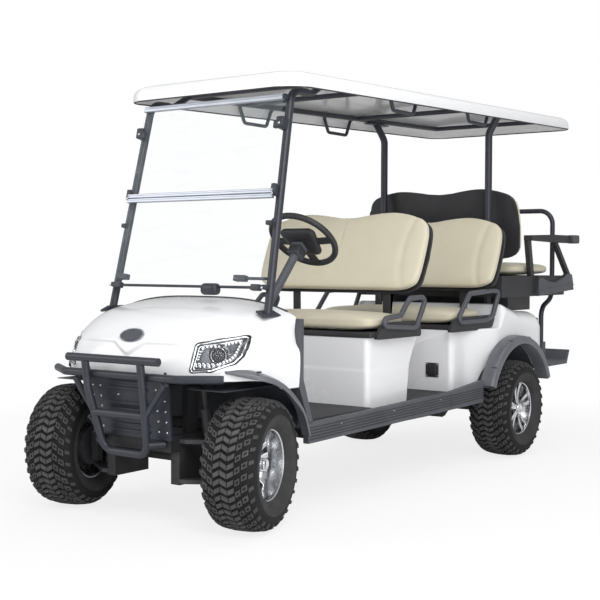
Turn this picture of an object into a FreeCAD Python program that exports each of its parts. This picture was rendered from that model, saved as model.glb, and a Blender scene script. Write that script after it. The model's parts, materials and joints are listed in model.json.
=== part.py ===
import FreeCAD, Part
import math
import os
import Sketcher

Vector = FreeCAD.Vector

# Golf cart with two forward benches and one rear-facing bench on a lifted chassis.
# Front faces -Y, the driver's left is +X, +Z is up, millimetres throughout.
# The origin is on the floor, below the middle of the cart's outline.
# Places along the cart are measured behind the front axle, heights from the floor.

DIMENSIONS = {
    # Whole cart and running gear
    "overall_length": 3911,
    "front_overhang": 331,
    "wheelbase": 2520,
    "overall_width": 1286,
    "steer_rest_deg": 14,
    "tyre_radius": 287.5,
    "tyre_width": 260,
    "tyre_tread_width": 208,
    "tyre_bulge_radius": 225,
    "tyre_bead_width": 168,
    "tyre_bead_depth": 14,
    "lug_height": 9,
    "rim_barrel_radius": 155,
    "rim_wall": 5,
    "rim_lip_radius": 168,
    "rim_lip_thickness": 7,
    "rim_width": 186,
    "rim_disc_thickness": 12,
    "rim_dish_radius": 146,
    "front_disc_inset": 78,
    "rear_disc_inset": 16,
    "window_outer_radius": 138,
    "window_inner_radius": 58,
    "hub_boss_radius": 34,
    "hub_boss_back": 20,
    "front_cap_length": 58,
    "rear_cap_length": 14,
    "spindle_radius": 15,
    "running_clearance": 0.05,
    "seat_clearance": 0.3,
    "overrun": 20,
    # Steering and front suspension
    "kingpin_offset": 400,
    "kingpin_radius": 9,
    "kingpin_half_height": 98,
    "knuckle_half_height": 72,
    "knuckle_width": 34,
    "knuckle_depth": 44,
    "brake_radius": 92,
    "brake_gap": 26,
    "brake_width": 30,
    "steering_arm_reach": 100,
    "steering_arm_width": 24,
    "steering_arm_thickness": 12,
    "tie_rod_radius": 10,
    "tie_rod_drop": 24,
    "tie_rod_reach": 95,
    "tie_rod_eye": 15,
    "tie_rod_gap": 7,
    "rack_radius": 24,
    "rack_half_length": 150,
    "arm_thickness": 18,
    "arm_level": 88,
    "arm_spread": 110,
    "arm_tip_radius": 17,
    "arm_root_width": 34,
    "lower_arm_notch": 298,
    "upper_arm_notch": 366,
    "front_shock_radius": 26,
    "front_shock_foot": 330,
    "front_shock_top": 262,
    # Chassis
    "rail_inner": 170,
    "rail_outer": 220,
    "rail_bottom": 330,
    "rail_top": 399.7,
    "rail_front": 165,
    "rail_rear": 3180,
    "cross_member_depth": 40,
    "outrigger_bottom": 350,
    "tower_height": 610,
    "tower_depth": 70,
    "tower_arm": 290,
    "tower_arm_thickness": 14,
    "leaf_inner": 268,
    "leaf_width": 50,
    "leaf_thickness": 27,
    "leaf_half_length": 330,
    "leaf_rise": 11,
    "leaf_shackle_length": 50,
    "axle_tube_radius": 35,
    "axle_tube_reach": 412,
    "rear_drum_radius": 98,
    "rear_drum_width": 62,
    "differential_radius": 96,
    "differential_width": 150,
    "motor_radius": 88,
    "motor_length": 300,
    "rear_shock_x": 351,
    "rear_shock_radius": 20,
    "rear_shock_lean": 60,
    "rear_shock_top_height": 640,
    "battery_length": 780,
    "battery_depth": 340,
    "battery_height": 270,
    # Floor
    "floor_level": 400,
    "floor_thickness": 12,
    "floor_half_width": 500,
    "floor_front": 386,
    "floor_rear": 2200,
    "toe_knee_y": 372,
    "toe_knee_height": 600,
    "toe_top_y": 260,
    "toe_top_height": 800,
    "mat_thickness": 16,
    "mat_margin": 14,
    "rocker_outer": 570,
    "rocker_thickness": 34,
    "rocker_front": 374,
    "rocker_joint": 1721,
    "rocker_rear": 2104,
    "rocker_bottom_front": 335,
    "rocker_bottom_rear": 360,
    "rocker_top_front": 428,
    "rocker_top_joint": 452,
    "rocker_top_rear": 486,
    "panel_gap": 4,
    # Front body
    "cowl_half_width": 575,
    "cowl_nose": 202,
    "cowl_rear": 300,
    "cowl_bottom": 600,
    "cowl_shoulder_height": 905,
    "cowl_top_height": 993,
    "cowl_wall": 5,
    "cowl_lip_height": 688,
    "front_arch_radius": 362,
    "front_arch_inner": 245,
    "lamp_depth": 70,
    "lamp_gap": 0.6,
    "front_panel_half_width": 236,
    "front_panel_bottom": 384,
    "front_panel_top": 684,
    "front_panel_rake": 34,
    "front_panel_thickness": 14,
    "liner_thickness": 4,
    "front_liner_inner": 300,
    "front_liner_outer": 506,
    "flare_outer": 620,
    "front_flare_inner": 557,
    "flare_lift": 12,
    "rear_flare_outer": 625,
    "rear_flare_radius": 432,
    "rear_arch_radius": 384,
    "flare_foot_height": 452,
    "dash_half_width": 540,
    "dash_front": 300.5,
    "dash_rear": 455,
    "dash_top_drop": 43,
    "dash_lip_drop": 113,
    "dash_bottom_height": 790,
    "dash_wall": 24,
    "strip_thickness": 12,
    "strip_depth": 34,
    # Brush guard
    "guard_tube_radius": 18,
    "guard_bend": 60,
    "guard_top_half": 273,
    "guard_top_y": 302,
    "guard_top_height": 736,
    "guard_long_half": 502,
    "guard_long_end_y": 150,
    "guard_long_y": 262,
    "guard_long_height": 664,
    "guard_upright": 166,
    "guard_knee_height": 600,
    "guard_foot": 130,
    "guard_foot_y": 216,
    "guard_foot_height": 318,
    "guard_cross_height": 492,
    # Windshield and canopy
    "pillar_radius": 19,
    "pillar_bend": 90,
    "pillar_foot_x": 478,
    "pillar_foot_y": 185,
    "pillar_foot_drop": 67,
    "pillar_top_x": 433,
    "pillar_top_y": 419,
    "pillar_top_height": 1947,
    "pillar_flange_length": 120,
    "foot_plate_length": 130,
    "foot_plate_width": 54,
    "foot_plate_thickness": 8,
    "shield_forward": 46,
    "shield_thickness": 5,
    "shield_bottom": 1046,
    "shield_middle": 1468,
    "shield_top": 1912,
    "shield_side_gap": 8,
    "shield_rail_height": 26,
    "shield_rail_depth": 18,
    "stud_radius": 9,
    "roof_half_width": 528,
    "roof_front": 316,
    "roof_rear": 3471,
    "roof_front_height": 1952,
    "roof_rear_height": 2045,
    "roof_fascia": 52,
    "roof_bevel": 26,
    "roof_bevel_inset": 46,
    "roof_crown": 18,
    "roof_crown_inset": 250,
    "roof_corner": 110,
    "roof_wall": 8,
    "roof_rail_x": 433,
    "roof_rail_radius": 16,
    "roof_rail_lift": 1.8,
    "roof_rail_rise": 40,
    "roof_rail_front": 700,
    "roof_rail_rear": 3330,
    "handle_radius": 10,
    "handle_drop": 96,
    "handle_length": 300,
    "handle_reach": 486,
    "front_handle_y": 1180,
    "rear_handle_y": 2010,
    "strut_x": 372,
    "strut_y": 2536,
    "strut_radius": 19,
    "strut_tee_half": 110,
    # Rear body and seat bases
    "pod_half_width": 448,
    "pod_front": 1060,
    "pod_rear_foot": 1454,
    "pod_rear_waist": 1478,
    "pod_waist_height": 600,
    "pod_rear_top": 1580,
    "pod_top": 775,
    "body_wall": 6,
    "row_pitch": 880,
    "body_front_half_width": 452,
    "body_half_width": 540,
    "body_tail_half_width": 500,
    "body_swell_start": 2080,
    "body_swell_end": 2320,
    "body_tail": 3010,
    "body_shoulder_y": 2432,
    "body_shoulder_height": 920,
    "body_deck_height": 862,
    "body_well_rear": 2380,
    "body_tail_bottom": 560,
    "rear_arch_inner": 330,
    "socket_size": 84,
    "socket_x": 326,
    "socket_height": 545,
    "tail_lamp_width": 26,
    "tail_lamp_height": 120,
    "tail_lamp_x": 470,
    "tail_lamp_bottom": 700,
    # Seats
    "pan_half_width": 466,
    "pan_depth": 388,
    "pan_thickness": 30,
    "pan_lead": 5,
    "cushion_half_width": 462,
    "cushion_depth": 392,
    "cushion_lead": 20,
    "cushion_height": 92,
    "cushion_round": 30,
    "back_half_width": 530,
    "back_height": 448,
    "back_dip": 26,
    "back_thickness": 78,
    "back_shell": 16,
    "back_recline_deg": 23,
    "back_foot_y": 1446,
    "back_foot_height": 998,
    "post_x": 300,
    "post_width": 46,
    "post_thickness": 10,
    "skirt_thickness": 20,
    "skirt_top": 850,
    "skirt_drop": 18,
    "armrest_radius": 11,
    "armrest_x": 492,
    "armrest_bend": 24,
    # Rear-facing bench
    "bench_front": 2462,
    "bench_rear": 3388,
    "bench_half_width": 505,
    "bench_bottom": 950,
    "bench_top": 1077,
    "bench_skirt_front": 2930,
    "bench_skirt_rear": 3490,
    "bench_skirt_outer": 530,
    "bench_cushion_front": 2716,
    "bench_cushion_depth": 580,
    "bench_cushion_height": 82,
    "rear_back_half_width": 536,
    "rear_back_foot_y": 2672,
    "rear_back_foot_height": 1186,
    "rear_back_height": 432,
    "rear_back_recline_deg": 9,
    "bench_arm_pad_front": 2822,
    "bench_arm_pad_length": 690,
    "bench_arm_pad_bottom": 1292,
    "bench_arm_pad_thickness": 50,
    "bench_arm_pad_width": 58,
    "bench_arm_leg_width": 46,
    "bench_arm_leg_thickness": 30,
    "hoop_radius": 16,
    "hoop_half_width": 400,
    "hoop_top_height": 1509,
    "hoop_rear": 3432,
    "hoop_knee_height": 930,
    "hoop_foot_y": 3262,
    "hoop_foot_height": 640,
    "hoop_bend": 90,
    "footplate_front": 3040,
    "footplate_rear": 3580,
    "footplate_half_width": 470,
    "footplate_height": 480,
    "footplate_thickness": 28,
    "footplate_lip": 92,
    # Steering wheel, column and pedals
    "wheel_x": 255,
    "wheel_y": 765,
    "wheel_height": 1270,
    "column_lean_deg": 42,
    "wheel_ring_radius": 170,
    "wheel_grip_radius": 14,
    "wheel_pad_radius": 72,
    "wheel_pad_thickness": 34,
    "wheel_spoke_width": 30,
    "wheel_spoke_thickness": 12,
    "shaft_radius": 12,
    "column_radius": 21,
    "column_gap": 42,
    "column_length": 600,
    "clamp_size": 62,
    "clamp_length": 70,
    "pedal_x": 170,
    "pedal_pitch": 130,
    "pedal_width": 84,
    "pedal_height": 120,
    "pedal_thickness": 12,
    "pedal_stem_radius": 8,
    "pedal_y": 500,
    "pedal_level": 520,
    "pedal_lean_deg": 35,
}

doc = FreeCAD.newDocument("GolfCart")
sheet = doc.addObject("Spreadsheet::Sheet", "Sizes")
for row, (alias, number) in enumerate(DIMENSIONS.items(), start=1):
    sheet.set(f"A{row}", str(number))
    sheet.setAlias(f"A{row}", alias)
doc.recompute()


class Size:
    """A value together with the sheet expression that gives it."""

    def __init__(self, value, text):
        self.value = float(value)
        self.text = text

    def __float__(self):
        return self.value

    def __add__(self, other):
        other = sized(other)
        return Size(self.value + other.value, f"({self.text} + {other.text})")

    def __sub__(self, other):
        other = sized(other)
        return Size(self.value - other.value, f"({self.text} - {other.text})")

    def __mul__(self, other):
        other = sized(other)
        return Size(self.value * other.value, f"({self.text} * {other.text})")

    def __truediv__(self, other):
        other = sized(other)
        return Size(self.value / other.value, f"({self.text} / {other.text})")

    def __neg__(self):
        return Size(-self.value, f"(0 - {self.text})")

    __radd__ = __add__
    __rmul__ = __mul__


def sized(value):
    """A plain share or sign as a Size."""
    if isinstance(value, Size):
        return value
    return Size(value, repr(float(value)))


def sine(angle):
    """Sine of an angle in degrees."""
    return Size(math.sin(math.radians(angle.value)), f"sin({angle.text} * 1 deg)")


def cosine(angle):
    """Cosine of an angle in degrees."""
    return Size(math.cos(math.radians(angle.value)), f"cos({angle.text} * 1 deg)")


class Sizes:
    """The sheet's cells, read by alias."""

    def __getattr__(self, alias):
        return Size(sheet.get(alias), f"Sizes.{alias}")


s = Sizes()
zero = sized(0)
front_axle = s.front_overhang - s.overall_length / 2
rear_axle = front_axle + s.wheelbase
pod_bottom = s.floor_level + s.floor_thickness + s.seat_clearance
hub_height = s.tyre_radius
wheel_x = s.overall_width / 2 - s.tyre_width / 2
pillar_foot = s.cowl_top_height - s.pillar_foot_drop
SIDES = {"left": 1, "right": -1}
ROTATIONS = {
    "x": FreeCAD.Rotation(Vector(0, 1, 0), 90),
    "y": FreeCAD.Rotation(Vector(1, 0, 0), -90),
    "z": FreeCAD.Rotation(),
}
BAR_SIDES = 12
nodes = []


def behind(distance):
    """Place along the cart of something a distance behind the front axle."""
    return front_axle + distance


def point(x, y, z):
    return Vector(float(x), float(y), float(z))


def bind(feature, **expressions):
    """Tie properties to the sheet; an underscore pair stands for a dot."""
    for name, size in expressions.items():
        feature.setExpression(name.replace("__", "."), size.text)


def locate(feature, x=zero, y=zero, z=zero):
    """Tie the feature's place to the sheet."""
    bind(feature, Placement__Base__x=x, Placement__Base__y=y, Placement__Base__z=z)
    return feature


def node(feature, label):
    """Give a finished sub-part its own label, which names its file."""
    feature.Label = label
    nodes.append(feature)
    return feature


def block(name, x, y, z):
    """A box between two values on each axis."""
    feature = doc.addObject("Part::Box", name)
    bind(feature, Length=x[1] - x[0], Width=y[1] - y[0], Height=z[1] - z[0])
    return locate(feature, x[0], y[0], z[0])


def rod(name, axis, radius, length, x, y, z):
    """A round bar from a start point along one axis."""
    feature = doc.addObject("Part::Cylinder", name)
    bind(feature, Radius=radius, Height=length)
    feature.Placement.Rotation = ROTATIONS[axis]
    return locate(feature, x, y, z)


def flat_bar(name, axis, radius, length, x, y, z, sides):
    """A bar with flats from a start point along one axis."""
    feature = doc.addObject("Part::Prism", name)
    feature.Polygon = sides
    bind(feature, Circumradius=radius, Height=length)
    feature.Placement.Rotation = ROTATIONS[axis]
    return locate(feature, x, y, z)


def fuse(name, parts):
    feature = doc.addObject("Part::MultiFuse", name)
    feature.Shapes = parts
    feature.Refine = True
    return feature


def cut(name, base, tools):
    feature = doc.addObject("Part::Cut", name)
    feature.Base = base
    feature.Tool = tools[0] if len(tools) == 1 else fuse(name + "_tools", tools)
    return feature


def common(name, first, second):
    feature = doc.addObject("Part::Common", name)
    feature.Base = first
    feature.Tool = second
    return feature


def group(name, parts):
    """Several separate solids that share one node."""
    feature = doc.addObject("Part::Compound", name)
    feature.Links = parts
    return feature


def mirrored(name, source):
    """The same piece on the other side of the cart."""
    feature = doc.addObject("Part::Mirroring", name)
    feature.Source = source
    feature.Normal = Vector(1, 0, 0)
    return feature


def pair(name, source):
    """A left piece and its mirror image as one node."""
    return group(name, [source, mirrored(name + "_mirror", source)])


def origin_plane(body, role):
    return [f for f in body.Origin.OriginFeatures if f.Role == role][0]


def start_body(name):
    body = doc.addObject("PartDesign::Body", name)
    doc.recompute()
    return body


def sketch_on(body, role, offset, outlines):
    """A sketch of closed outlines whose corners are tied to the sheet."""
    sketch = body.newObject("Sketcher::SketchObject", body.Name + "_sketch")
    sketch.AttachmentSupport = [(origin_plane(body, role), "")]
    sketch.MapMode = "FlatFace"
    bind(sketch, AttachmentOffset__Base__z=offset)
    for outline in outlines:
        first = sketch.GeometryCount
        count = len(outline)
        corners = [Vector(float(u), float(v), 0) for u, v in outline]
        for i in range(count):
            edge = Part.LineSegment(corners[i], corners[(i + 1) % count])
            sketch.addGeometry(edge, False)
        for i, (u, v) in enumerate(outline):
            after = first + (i + 1) % count
            sketch.addConstraint(Sketcher.Constraint("Coincident", first + i, 2, after, 1))
            for kind, size in (("DistanceX", u), ("DistanceY", v)):
                pin = Sketcher.Constraint(kind, -1, 1, first + i, 1, float(size))
                index = sketch.addConstraint(pin)
                sketch.setExpression(f"Constraints[{index}]", sized(size).text)
    return sketch


def prism(name, role, outline, low, high):
    """An outline carried straight from one value to another across its plane."""
    body = start_body(name)
    offset = -high if role == "XZ_Plane" else low
    sketch = sketch_on(body, role, offset, [outline])
    pad = body.newObject("PartDesign::Pad", name + "_pad")
    pad.Profile = sketch
    bind(pad, Length=high - low)
    return body


def side_prism(name, outline, low, high):
    return prism(name, "YZ_Plane", outline, low, high)


def front_prism(name, outline, low, high):
    return prism(name, "XZ_Plane", outline, low, high)


def plan_prism(name, outline, low, high):
    return prism(name, "XY_Plane", outline, low, high)


def ring_points(centre, axis, radius, sides, start=0.0):
    """Corners of a regular polygon about an axis."""
    across = axis.cross(Vector(0, 0, 1))
    if across.Length < 0.2 * axis.Length:
        across = axis.cross(Vector(0, 1, 0))
    across.normalize()
    turn = 360 / sides
    about = [FreeCAD.Rotation(axis, start + turn * k) for k in range(sides)]
    return [centre + rotation.multVec(across) * radius for rotation in about]


def skinned(rings, closed):
    """A solid whose flats join one ring of corners to the next."""
    faces = []
    count = len(rings[0])
    pairs = list(zip(rings, rings[1:] + rings[:1]))
    for first, second in pairs if closed else pairs[:-1]:
        for k in range(count):
            j = (k + 1) % count
            loop = [first[k], first[j], second[j], second[k]]
            loop = [p for n, p in enumerate(loop) if p.distanceToPoint(loop[n - 1]) > 1e-6]
            if len(loop) > 2:
                faces.append(Part.Face(Part.makePolygon(loop + loop[:1])))
    if not closed:
        faces += [Part.Face(Part.makePolygon(ring + ring[:1])) for ring in (rings[0], rings[-1])]
    solid = Part.makeSolid(Part.makeShell(faces))
    if solid.Volume < 0:
        solid.reverse()
    return solid


def turned_flats(outline, sides, flats_on_size):
    """An outline turned about the cross axis, with flats in place of a round."""
    step = math.pi / sides
    grow = 1 / math.cos(step) if flats_on_size else 1.0
    start = 180 / sides
    axis = Vector(1, 0, 0)
    rings = []
    for x, radius in outline:
        centre = Vector(float(x), 0, 0)
        rings.append(ring_points(centre, axis, float(radius) * grow, sides, start + 90))
    return skinned(rings, True)


def chord_path(corners, bend, closed):
    """Straight runs whose bends are replaced by short chords of an arc."""
    count = len(corners)
    places = []
    for i, here in enumerate(corners):
        if not closed and i in (0, count - 1):
            places.append(here)
            continue
        back = corners[i - 1] - here
        ahead = corners[(i + 1) % count] - here
        half = back.getAngle(ahead) / 2
        setback = min(bend / math.tan(half), 0.45 * min(back.Length, ahead.Length))
        radius = setback * math.tan(half)
        back.normalize()
        ahead.normalize()
        middle = (back + ahead).normalize()
        centre = here + middle * (radius / math.sin(half))
        start = here + back * setback - centre
        end = here + ahead * setback - centre
        turn = math.degrees(start.getAngle(end))
        if turn < CHORD_TURN_DEG / 2:
            places.append(here)
            continue
        steps = max(1, round(turn / CHORD_TURN_DEG))
        about = start.cross(end)
        for k in range(steps + 1):
            places.append(centre + FreeCAD.Rotation(about, turn * k / steps).multVec(start))
    return places


TUBE_SIDES = 8
CHORD_TURN_DEG = 45


def tube_shape(corners, radius, bend, closed=False, sides=TUBE_SIDES):
    """A tube with flats carried along a bent path, mitred at each chord."""
    path = chord_path(corners, float(bend), closed)
    count = len(path)
    first = path[1] - path[0]
    reach = float(radius) / math.cos(math.pi / sides)
    ring = ring_points(path[0], first, reach, sides, 180 / sides)
    rings = [] if closed else [ring]
    stops = list(range(1, count)) + ([0] if closed else [])
    for i in stops:
        along = (path[i] - path[i - 1]).normalize()
        after = path[(i + 1) % count] - path[i]
        last = not closed and i == count - 1
        normal = along if last else along + after.normalize()
        ring = [p + along * ((path[i] - p).dot(normal) / along.dot(normal)) for p in ring]
        rings.append(ring)
    return skinned(rings, closed)


def shaped(name, shape):
    """A free-form piece whose shape is worked out from the sheet's sizes."""
    feature = doc.addObject("Part::Feature", name)
    feature.Shape = shape
    return feature


def side_points(side, places):
    """Points given as (x, behind the front axle, height) on one side."""
    return [point(side * x, behind(y), z) for x, y, z in places]


# Wheels


def wheel_place(feature, side, axle):
    """Set a wheel piece at its hub; the front ones are turned to the left."""
    if axle == "rear":
        return locate(feature, side * wheel_x, rear_axle, hub_height)
    offset = wheel_x - s.kingpin_offset
    turn = s.steer_rest_deg
    x = side * (s.kingpin_offset + offset * cosine(turn))
    y = front_axle + side * offset * sine(turn)
    bind(feature, Placement__Rotation__Angle=turn)
    return locate(feature, x, y, hub_height)


TYRE_SIDES = 32


# Each lug's width along the tread, as (from, to) shares of the half tread, by turns
LUG_SPANS = (((-1.0, -0.62), (-0.3, 0.3)), ((0.62, 1.0),))


def lug(number, start, end):
    """One raised block that fills a flat of the tread; the outer ones reach the wall."""
    grow = 1 / math.cos(math.pi / TYRE_SIDES)
    top = float(s.tyre_radius) * grow
    root = float(s.tyre_radius - s.lug_height * 2) * grow
    half = float(s.tyre_tread_width / 2)
    wall = float(s.tyre_width / 2 - s.panel_gap)
    bulge = float(s.tyre_bulge_radius)
    low = -wall if start == -1.0 else start * half
    high = wall if end == 1.0 else end * half
    places = [
        (low, bulge if start == -1.0 else root),
        (start * half, top),
        (end * half, top),
        (high, bulge if end == 1.0 else root),
    ]
    turn = 360 / TYRE_SIDES
    first = turn * (number + 0.5) - 90
    rings = [[polar(x, r, first + turn * k) for x, r in places] for k in range(2)]
    return skinned(rings, False)


def tyre(label, side, axle):
    """A low, wide all-terrain tyre made of flats, with its lugs in staggered rows."""
    bead = s.tyre_bead_width / 2
    bore = s.rim_barrel_radius + s.seat_clearance
    tread = s.tyre_radius - s.lug_height
    outline = [
        (-bead, bore),
        (-bead, bore + s.tyre_bead_depth),
        (-s.tyre_width / 2, s.tyre_bulge_radius),
        (-s.tyre_tread_width / 2, tread),
        (s.tyre_tread_width / 2, tread),
        (s.tyre_width / 2, s.tyre_bulge_radius),
        (bead, bore + s.tyre_bead_depth),
        (bead, bore),
    ]
    lugs = []
    for number in range(TYRE_SIDES):
        lugs += [lug(number, *span) for span in LUG_SPANS[number % 2]]
    whole = turned_flats(outline, TYRE_SIDES, True).multiFuse(lugs)
    carcass = shaped(label, whole.Solids[0])
    return node(wheel_place(carcass, side, axle), label)


# Half angles at the inner and outer ends of each cut-out, and where it lies
WINDOW_ANGLES_DEG = (((13.0, 19.5), 0.0), ((3.2, 4.6), 36.0))
SPOKE_PAIRS = 5
RIM_SIDES = 20


def polar(x, radius, degrees):
    angle = math.radians(degrees)
    return Vector(x, float(radius) * math.cos(angle), float(radius) * math.sin(angle))


def rim(label, side, axle):
    """A machined wheel: barrel, lip, dished disc with paired spokes, boss and cap."""
    inset = s.front_disc_inset if axle == "front" else s.rear_disc_inset
    cap = s.front_cap_length if axle == "front" else s.rear_cap_length
    half = s.rim_width / 2
    inner = s.rim_barrel_radius - s.rim_wall
    disc = half - inset
    back = disc - s.rim_disc_thickness
    bore = s.spindle_radius + s.running_clearance
    flip = side

    def at(x, r):
        return (flip * x, r)

    outline = [
        at(-half, inner),
        at(-half, s.rim_barrel_radius),
        at(half - s.rim_lip_thickness, s.rim_barrel_radius),
        at(half - s.rim_lip_thickness, s.rim_lip_radius),
        at(half, s.rim_lip_radius),
        at(half, inner + s.rim_wall),
        at(disc, s.rim_dish_radius),
        at(disc, s.hub_boss_radius),
        at(disc + cap, s.hub_boss_radius),
        at(disc + cap, zero),
        at(back - s.hub_boss_back, zero),
        at(back - s.hub_boss_back, s.hub_boss_radius),
        at(back, s.hub_boss_radius),
        at(back, inner),
    ]
    wheel = turned_flats(outline, RIM_SIDES, False)
    depth = float(s.rim_disc_thickness + s.overrun * 2)
    start = float(flip * (back - s.overrun))
    cuts = []
    for number in range(SPOKE_PAIRS):
        for (low, high), turn in WINDOW_ANGLES_DEG:
            turn += 360 / SPOKE_PAIRS * number
            r0, r1 = s.window_inner_radius, s.window_outer_radius
            places = [(r0, -low), (r1, -high), (r1, high), (r0, low)]
            corners = [polar(start, radius, turn + angle) for radius, angle in places]
            face = Part.Face(Part.makePolygon(corners + corners[:1]))
            cuts.append(face.extrude(Vector(flip * depth, 0, 0)))
    bore_end = float(flip * (disc + cap / 2))
    bore_start = float(flip * (back - s.hub_boss_back - s.overrun))
    radius = float(s.spindle_radius + s.running_clearance)
    run = Vector(bore_end - bore_start, 0, 0)
    cuts.append(Part.makeCylinder(radius, run.Length, Vector(bore_start, 0, 0), run))
    body = shaped(label, wheel.cut(cuts))
    return node(wheel_place(body, side, axle), label)


# Steering and suspension


def knuckle(label, side):
    """Upright, king pin, steering arm, brake plate and wheel spindle in one."""
    offset = wheel_x - s.kingpin_offset
    tip = offset + s.rim_width / 2 - s.front_disc_inset + s.front_cap_length / 4
    low = s.arm_level
    half = s.knuckle_width / 2
    deep = s.knuckle_depth / 2

    def span(start, end):
        return (start, end) if side > 0 else (-end, -start)

    upright = block(
        label + "_upright",
        (-half, half),
        (-deep, deep),
        (-s.knuckle_half_height, s.knuckle_half_height),
    )
    pin = rod(
        label + "_pin",
        "z",
        s.kingpin_radius,
        s.kingpin_half_height * 2,
        zero,
        zero,
        -s.kingpin_half_height,
    )
    reach = span(zero, tip)
    spindle = rod(label + "_spindle", "x", s.spindle_radius, tip, reach[0], zero, zero)
    plate = span(s.brake_gap, s.brake_gap + s.brake_width)
    brake = flat_bar(
        label + "_brake", "x", s.brake_radius, s.brake_width, plate[0], zero, zero, TYRE_SIDES // 2
    )
    arm = block(
        label + "_arm",
        (-s.steering_arm_width / 2, s.steering_arm_width / 2),
        (deep - s.arm_tip_radius, s.steering_arm_reach + s.steering_arm_width / 2),
        (-s.steering_arm_thickness / 2, s.steering_arm_thickness / 2),
    )
    whole = fuse(label, [upright, pin, spindle, brake, arm])
    bind(whole, Placement__Rotation__Angle=s.steer_rest_deg)
    locate(whole, side * s.kingpin_offset, front_axle, hub_height)
    return node(whole, label)


def wishbone(name, level, notch):
    """One left arm: a V that narrows to the king pin's eye, open inside its notch."""
    root = s.rail_outer + s.seat_clearance
    tip = s.kingpin_offset
    spread = s.arm_spread
    eye = s.arm_tip_radius
    outline = [
        (root, front_axle - spread),
        (root + s.arm_root_width, front_axle - spread),
        (tip, front_axle - eye),
        (tip, front_axle + eye),
        (root + s.arm_root_width, front_axle + spread),
        (root, front_axle + spread),
        (root, front_axle + spread - s.arm_root_width),
        (notch, front_axle),
        (root, front_axle - spread + s.arm_root_width),
    ]
    low = level - s.arm_thickness / 2
    high = level + s.arm_thickness / 2
    plate = plan_prism(name + "_plate", outline, low, high)
    eye_boss = flat_bar(name + "_boss", "z", eye, s.arm_thickness, tip, front_axle, low, BAR_SIDES)
    hole = rod(
        name + "_hole",
        "z",
        s.kingpin_radius + s.running_clearance,
        s.arm_thickness + s.overrun * 2,
        tip,
        front_axle,
        low - s.overrun,
    )
    return cut(name, fuse(name + "_arm", [plate, eye_boss]), [hole])


def front_arms():
    """Upper and lower arms on both sides."""
    parts = []
    places = (
        ("lower_arm", -s.arm_level, s.lower_arm_notch),
        ("upper_arm", s.arm_level, s.upper_arm_notch),
    )
    for name, level, notch in places:
        arm = wishbone(name, hub_height + level, notch)
        parts += [arm, mirrored(name + "_mirror", arm)]
    return parts


SHOCK_STEM_SHARE = 0.45
SHOCK_COIL_SHARES = (0.16, 0.62)


def strut_between(foot, head, radius, coil_shares):
    """A leaning stem with a thicker stretch, from one seat up to another."""
    line = head - foot
    start, length = coil_shares
    low, high = foot + line * start, foot + line * (start + length)
    coil = skinned([ring_points(p, line, radius, TUBE_SIDES) for p in (low, high)], False)
    thin = radius * SHOCK_STEM_SHARE
    stem = skinned([ring_points(p, line, thin, TUBE_SIDES) for p in (foot, head)], False)
    return coil.fuse(stem).removeSplitter()


def front_shocks():
    """Coil-over units between the lower arms and the towers."""
    low = hub_height - s.arm_level + s.arm_thickness / 2
    high = s.tower_height - s.tower_arm_thickness
    slope = (s.front_shock_foot - s.front_shock_top) / (high - low)
    rim = s.front_shock_radius * SHOCK_STEM_SHARE * slope + s.seat_clearance
    foot = point(s.front_shock_foot, front_axle, low + rim)
    head = point(s.front_shock_top, front_axle, high - rim)
    shape = strut_between(foot, head, float(s.front_shock_radius), SHOCK_COIL_SHARES)
    unit = shaped("front_shock", shape)
    return [unit, mirrored("front_shock_mirror", unit)]


def tie_rod():
    """Cross rod between the two steering arms; it slides in the rack housing."""
    reach = s.steering_arm_reach * sine(s.steer_rest_deg)
    half = s.kingpin_offset
    y = behind(s.tie_rod_reach)
    z = hub_height - s.tie_rod_drop
    bar = rod(
        "tie_rod_bar",
        "x",
        s.tie_rod_radius,
        half * 2,
        -half - reach,
        y,
        z,
    )
    eyes = []
    for name, side in SIDES.items():
        eyes.append(
            flat_bar(
                "tie_rod_eye_" + name,
                "z",
                s.tie_rod_eye,
                s.tie_rod_radius * 1.6,
                side * half - reach,
                y,
                z - s.tie_rod_radius * 0.8,
                BAR_SIDES,
            )
        )
    return node(fuse("tie_rod_whole", [bar] + eyes), "tie_rod")


def rack_parts():
    """The rack's case on its stem, and the bore that the tie rod slides in."""
    y = behind(s.tie_rod_reach)
    z = hub_height - s.tie_rod_drop
    half = s.rack_half_length
    case = flat_bar("rack_case", "x", s.rack_radius, half * 2, -half, y, z, BAR_SIDES)
    stem = block(
        "rack_stem",
        (-half / 2, half / 2),
        (y - s.rack_radius / 2, y + s.rack_radius / 2),
        (z, s.rail_bottom + s.rack_radius / 2),
    )
    bore = rod(
        "rack_bore",
        "x",
        s.tie_rod_radius + s.running_clearance,
        half * 2 + s.overrun * 2,
        -half - s.overrun,
        y,
        z,
    )
    return [case, stem], bore


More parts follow.
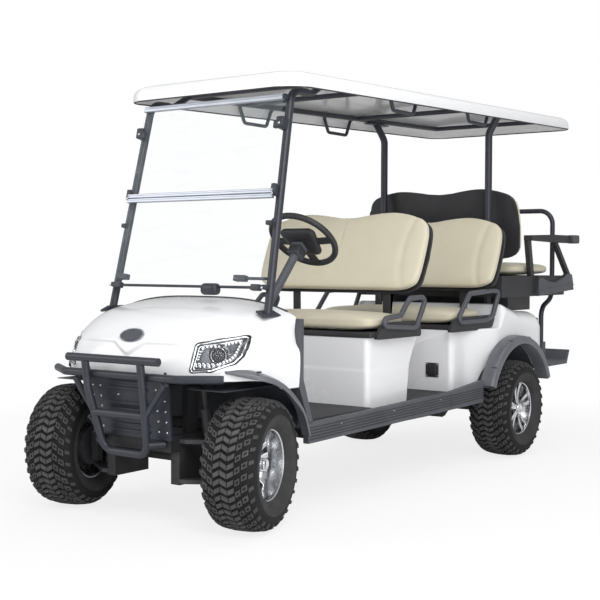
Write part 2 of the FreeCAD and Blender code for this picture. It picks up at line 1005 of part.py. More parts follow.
def chassis_frame():
    """Ladder frame with outriggers, shock towers, spring hangers and the rack's case."""
    parts, bore = rack_parts()
    for name, side in SIDES.items():

        def span(start, end):
            return (start, end) if side > 0 else (-end, -start)

        parts.append(
            block(
                "rail_" + name,
                span(s.rail_inner, s.rail_outer),
                (behind(-s.rail_front), behind(s.rail_rear)),
                (s.rail_bottom, s.rail_top),
            )
        )
        parts.append(
            block(
                "tower_" + name,
                span(s.rail_inner, s.rail_outer - s.arm_root_width / 2),
                (front_axle - s.tower_depth / 2, front_axle + s.tower_depth / 2),
                (s.rail_bottom, s.tower_height),
            )
        )
        parts.append(
            block(
                "tower_arm_" + name,
                span(s.rail_inner, s.tower_arm),
                (front_axle - s.tower_depth / 2, front_axle + s.tower_depth / 2),
                (s.tower_height - s.tower_arm_thickness, s.tower_height),
            )
        )
        drop = s.arm_level + s.arm_thickness
        parts.append(
            block(
                "arm_mount_" + name,
                span(s.rail_inner, s.rail_outer),
                (front_axle - s.arm_spread, front_axle + s.arm_spread),
                (hub_height - drop, s.rail_bottom),
            )
        )
        for end, y in (
            ("front", rear_axle - s.leaf_half_length),
            ("rear", rear_axle + s.leaf_half_length),
        ):
            parts.append(
                block(
                    f"spring_hanger_{end}_{name}",
                    span(s.rail_inner, s.leaf_inner + s.leaf_width),
                    (y - s.leaf_shackle_length / 2, y + s.leaf_shackle_length / 2),
                    (leaf_top() + s.leaf_rise + s.seat_clearance, s.rail_top),
                )
            )
    rear_pod = s.pod_front + s.row_pitch
    places = {
        "nose": -s.rail_front,
        "rack": s.tie_rod_reach - s.cross_member_depth / 2,
        "toe": s.floor_front + s.cross_member_depth,
        "seat": s.pod_rear_foot,
        "pod": rear_pod,
        "tail": s.rail_rear - s.cross_member_depth,
    }
    for name, y in places.items():
        parts.append(
            block(
                "cross_" + name,
                (-s.rail_outer, s.rail_outer),
                (behind(y), behind(y + s.cross_member_depth)),
                (s.rail_bottom, s.rail_top),
            )
        )
    reach = s.rocker_outer - s.rocker_thickness - s.seat_clearance
    for name in ("toe", "seat", "pod"):
        y = places[name]
        parts.append(
            block(
                "outrigger_" + name,
                (-reach, reach),
                (behind(y), behind(y + s.cross_member_depth)),
                (s.outrigger_bottom, s.rail_top),
            )
        )
    ways = []
    for name, side in SIDES.items():
        x0 = s.rail_inner - s.overrun / 2
        width = s.rail_outer - s.rail_inner + s.overrun
        ways.append(
            flat_bar(
                "tie_rod_way_" + name,
                "x",
                s.tie_rod_radius + s.tie_rod_gap,
                width,
                x0 if side > 0 else -x0 - width,
                behind(s.tie_rod_reach),
                hub_height - s.tie_rod_drop,
                BAR_SIDES,
            )
        )
    whole = cut("chassis_whole", fuse("chassis_solid", parts), [bore] + ways)
    return node(whole, "chassis_frame")


def leaf_top():
    """Height of the leaf springs' upper face at the axle."""
    return hub_height + s.axle_tube_radius + s.seat_clearance + s.leaf_thickness


def leaf_springs():
    """Leaf packs that rise towards their two hangers."""
    low = hub_height + s.axle_tube_radius + s.seat_clearance
    high = leaf_top()
    flat = s.leaf_half_length / 4
    reach = s.leaf_half_length + s.leaf_shackle_length / 2
    outline = [
        (rear_axle - reach, low + s.leaf_thickness / 2 + s.leaf_rise),
        (rear_axle - flat, low),
        (rear_axle + flat, low),
        (rear_axle + reach, low + s.leaf_thickness / 2 + s.leaf_rise),
        (rear_axle + reach, high + s.leaf_rise),
        (rear_axle + flat, high),
        (rear_axle - flat, high),
        (rear_axle - reach, high + s.leaf_rise),
    ]
    leaf = side_prism("leaf_spring", outline, s.leaf_inner, s.leaf_inner + s.leaf_width)
    return [leaf, mirrored("leaf_spring_mirror", leaf)]


def rear_axle_beam():
    """Axle tube, differential, brake drums and wheel stubs, with the motor as one block."""
    reach = s.axle_tube_reach
    tip = wheel_x + s.rim_width / 2 - s.rear_disc_inset + s.rear_cap_length / 4
    parts = [
        rod("axle_tube", "x", s.axle_tube_radius, reach * 2, -reach, rear_axle, hub_height),
        rod("axle_shaft", "x", s.spindle_radius, tip * 2, -tip, rear_axle, hub_height),
        flat_bar(
            "differential",
            "x",
            s.differential_radius,
            s.differential_width,
            -s.differential_width / 2,
            rear_axle,
            hub_height,
            TYRE_SIDES // 2,
        ),
    ]
    for name, side in SIDES.items():
        x = reach if side > 0 else -reach - s.rear_drum_width
        drum = flat_bar(
            "drum_" + name,
            "x",
            s.rear_drum_radius,
            s.rear_drum_width,
            x,
            rear_axle,
            hub_height,
            TYRE_SIDES // 2,
        )
        parts.append(drum)
    start = rear_axle - s.axle_tube_radius - s.motor_length
    parts.append(
        flat_bar(
            "motor_case",
            "y",
            s.motor_radius,
            s.motor_length,
            zero,
            start,
            hub_height,
            BAR_SIDES + BAR_SIDES // 2,
        )
    )
    return node(fuse("rear_axle_whole", parts), "rear_axle")


DAMPER_BODY_SHARES = (0.06, 0.5)


def rear_shocks():
    """Leaning dampers that stand on the axle tube."""
    low = hub_height + s.axle_tube_radius
    foot = point(s.rear_shock_x, rear_axle, low + s.seat_clearance * 3)
    head = point(s.rear_shock_x, rear_axle + s.rear_shock_lean, s.rear_shock_top_height)
    shape = strut_between(foot, head, float(s.rear_shock_radius), DAMPER_BODY_SHARES)
    unit = shaped("rear_shock", shape)
    return [unit, mirrored("rear_shock_mirror", unit)]


def suspension():
    """Arms, coil-overs, leaf packs and dampers as one node of separate solids."""
    parts = front_arms() + front_shocks() + leaf_springs() + rear_shocks()
    return node(group("suspension_group", parts), "suspension")


def battery_pack():
    """The batteries as one plain block inside the front seat base."""
    middle = behind((s.pod_front + s.pod_rear_foot) / 2)
    low = pod_bottom + s.body_wall + s.seat_clearance
    pack = block(
        "battery_block",
        (-s.battery_length / 2, s.battery_length / 2),
        (middle - s.battery_depth / 2, middle + s.battery_depth / 2),
        (low, low + s.battery_height),
    )
    return node(pack, "battery_pack")


# Floor


def floor_pan():
    """Pressed floor with a sloping toe board."""
    low = s.floor_level
    thick = s.floor_thickness
    outline = [
        (behind(s.floor_front), low),
        (behind(s.floor_rear), low),
        (behind(s.floor_rear), low + thick),
        (behind(s.floor_front + thick), low + thick),
        (behind(s.toe_knee_y + thick), s.toe_knee_height),
        (behind(s.toe_top_y + thick), s.toe_top_height),
        (behind(s.toe_top_y), s.toe_top_height),
        (behind(s.toe_knee_y), s.toe_knee_height),
    ]
    pan = side_prism("floor_pan", outline, -s.floor_half_width, s.floor_half_width)
    return node(pan, "floor_pan")


def floor_mats():
    low = s.floor_level + s.floor_thickness + s.seat_clearance
    rows = {
        "front": (s.floor_front + s.floor_thickness * 2, s.pod_front - s.mat_margin),
        "middle": (
            s.pod_rear_foot + s.mat_margin,
            s.pod_front + s.row_pitch - s.mat_margin,
        ),
    }
    half = s.floor_half_width - s.mat_margin
    mats = [
        block(
            "mat_" + name, (-half, half), (behind(y0), behind(y1)), (low, low + s.mat_thickness)
        )
        for name, (y0, y1) in rows.items()
    ]
    return node(group("floor_mats_group", mats), "floor_mats")


def rocker_parts():
    """Two lengths of sill trim on each side, split as the real ones are."""
    inner = s.rocker_outer - s.rocker_thickness
    gap = s.panel_gap
    share = (s.rocker_joint - s.rocker_front) / (s.rocker_rear - s.rocker_front)
    rise = s.rocker_bottom_rear - s.rocker_bottom_front
    joint_bottom = s.rocker_bottom_front + rise * share
    ahead = [
        (behind(s.rocker_front), s.rocker_bottom_front),
        (behind(s.rocker_joint - gap), joint_bottom),
        (behind(s.rocker_joint - gap), s.rocker_top_joint),
        (behind(s.rocker_front), s.rocker_top_front),
    ]
    after = [
        (behind(s.rocker_joint), joint_bottom),
        (behind(s.rocker_rear), s.rocker_bottom_rear),
        (behind(s.rocker_rear), s.rocker_top_rear),
        (behind(s.rocker_joint), s.rocker_top_joint),
    ]
    parts = []
    for name, outline in (("rocker_front", ahead), ("rocker_rear", after)):
        panel = side_prism(name, outline, inner, s.rocker_outer)
        parts += [panel, mirrored(name + "_mirror", panel)]
    return parts


# Front body

# Rows of the cowl's control net from its lower edge over the top to its rear edge:
# shares of the height at the side and in the middle, of the nose and of the half width
COWL_ROW_SHARES = (
    (0.0, 0.0, 1.0, 0.985),
    (0.22, 0.22, 1.14, 1.0),
    (0.44, 0.46, 1.08, 1.0),
    (0.445, 0.66, 0.8, 0.965),
    (0.633, 0.864, 0.314, 0.93),
    (0.77, 0.965, -0.5, 0.955),
    (0.8, 1.0, -1.485, 0.95),
)
# Columns of the net from the side to the middle: across, forward, and up to the middle
COWL_COLUMN_SHARES = (
    (1.0, 0.0, 0.0),
    (1.0, 0.388, 0.0),
    (0.918, 0.678, 0.33),
    (0.62, 1.0, 0.8),
    (0.0, 1.0, 1.0),
)
COWL_REAR_SHARES = ((1.0, 0.0), (0.93, 0.27), (0.72, 0.72), (0.4, 1.0), (0.0, 1.0))


COWL_STEPS = (9, 16)


def cowl_net(shrink):
    """Control points of the cowl's skin, drawn in all round by a margin."""
    rise = float(s.cowl_top_height - s.cowl_bottom)
    nose = float(s.cowl_nose)
    rear = float(front_axle + s.cowl_rear)
    rows = []
    last = len(COWL_ROW_SHARES) - 1
    for number, (side_up, middle_up, forward, width) in enumerate(COWL_ROW_SHARES):
        level = number / last
        half = float(s.cowl_half_width) * width - shrink
        front = float(front_axle) - nose * forward + shrink * (1 - level)
        if number == last:
            front = rear
        places = []
        for column, (across, ahead, lift) in enumerate(COWL_COLUMN_SHARES):
            if number == last:
                across, lift = COWL_REAR_SHARES[column]
            z = float(s.cowl_bottom) + rise * (side_up + (middle_up - side_up) * lift)
            y = rear + (front - rear) * ahead
            places.append(Vector(half * across, y, z - shrink * level))
        rows.append(places + [Vector(-p.x, p.y, p.z) for p in places[-2::-1]])
    return rows


def clamped_knots(count):
    """Knots of a cubic row that starts and ends on its first and last poles."""
    inner = count - 4
    return [4] + [1] * inner + [4], [float(k) for k in range(inner + 2)]


def cowl_solid(shrink):
    """The cowl's outer form in flats, closed below and behind."""
    net = cowl_net(shrink)
    u_mults, u_knots = clamped_knots(len(net))
    v_mults, v_knots = clamped_knots(len(net[0]))
    skin = Part.BSplineSurface()
    skin.buildFromPolesMultsKnots(net, u_mults, v_mults, u_knots, v_knots, False, False, 3, 3)
    across, along = COWL_STEPS[1], COWL_STEPS[0]
    rows = [
        [skin.value(u_knots[-1] * i / along, v_knots[-1] * j / across) for j in range(across + 1)]
        for i in range(along + 1)
    ]
    loops = []
    for low, high in zip(rows, rows[1:]):
        for j in range(across):
            near, far = (j, j + 1) if j < across / 2 else (j + 1, j)
            loops.append([low[near], low[far], high[near]])
            loops.append([low[far], high[far], high[near]])
    loops.append(rows[0])
    loops.append([row[0] for row in rows] + rows[-1][1:-1] + [row[-1] for row in rows[::-1]])
    faces = [Part.Face(Part.makePolygon(loop + loop[:1])) for loop in loops]
    shell = Part.makeShell(faces)
    shell.sewShape()
    solid = Part.makeSolid(shell)
    if solid.Volume < 0:
        solid.reverse()
    return solid


LAMP_X_SHARES = (0.609, 0.72, 0.856, 0.894, 0.864, 0.741, 0.598)
LAMP_Z_SHARES = (0.537, 0.59, 0.621, 0.407, 0.318, 0.234, 0.221)


def lamp_prism(margin):
    """A front-view outline of the left headlight, carried along the cart."""
    height = float(s.cowl_top_height - s.cowl_bottom)
    corners = []
    mid_x = sum(LAMP_X_SHARES) / len(LAMP_X_SHARES)
    mid_z = sum(LAMP_Z_SHARES) / len(LAMP_Z_SHARES)
    for x_share, z_share in zip(LAMP_X_SHARES, LAMP_Z_SHARES):
        x = float(s.cowl_half_width) * x_share
        z = float(s.cowl_bottom) + height * z_share
        x += margin * (1 if x_share > mid_x else -1)
        z += margin * (1 if z_share > mid_z else -1)
        corners.append(Vector(x, float(front_axle - s.cowl_nose - s.overrun * 2), z))
    face = Part.Face(Part.makePolygon(corners + corners[:1]))
    return face.extrude(Vector(0, float(s.cowl_nose + s.cowl_rear / 4), 0))


def front_cowl():
    """Nose shell with its wheel arches, lamp openings and open underside."""
    outer = cowl_solid(0.0)
    inner = cowl_solid(float(s.cowl_wall))
    inner.translate(Vector(0, 0, -float(s.cowl_wall)))
    over = float(s.overrun)
    shell = outer.cut(inner)
    under = Part.makeBox(
        float(s.cowl_half_width * 2) + over * 2,
        float(s.cowl_nose * 2),
        float(s.cowl_lip_height - s.cowl_bottom) + over,
        point(-s.cowl_half_width - s.overrun, front_axle - s.cowl_nose * 2, s.cowl_bottom - s.overrun),
    )
    shell = shell.cut(under)
    for side in SIDES.values():
        start = point(side * s.front_arch_inner, front_axle, hub_height)
        arch = Part.makeCylinder(
            float(s.front_arch_radius), float(s.cowl_half_width), start, Vector(side, 0, 0)
        )
        lamp = lamp_prism(float(s.lamp_gap))
        if side < 0:
            lamp = lamp.mirror(Vector(0, 0, 0), Vector(1, 0, 0))
        shell = shell.cut(arch).cut(lamp)
    solids = sorted(shell.Solids, key=lambda part: part.Volume)
    return node(shaped("cowl_shell", solids[-1]), "front_cowl")


def headlights():
    """Lamp units that fill the cowl's openings, flush with its skin."""
    core = cowl_solid(float(s.lamp_depth))
    core.translate(Vector(0, 0, -float(s.cowl_wall)))
    unit = cowl_solid(0.0).common(lamp_prism(0.0)).cut(core)
    solids = sorted(unit.Solids, key=lambda part: part.Volume)
    unit = shaped("headlight", solids[-1])
    return [unit, mirrored("headlight_mirror", unit)]


def front_panel():
    """Panel under the nose, between the front wheels."""
    y = -s.rail_front - s.front_panel_thickness - s.seat_clearance
    outline = [
        (behind(y), s.front_panel_bottom),
        (behind(y + s.front_panel_thickness), s.front_panel_bottom),
        (behind(y - s.front_panel_rake + s.front_panel_thickness), s.front_panel_top),
        (behind(y - s.front_panel_rake), s.front_panel_top),
    ]
    half = s.front_panel_half_width
    return side_prism("front_panel", outline, -half, half)


def inner_panels():
    """Inner wheel-arch shells and the front panel between the first two."""
    thick = s.liner_thickness
    roof = s.tower_height + s.seat_clearance
    knee = roof - s.overrun * 5
    toe_share = (knee - s.floor_level) / (s.toe_knee_height - s.floor_level)
    wall = s.floor_front + (s.toe_knee_y - s.floor_front) * toe_share - s.seat_clearance
    front = [
        (behind(s.front_panel_thickness - s.rail_front), roof),
        (behind(s.cowl_rear - s.overrun * 3), roof),
        (behind(wall), knee),
        (behind(wall), s.floor_level + s.overrun),
    ]
    back = [(y - thick, z + thick) for y, z in reversed(front[1:3])]
    outline = front + [(front[3][0] - thick, front[3][1])] + back
    outline.append((front[0][0], roof + thick))
    ahead = side_prism("front_liner", outline, s.front_liner_inner, s.front_liner_outer)
    radius = s.rear_arch_radius + thick
    ring = rod(
        "rear_liner_outer",
        "x",
        radius,
        s.body_half_width - s.rear_arch_inner - thick * 2,
        s.rear_arch_inner,
        rear_axle,
        hub_height,
    )
    hole = rod(
        "rear_liner_hole",
        "x",
        s.rear_arch_radius,
        s.body_half_width,
        s.rear_arch_inner - s.overrun,
        rear_axle,
        hub_height,
    )
    below = block(
        "rear_liner_below",
        (s.rear_arch_inner - s.overrun, s.body_half_width + s.overrun),
        (rear_axle - radius - s.overrun, rear_axle + radius + s.overrun),
        (hub_height - radius - s.overrun, s.body_tail_bottom),
    )
    after = cut("rear_liner", ring, [hole, below])
    parts = [
        front_panel(),
        ahead,
        mirrored("front_liner_mirror", ahead),
        after,
        mirrored("rear_liner_mirror", after),
    ]
    return node(group("liner_group", parts), "inner_panels")


FLARE_UPPER_SHARES = (
    (-0.34, 0.985),
    (-0.14, 1.0),
    (0.07, 0.965),
    (0.467, 0.825),
    (0.773, 0.605),
    (0.993, 0.34),
    (1.12, 0.0),
)
FLARE_LOWER_SHARES = (
    (-0.34, 0.95),
    (-0.14, 0.885),
    (0.033, 0.84),
    (0.373, 0.72),
    (0.667, 0.525),
    (0.903, 0.298),
    (1.033, 0.0),
)


def flare_edge(x, shares):
    """One long edge of the front flare at a distance from the middle."""
    base = float(s.front_panel_bottom)
    rise = float(s.cowl_lip_height) + float(s.flare_lift) - base
    return [
        Vector(x, float(front_axle) + float(s.cowl_rear) * y, base + rise * z)
        for y, z in shares
    ]


def front_flares():
    """Arched mudguard lips over the front wheels, clear of the steered tyres."""
    loop = flare_edge(float(s.front_flare_inner), FLARE_UPPER_SHARES)
    loop += flare_edge(float(s.front_flare_inner), FLARE_LOWER_SHARES[::-1])
    face = Part.Face(Part.makePolygon(loop + loop[:1]))
    band = face.extrude(Vector(float(s.flare_outer - s.front_flare_inner), 0, 0))
    band = band.cut(cowl_solid(-float(s.seat_clearance)))
    lip = shaped("front_flare", sorted(band.Solids, key=lambda part: part.Volume)[-1])
    return [lip, mirrored("front_flare_mirror", lip)]


def rear_flare_inner():
    """The rear flares start at the body's side."""
    return s.body_half_width + s.seat_clearance


def rear_flares():
    """Half-ring mudguard lips over the rear wheels."""
    inner = rear_flare_inner()
    hole = s.rear_arch_radius + s.liner_thickness + s.seat_clearance
    outline = [
        (inner, hole),
        (inner, s.rear_flare_radius + s.panel_gap * 2),
        (s.rear_flare_outer, s.rear_flare_radius),
        (s.rear_flare_outer, hole),
    ]
    ring = turned_flats(outline, TYRE_SIDES, True)
    ring.translate(point(zero, rear_axle, hub_height))
    reach = s.rear_flare_radius + s.overrun * 4
    below = Part.makeBox(
        float(s.rear_flare_outer),
        float(reach * 2),
        float(reach * 2),
        point(zero, rear_axle - reach, s.flare_foot_height - reach * 2),
    )
    flare = shaped("rear_flare", ring.cut(below))
    return [flare, mirrored("rear_flare_mirror", flare)]


def wheel_flares():
    return node(group("flare_group", front_flares() + rear_flares()), "wheel_flares")


def dash_panel():
    """Dash shelf behind the cowl, open towards the driver."""
    wall = s.dash_wall
    dash_lip = s.cowl_top_height - s.dash_lip_drop
    outline = [
        (behind(s.dash_front), s.cowl_top_height - wall),
        (behind(s.dash_front), s.dash_bottom_height),
        (behind(s.dash_front + wall), s.dash_bottom_height),
        (behind(s.dash_front + wall), dash_lip - wall),
        (behind(s.dash_rear - wall), dash_lip - wall * 2),
        (behind(s.dash_rear), dash_lip - wall * 2),
        (behind(s.dash_rear), dash_lip),
        (behind(s.dash_rear - wall), dash_lip + wall / 4),
        (behind(s.dash_front + wall * 2), (s.cowl_top_height - s.dash_top_drop)),
    ]
    half = s.dash_half_width * 0.88
    shelf = side_prism("dash_shelf", outline, -half, half)
    hole = rod(
        "dash_hole",
        "z",
        s.column_radius + s.seat_clearance * 2,
        s.column_length * 2,
        zero,
        zero,
        -s.column_length * 2,
    )
    line = column_place(group("dash_bore", [hole]))
    return node(cut("dash_whole", shelf, [line]), "dash_panel")


def strip_parts():
    """Dark trim strips down the cowl's rear edges."""
    outline = [
        (behind(s.cowl_rear + s.seat_clearance), s.cowl_shoulder_height),
        (behind(s.cowl_rear + s.seat_clearance), s.cowl_bottom),
        (behind(s.rocker_front), s.floor_level + s.strip_depth),
        (behind(s.rocker_front + s.strip_depth), s.floor_level + s.strip_depth),
        (behind(s.cowl_rear + s.strip_depth), s.cowl_bottom + s.strip_depth),
        (behind(s.cowl_rear + s.strip_depth), s.cowl_shoulder_height),
    ]
    outer = s.rocker_outer
    strip = side_prism("cowl_strip", outline, outer - s.strip_thickness * 5, outer)
    return [strip, mirrored("cowl_strip_mirror", strip)]


def body_trims():
    """Sill trims and cowl edge strips as one node of separate solids."""
    return node(group("trim_group", rocker_parts() + strip_parts()), "body_trims")


def brush_guard():
    """Tubular bumper: top tube, long cross tube, tapering hoop and braces."""
    radius = s.guard_tube_radius
    bend = s.guard_bend
    top_y = -s.guard_top_y
    long_y = -s.guard_long_y
    end_y = -s.guard_long_end_y
    drop = s.guard_top_height - s.guard_long_height
    top = [
        (-s.guard_top_half, top_y, s.guard_top_height),
        (s.guard_top_half, top_y, s.guard_top_height),
    ]
    long_tube = [
        (-s.guard_long_half, end_y, s.guard_long_height),
        (-s.guard_top_half - bend, long_y, s.guard_long_height),
        (s.guard_top_half + bend, long_y, s.guard_long_height),
        (s.guard_long_half, end_y, s.guard_long_height),
    ]
    hoop = [
        (-s.guard_upright, top_y, s.guard_top_height),
        (-s.guard_upright, top_y + radius, s.guard_knee_height),
        (-s.guard_foot, -s.guard_foot_y, s.guard_foot_height),
        (s.guard_foot, -s.guard_foot_y, s.guard_foot_height),
        (s.guard_upright, top_y + radius, s.guard_knee_height),
        (s.guard_upright, top_y, s.guard_top_height),
    ]
    share = (s.guard_knee_height - s.guard_cross_height) / (
        s.guard_knee_height - s.guard_foot_height
    )
    cross_x = s.guard_upright - (s.guard_upright - s.guard_foot) * share
    cross_y = top_y + radius + (s.guard_top_y - radius - s.guard_foot_y) * share
    cross = [
        (-cross_x, cross_y, s.guard_cross_height),
        (cross_x, cross_y, s.guard_cross_height),
    ]
    brace_x = s.guard_top_half
    shapes = []
    for corners in (top, long_tube, hoop, cross):
        shapes.append(tube_shape(side_points(1, corners), radius, bend))
    for side in SIDES.values():
        brace = [
            (brace_x, long_y, s.guard_long_height - drop / 4),
            (cross_x, cross_y, s.guard_cross_height),
        ]
        stay = [
            (s.guard_foot + radius, -s.guard_foot_y - radius, s.rail_bottom + radius * 2),
            (s.rail_inner + radius, -s.rail_front, s.rail_bottom + radius * 2),
        ]
        shapes.append(tube_shape(side_points(side, brace), radius * 0.8, bend))
        shapes.append(tube_shape(side_points(side, stay), radius * 0.8, bend))
    whole = shapes[0].multiFuse(shapes[1:]).removeSplitter()
    cutter = Part.makeBox(
        float(s.rail_outer * 2),
        float(s.rail_front),
        float(s.rail_top),
        point(-s.rail_outer, behind(-s.rail_front) - s.seat_clearance, s.rail_bottom / 2),
    )
    return node(shaped("guard_tubes", whole.cut(cutter)), "brush_guard")


# Windshield and canopy


def pillar_line(height):
    """Place behind the front axle of the pillars' axis at a height."""
    share = (height - pillar_foot) / (s.pillar_top_height - pillar_foot)
    return s.pillar_foot_y + (s.pillar_top_y - s.pillar_foot_y) * share


def pillar_width(height):
    """Distance of the pillars' axis from the middle at a height."""
    share = (height - pillar_foot) / (s.pillar_top_height - pillar_foot)
    return s.pillar_foot_x + (s.pillar_top_x - s.pillar_foot_x) * share


def front_struts():
    """Windshield pillars with foot plates and rearward canopy flanges."""
    top = s.pillar_top_height
    corners = [
        (s.pillar_foot_x, s.pillar_foot_y, pillar_foot),
        (s.pillar_top_x, s.pillar_top_y, top),
        (s.pillar_top_x, s.pillar_top_y + s.pillar_flange_length, top + s.panel_gap),
    ]
    tube = tube_shape(side_points(1, corners), s.pillar_radius, s.pillar_bend)
    plate = Part.makeBox(
        float(s.foot_plate_width),
        float(s.foot_plate_length),
        float(s.foot_plate_thickness),
        point(
            s.pillar_foot_x - s.foot_plate_width / 2,
            behind(s.pillar_foot_y - s.foot_plate_length / 2),
            pillar_foot,
        ),
    )
    whole = tube.fuse(plate).cut(cowl_solid(-float(s.seat_clearance)))
    solids = sorted(whole.Solids, key=lambda part: part.Volume)
    pillar = shaped("front_strut", solids[-1])
    return [pillar, mirrored("front_strut_mirror", pillar)]


def shield_quad(low, high, gap):
    """A pane's four corners, in front view, between the pillars' lines."""
    return [
        (-pillar_width(low) + gap, low),
        (pillar_width(low) - gap, low),
        (pillar_width(high) - gap, high),
        (-pillar_width(high) + gap, high),
    ]


def shield_sheet(name, low, high, gap, depth):
    """A flat sheet ahead of the pillars and parallel to them."""
    wires = []
    for step in (zero, depth):
        corners = [
            point(x, behind(pillar_line(z) - s.shield_forward + step - depth / 2), z)
            for x, z in shield_quad(low, high, gap)
        ]
        wires.append(Part.makePolygon(corners + corners[:1]))
    return shaped(name, Part.makeLoft(wires, True, True))


def windshield_panes():
    gap = s.shield_side_gap
    rail = s.shield_rail_height / 2 + s.seat_clearance
    lower = shield_sheet(
        "lower_pane", s.shield_bottom + rail, s.shield_middle - rail, gap, s.shield_thickness
    )
    upper = shield_sheet(
        "upper_pane", s.shield_middle + rail, s.shield_top - rail, gap, s.shield_thickness
    )
    return node(group("panes", [lower, upper]), "windshield_panes")


def windshield_rails():
    """Cross rails that hold the panes, with studs to the pillars."""
    parts = []
    run = float(s.pillar_top_y - s.pillar_foot_y)
    lean = math.atan2(run, float(s.pillar_top_height - pillar_foot))
    levels = {"bottom": s.shield_bottom, "middle": s.shield_middle, "top": s.shield_top}
    for name, level in levels.items():
        half = s.shield_rail_height / 2
        sheet_part = shield_sheet(
            "rail_" + name + "_bar",
            level - half,
            level + half,
            s.shield_side_gap / 2,
            s.shield_rail_depth,
        )
        front = pillar_line(level) - s.shield_forward
        for side_name, side in SIDES.items():
            reach = s.shield_forward - s.pillar_radius / math.cos(lean)
            reach = reach - s.stud_radius * math.tan(lean) - s.seat_clearance * 3
            foot = point(side * pillar_width(level), behind(front), level)
            clamp = tube_shape([foot, foot + Vector(0, float(reach), 0)], s.stud_radius, zero)
            sheet_part.Shape = sheet_part.Shape.fuse(clamp)
        parts.append(sheet_part)
    return node(group("shield_rails", parts), "windshield_rails")


ROOF_CORNER_CHORDS = 3


def roof_slice(level, inset, wall, corner):
    """Corners of the roof's outline at one level, each bend made of short chords."""
    half = float(s.roof_half_width) - inset - wall - corner
    y0 = float(behind(s.roof_front)) + inset + wall + corner
    y1 = float(behind(s.roof_rear)) - inset - wall - corner
    places = []
    for x, y, start in ((half, y1, 0), (-half, y1, 90), (-half, y0, 180), (half, y0, 270)):
        for k in range(ROOF_CORNER_CHORDS + 1):
            angle = math.radians(start + 90 * k / ROOF_CORNER_CHORDS)
            across, along = corner * math.cos(angle), corner * math.sin(angle)
            places.append(Vector(x + across, y + along, level))
    return places


def roof_solid(wall):
    """Stacked bevels of the roof; a wall gives the space inside."""
    fascia = float(s.roof_fascia)
    bevel = float(s.roof_bevel)
    crown = float(s.roof_crown)
    corner = float(s.roof_corner)
    levels = [
        (0.0, 0.0),
        (fascia, bevel / 4),
        (fascia + bevel, float(s.roof_bevel_inset)),
        (fascia + bevel + crown, float(s.roof_crown_inset)),
    ]
    start = -float(s.overrun) if wall else 0.0
    rings = []
    for index, (level, inset) in enumerate(levels):
        z = start if index == 0 else level - wall
        rings.append(roof_slice(z, inset, wall, corner))
    return skinned(rings, False)


def roof_pitch():
    """The roof's rise to the rear, as an angle in degrees."""
    run = float(s.roof_rear - s.roof_front)
    return math.degrees(math.atan2(float(s.roof_rear_height - s.roof_front_height), run))


def roof_turned(shape):
    """Set a shape that is drawn level onto the roof's pitch."""
    pivot = point(zero, behind(s.roof_front), zero)
    shape.rotate(pivot, Vector(1, 0, 0), roof_pitch())
    shape.translate(point(zero, zero, s.roof_front_height))
    return shape


def roof_shell():
    shell = roof_solid(0.0).cut(roof_solid(float(s.roof_wall)))
    return node(shaped("roof_skin", roof_turned(shell)), "roof_shell")


def roof_line(y):
    """Height of the roof's lower edge at a place behind the front axle."""
    share = (y - s.roof_front) / (s.roof_rear - s.roof_front)
    return s.roof_front_height + (s.roof_rear_height - s.roof_front_height) * share


def rail_line(y):
    """Height of the roof rails' axis, which lie against the inside of the skin."""
    inside = s.roof_fascia + s.roof_bevel - s.roof_wall
    return roof_line(y) + inside + s.roof_rail_lift - s.roof_rail_radius


def roof_frame():
    """Rails, cross bars, side stubs and the four grab handles under the roof."""
    x = s.roof_rail_x
    radius = s.roof_rail_radius
    shapes = []

    under = rail_line

    start, end = s.roof_rail_front, s.roof_rail_rear
    bars = (start, s.front_handle_y, s.rear_handle_y + s.handle_length, end)
    for side in SIDES.values():
        joint = s.pillar_top_y + s.pillar_flange_length + s.seat_clearance * 3
        rail = [
            (x, joint, s.pillar_top_height + s.panel_gap),
            (x, joint + s.roof_rail_rise, s.pillar_top_height + s.panel_gap),
            (x, start, under(start)),
            (x, end, under(end)),
        ]
        shapes.append(tube_shape(side_points(side, rail), radius, s.pillar_bend))
        for y in (s.front_handle_y, s.rear_handle_y):
            low = under(y) - s.handle_drop
            reach = s.handle_reach
            far = y + s.handle_length
            handle = [
                (x, y, under(y)),
                (reach, y, under(y)),
                (reach, y + s.handle_length / 6, low),
                (reach, far - s.handle_length / 6, low),
                (reach, far, under(far)),
                (x, far, under(far)),
            ]
            bend = s.handle_radius * 2
            shapes.append(tube_shape(side_points(side, handle), s.handle_radius, bend))
    for y in bars:
        bar = [(-x, y, under(y)), (x, y, under(y))]
        shapes.append(tube_shape(side_points(1, bar), radius * 0.9, radius))
    whole = shapes[0].multiFuse(shapes[1:]).removeSplitter()
    return node(shaped("roof_tubes", whole), "roof_frame")


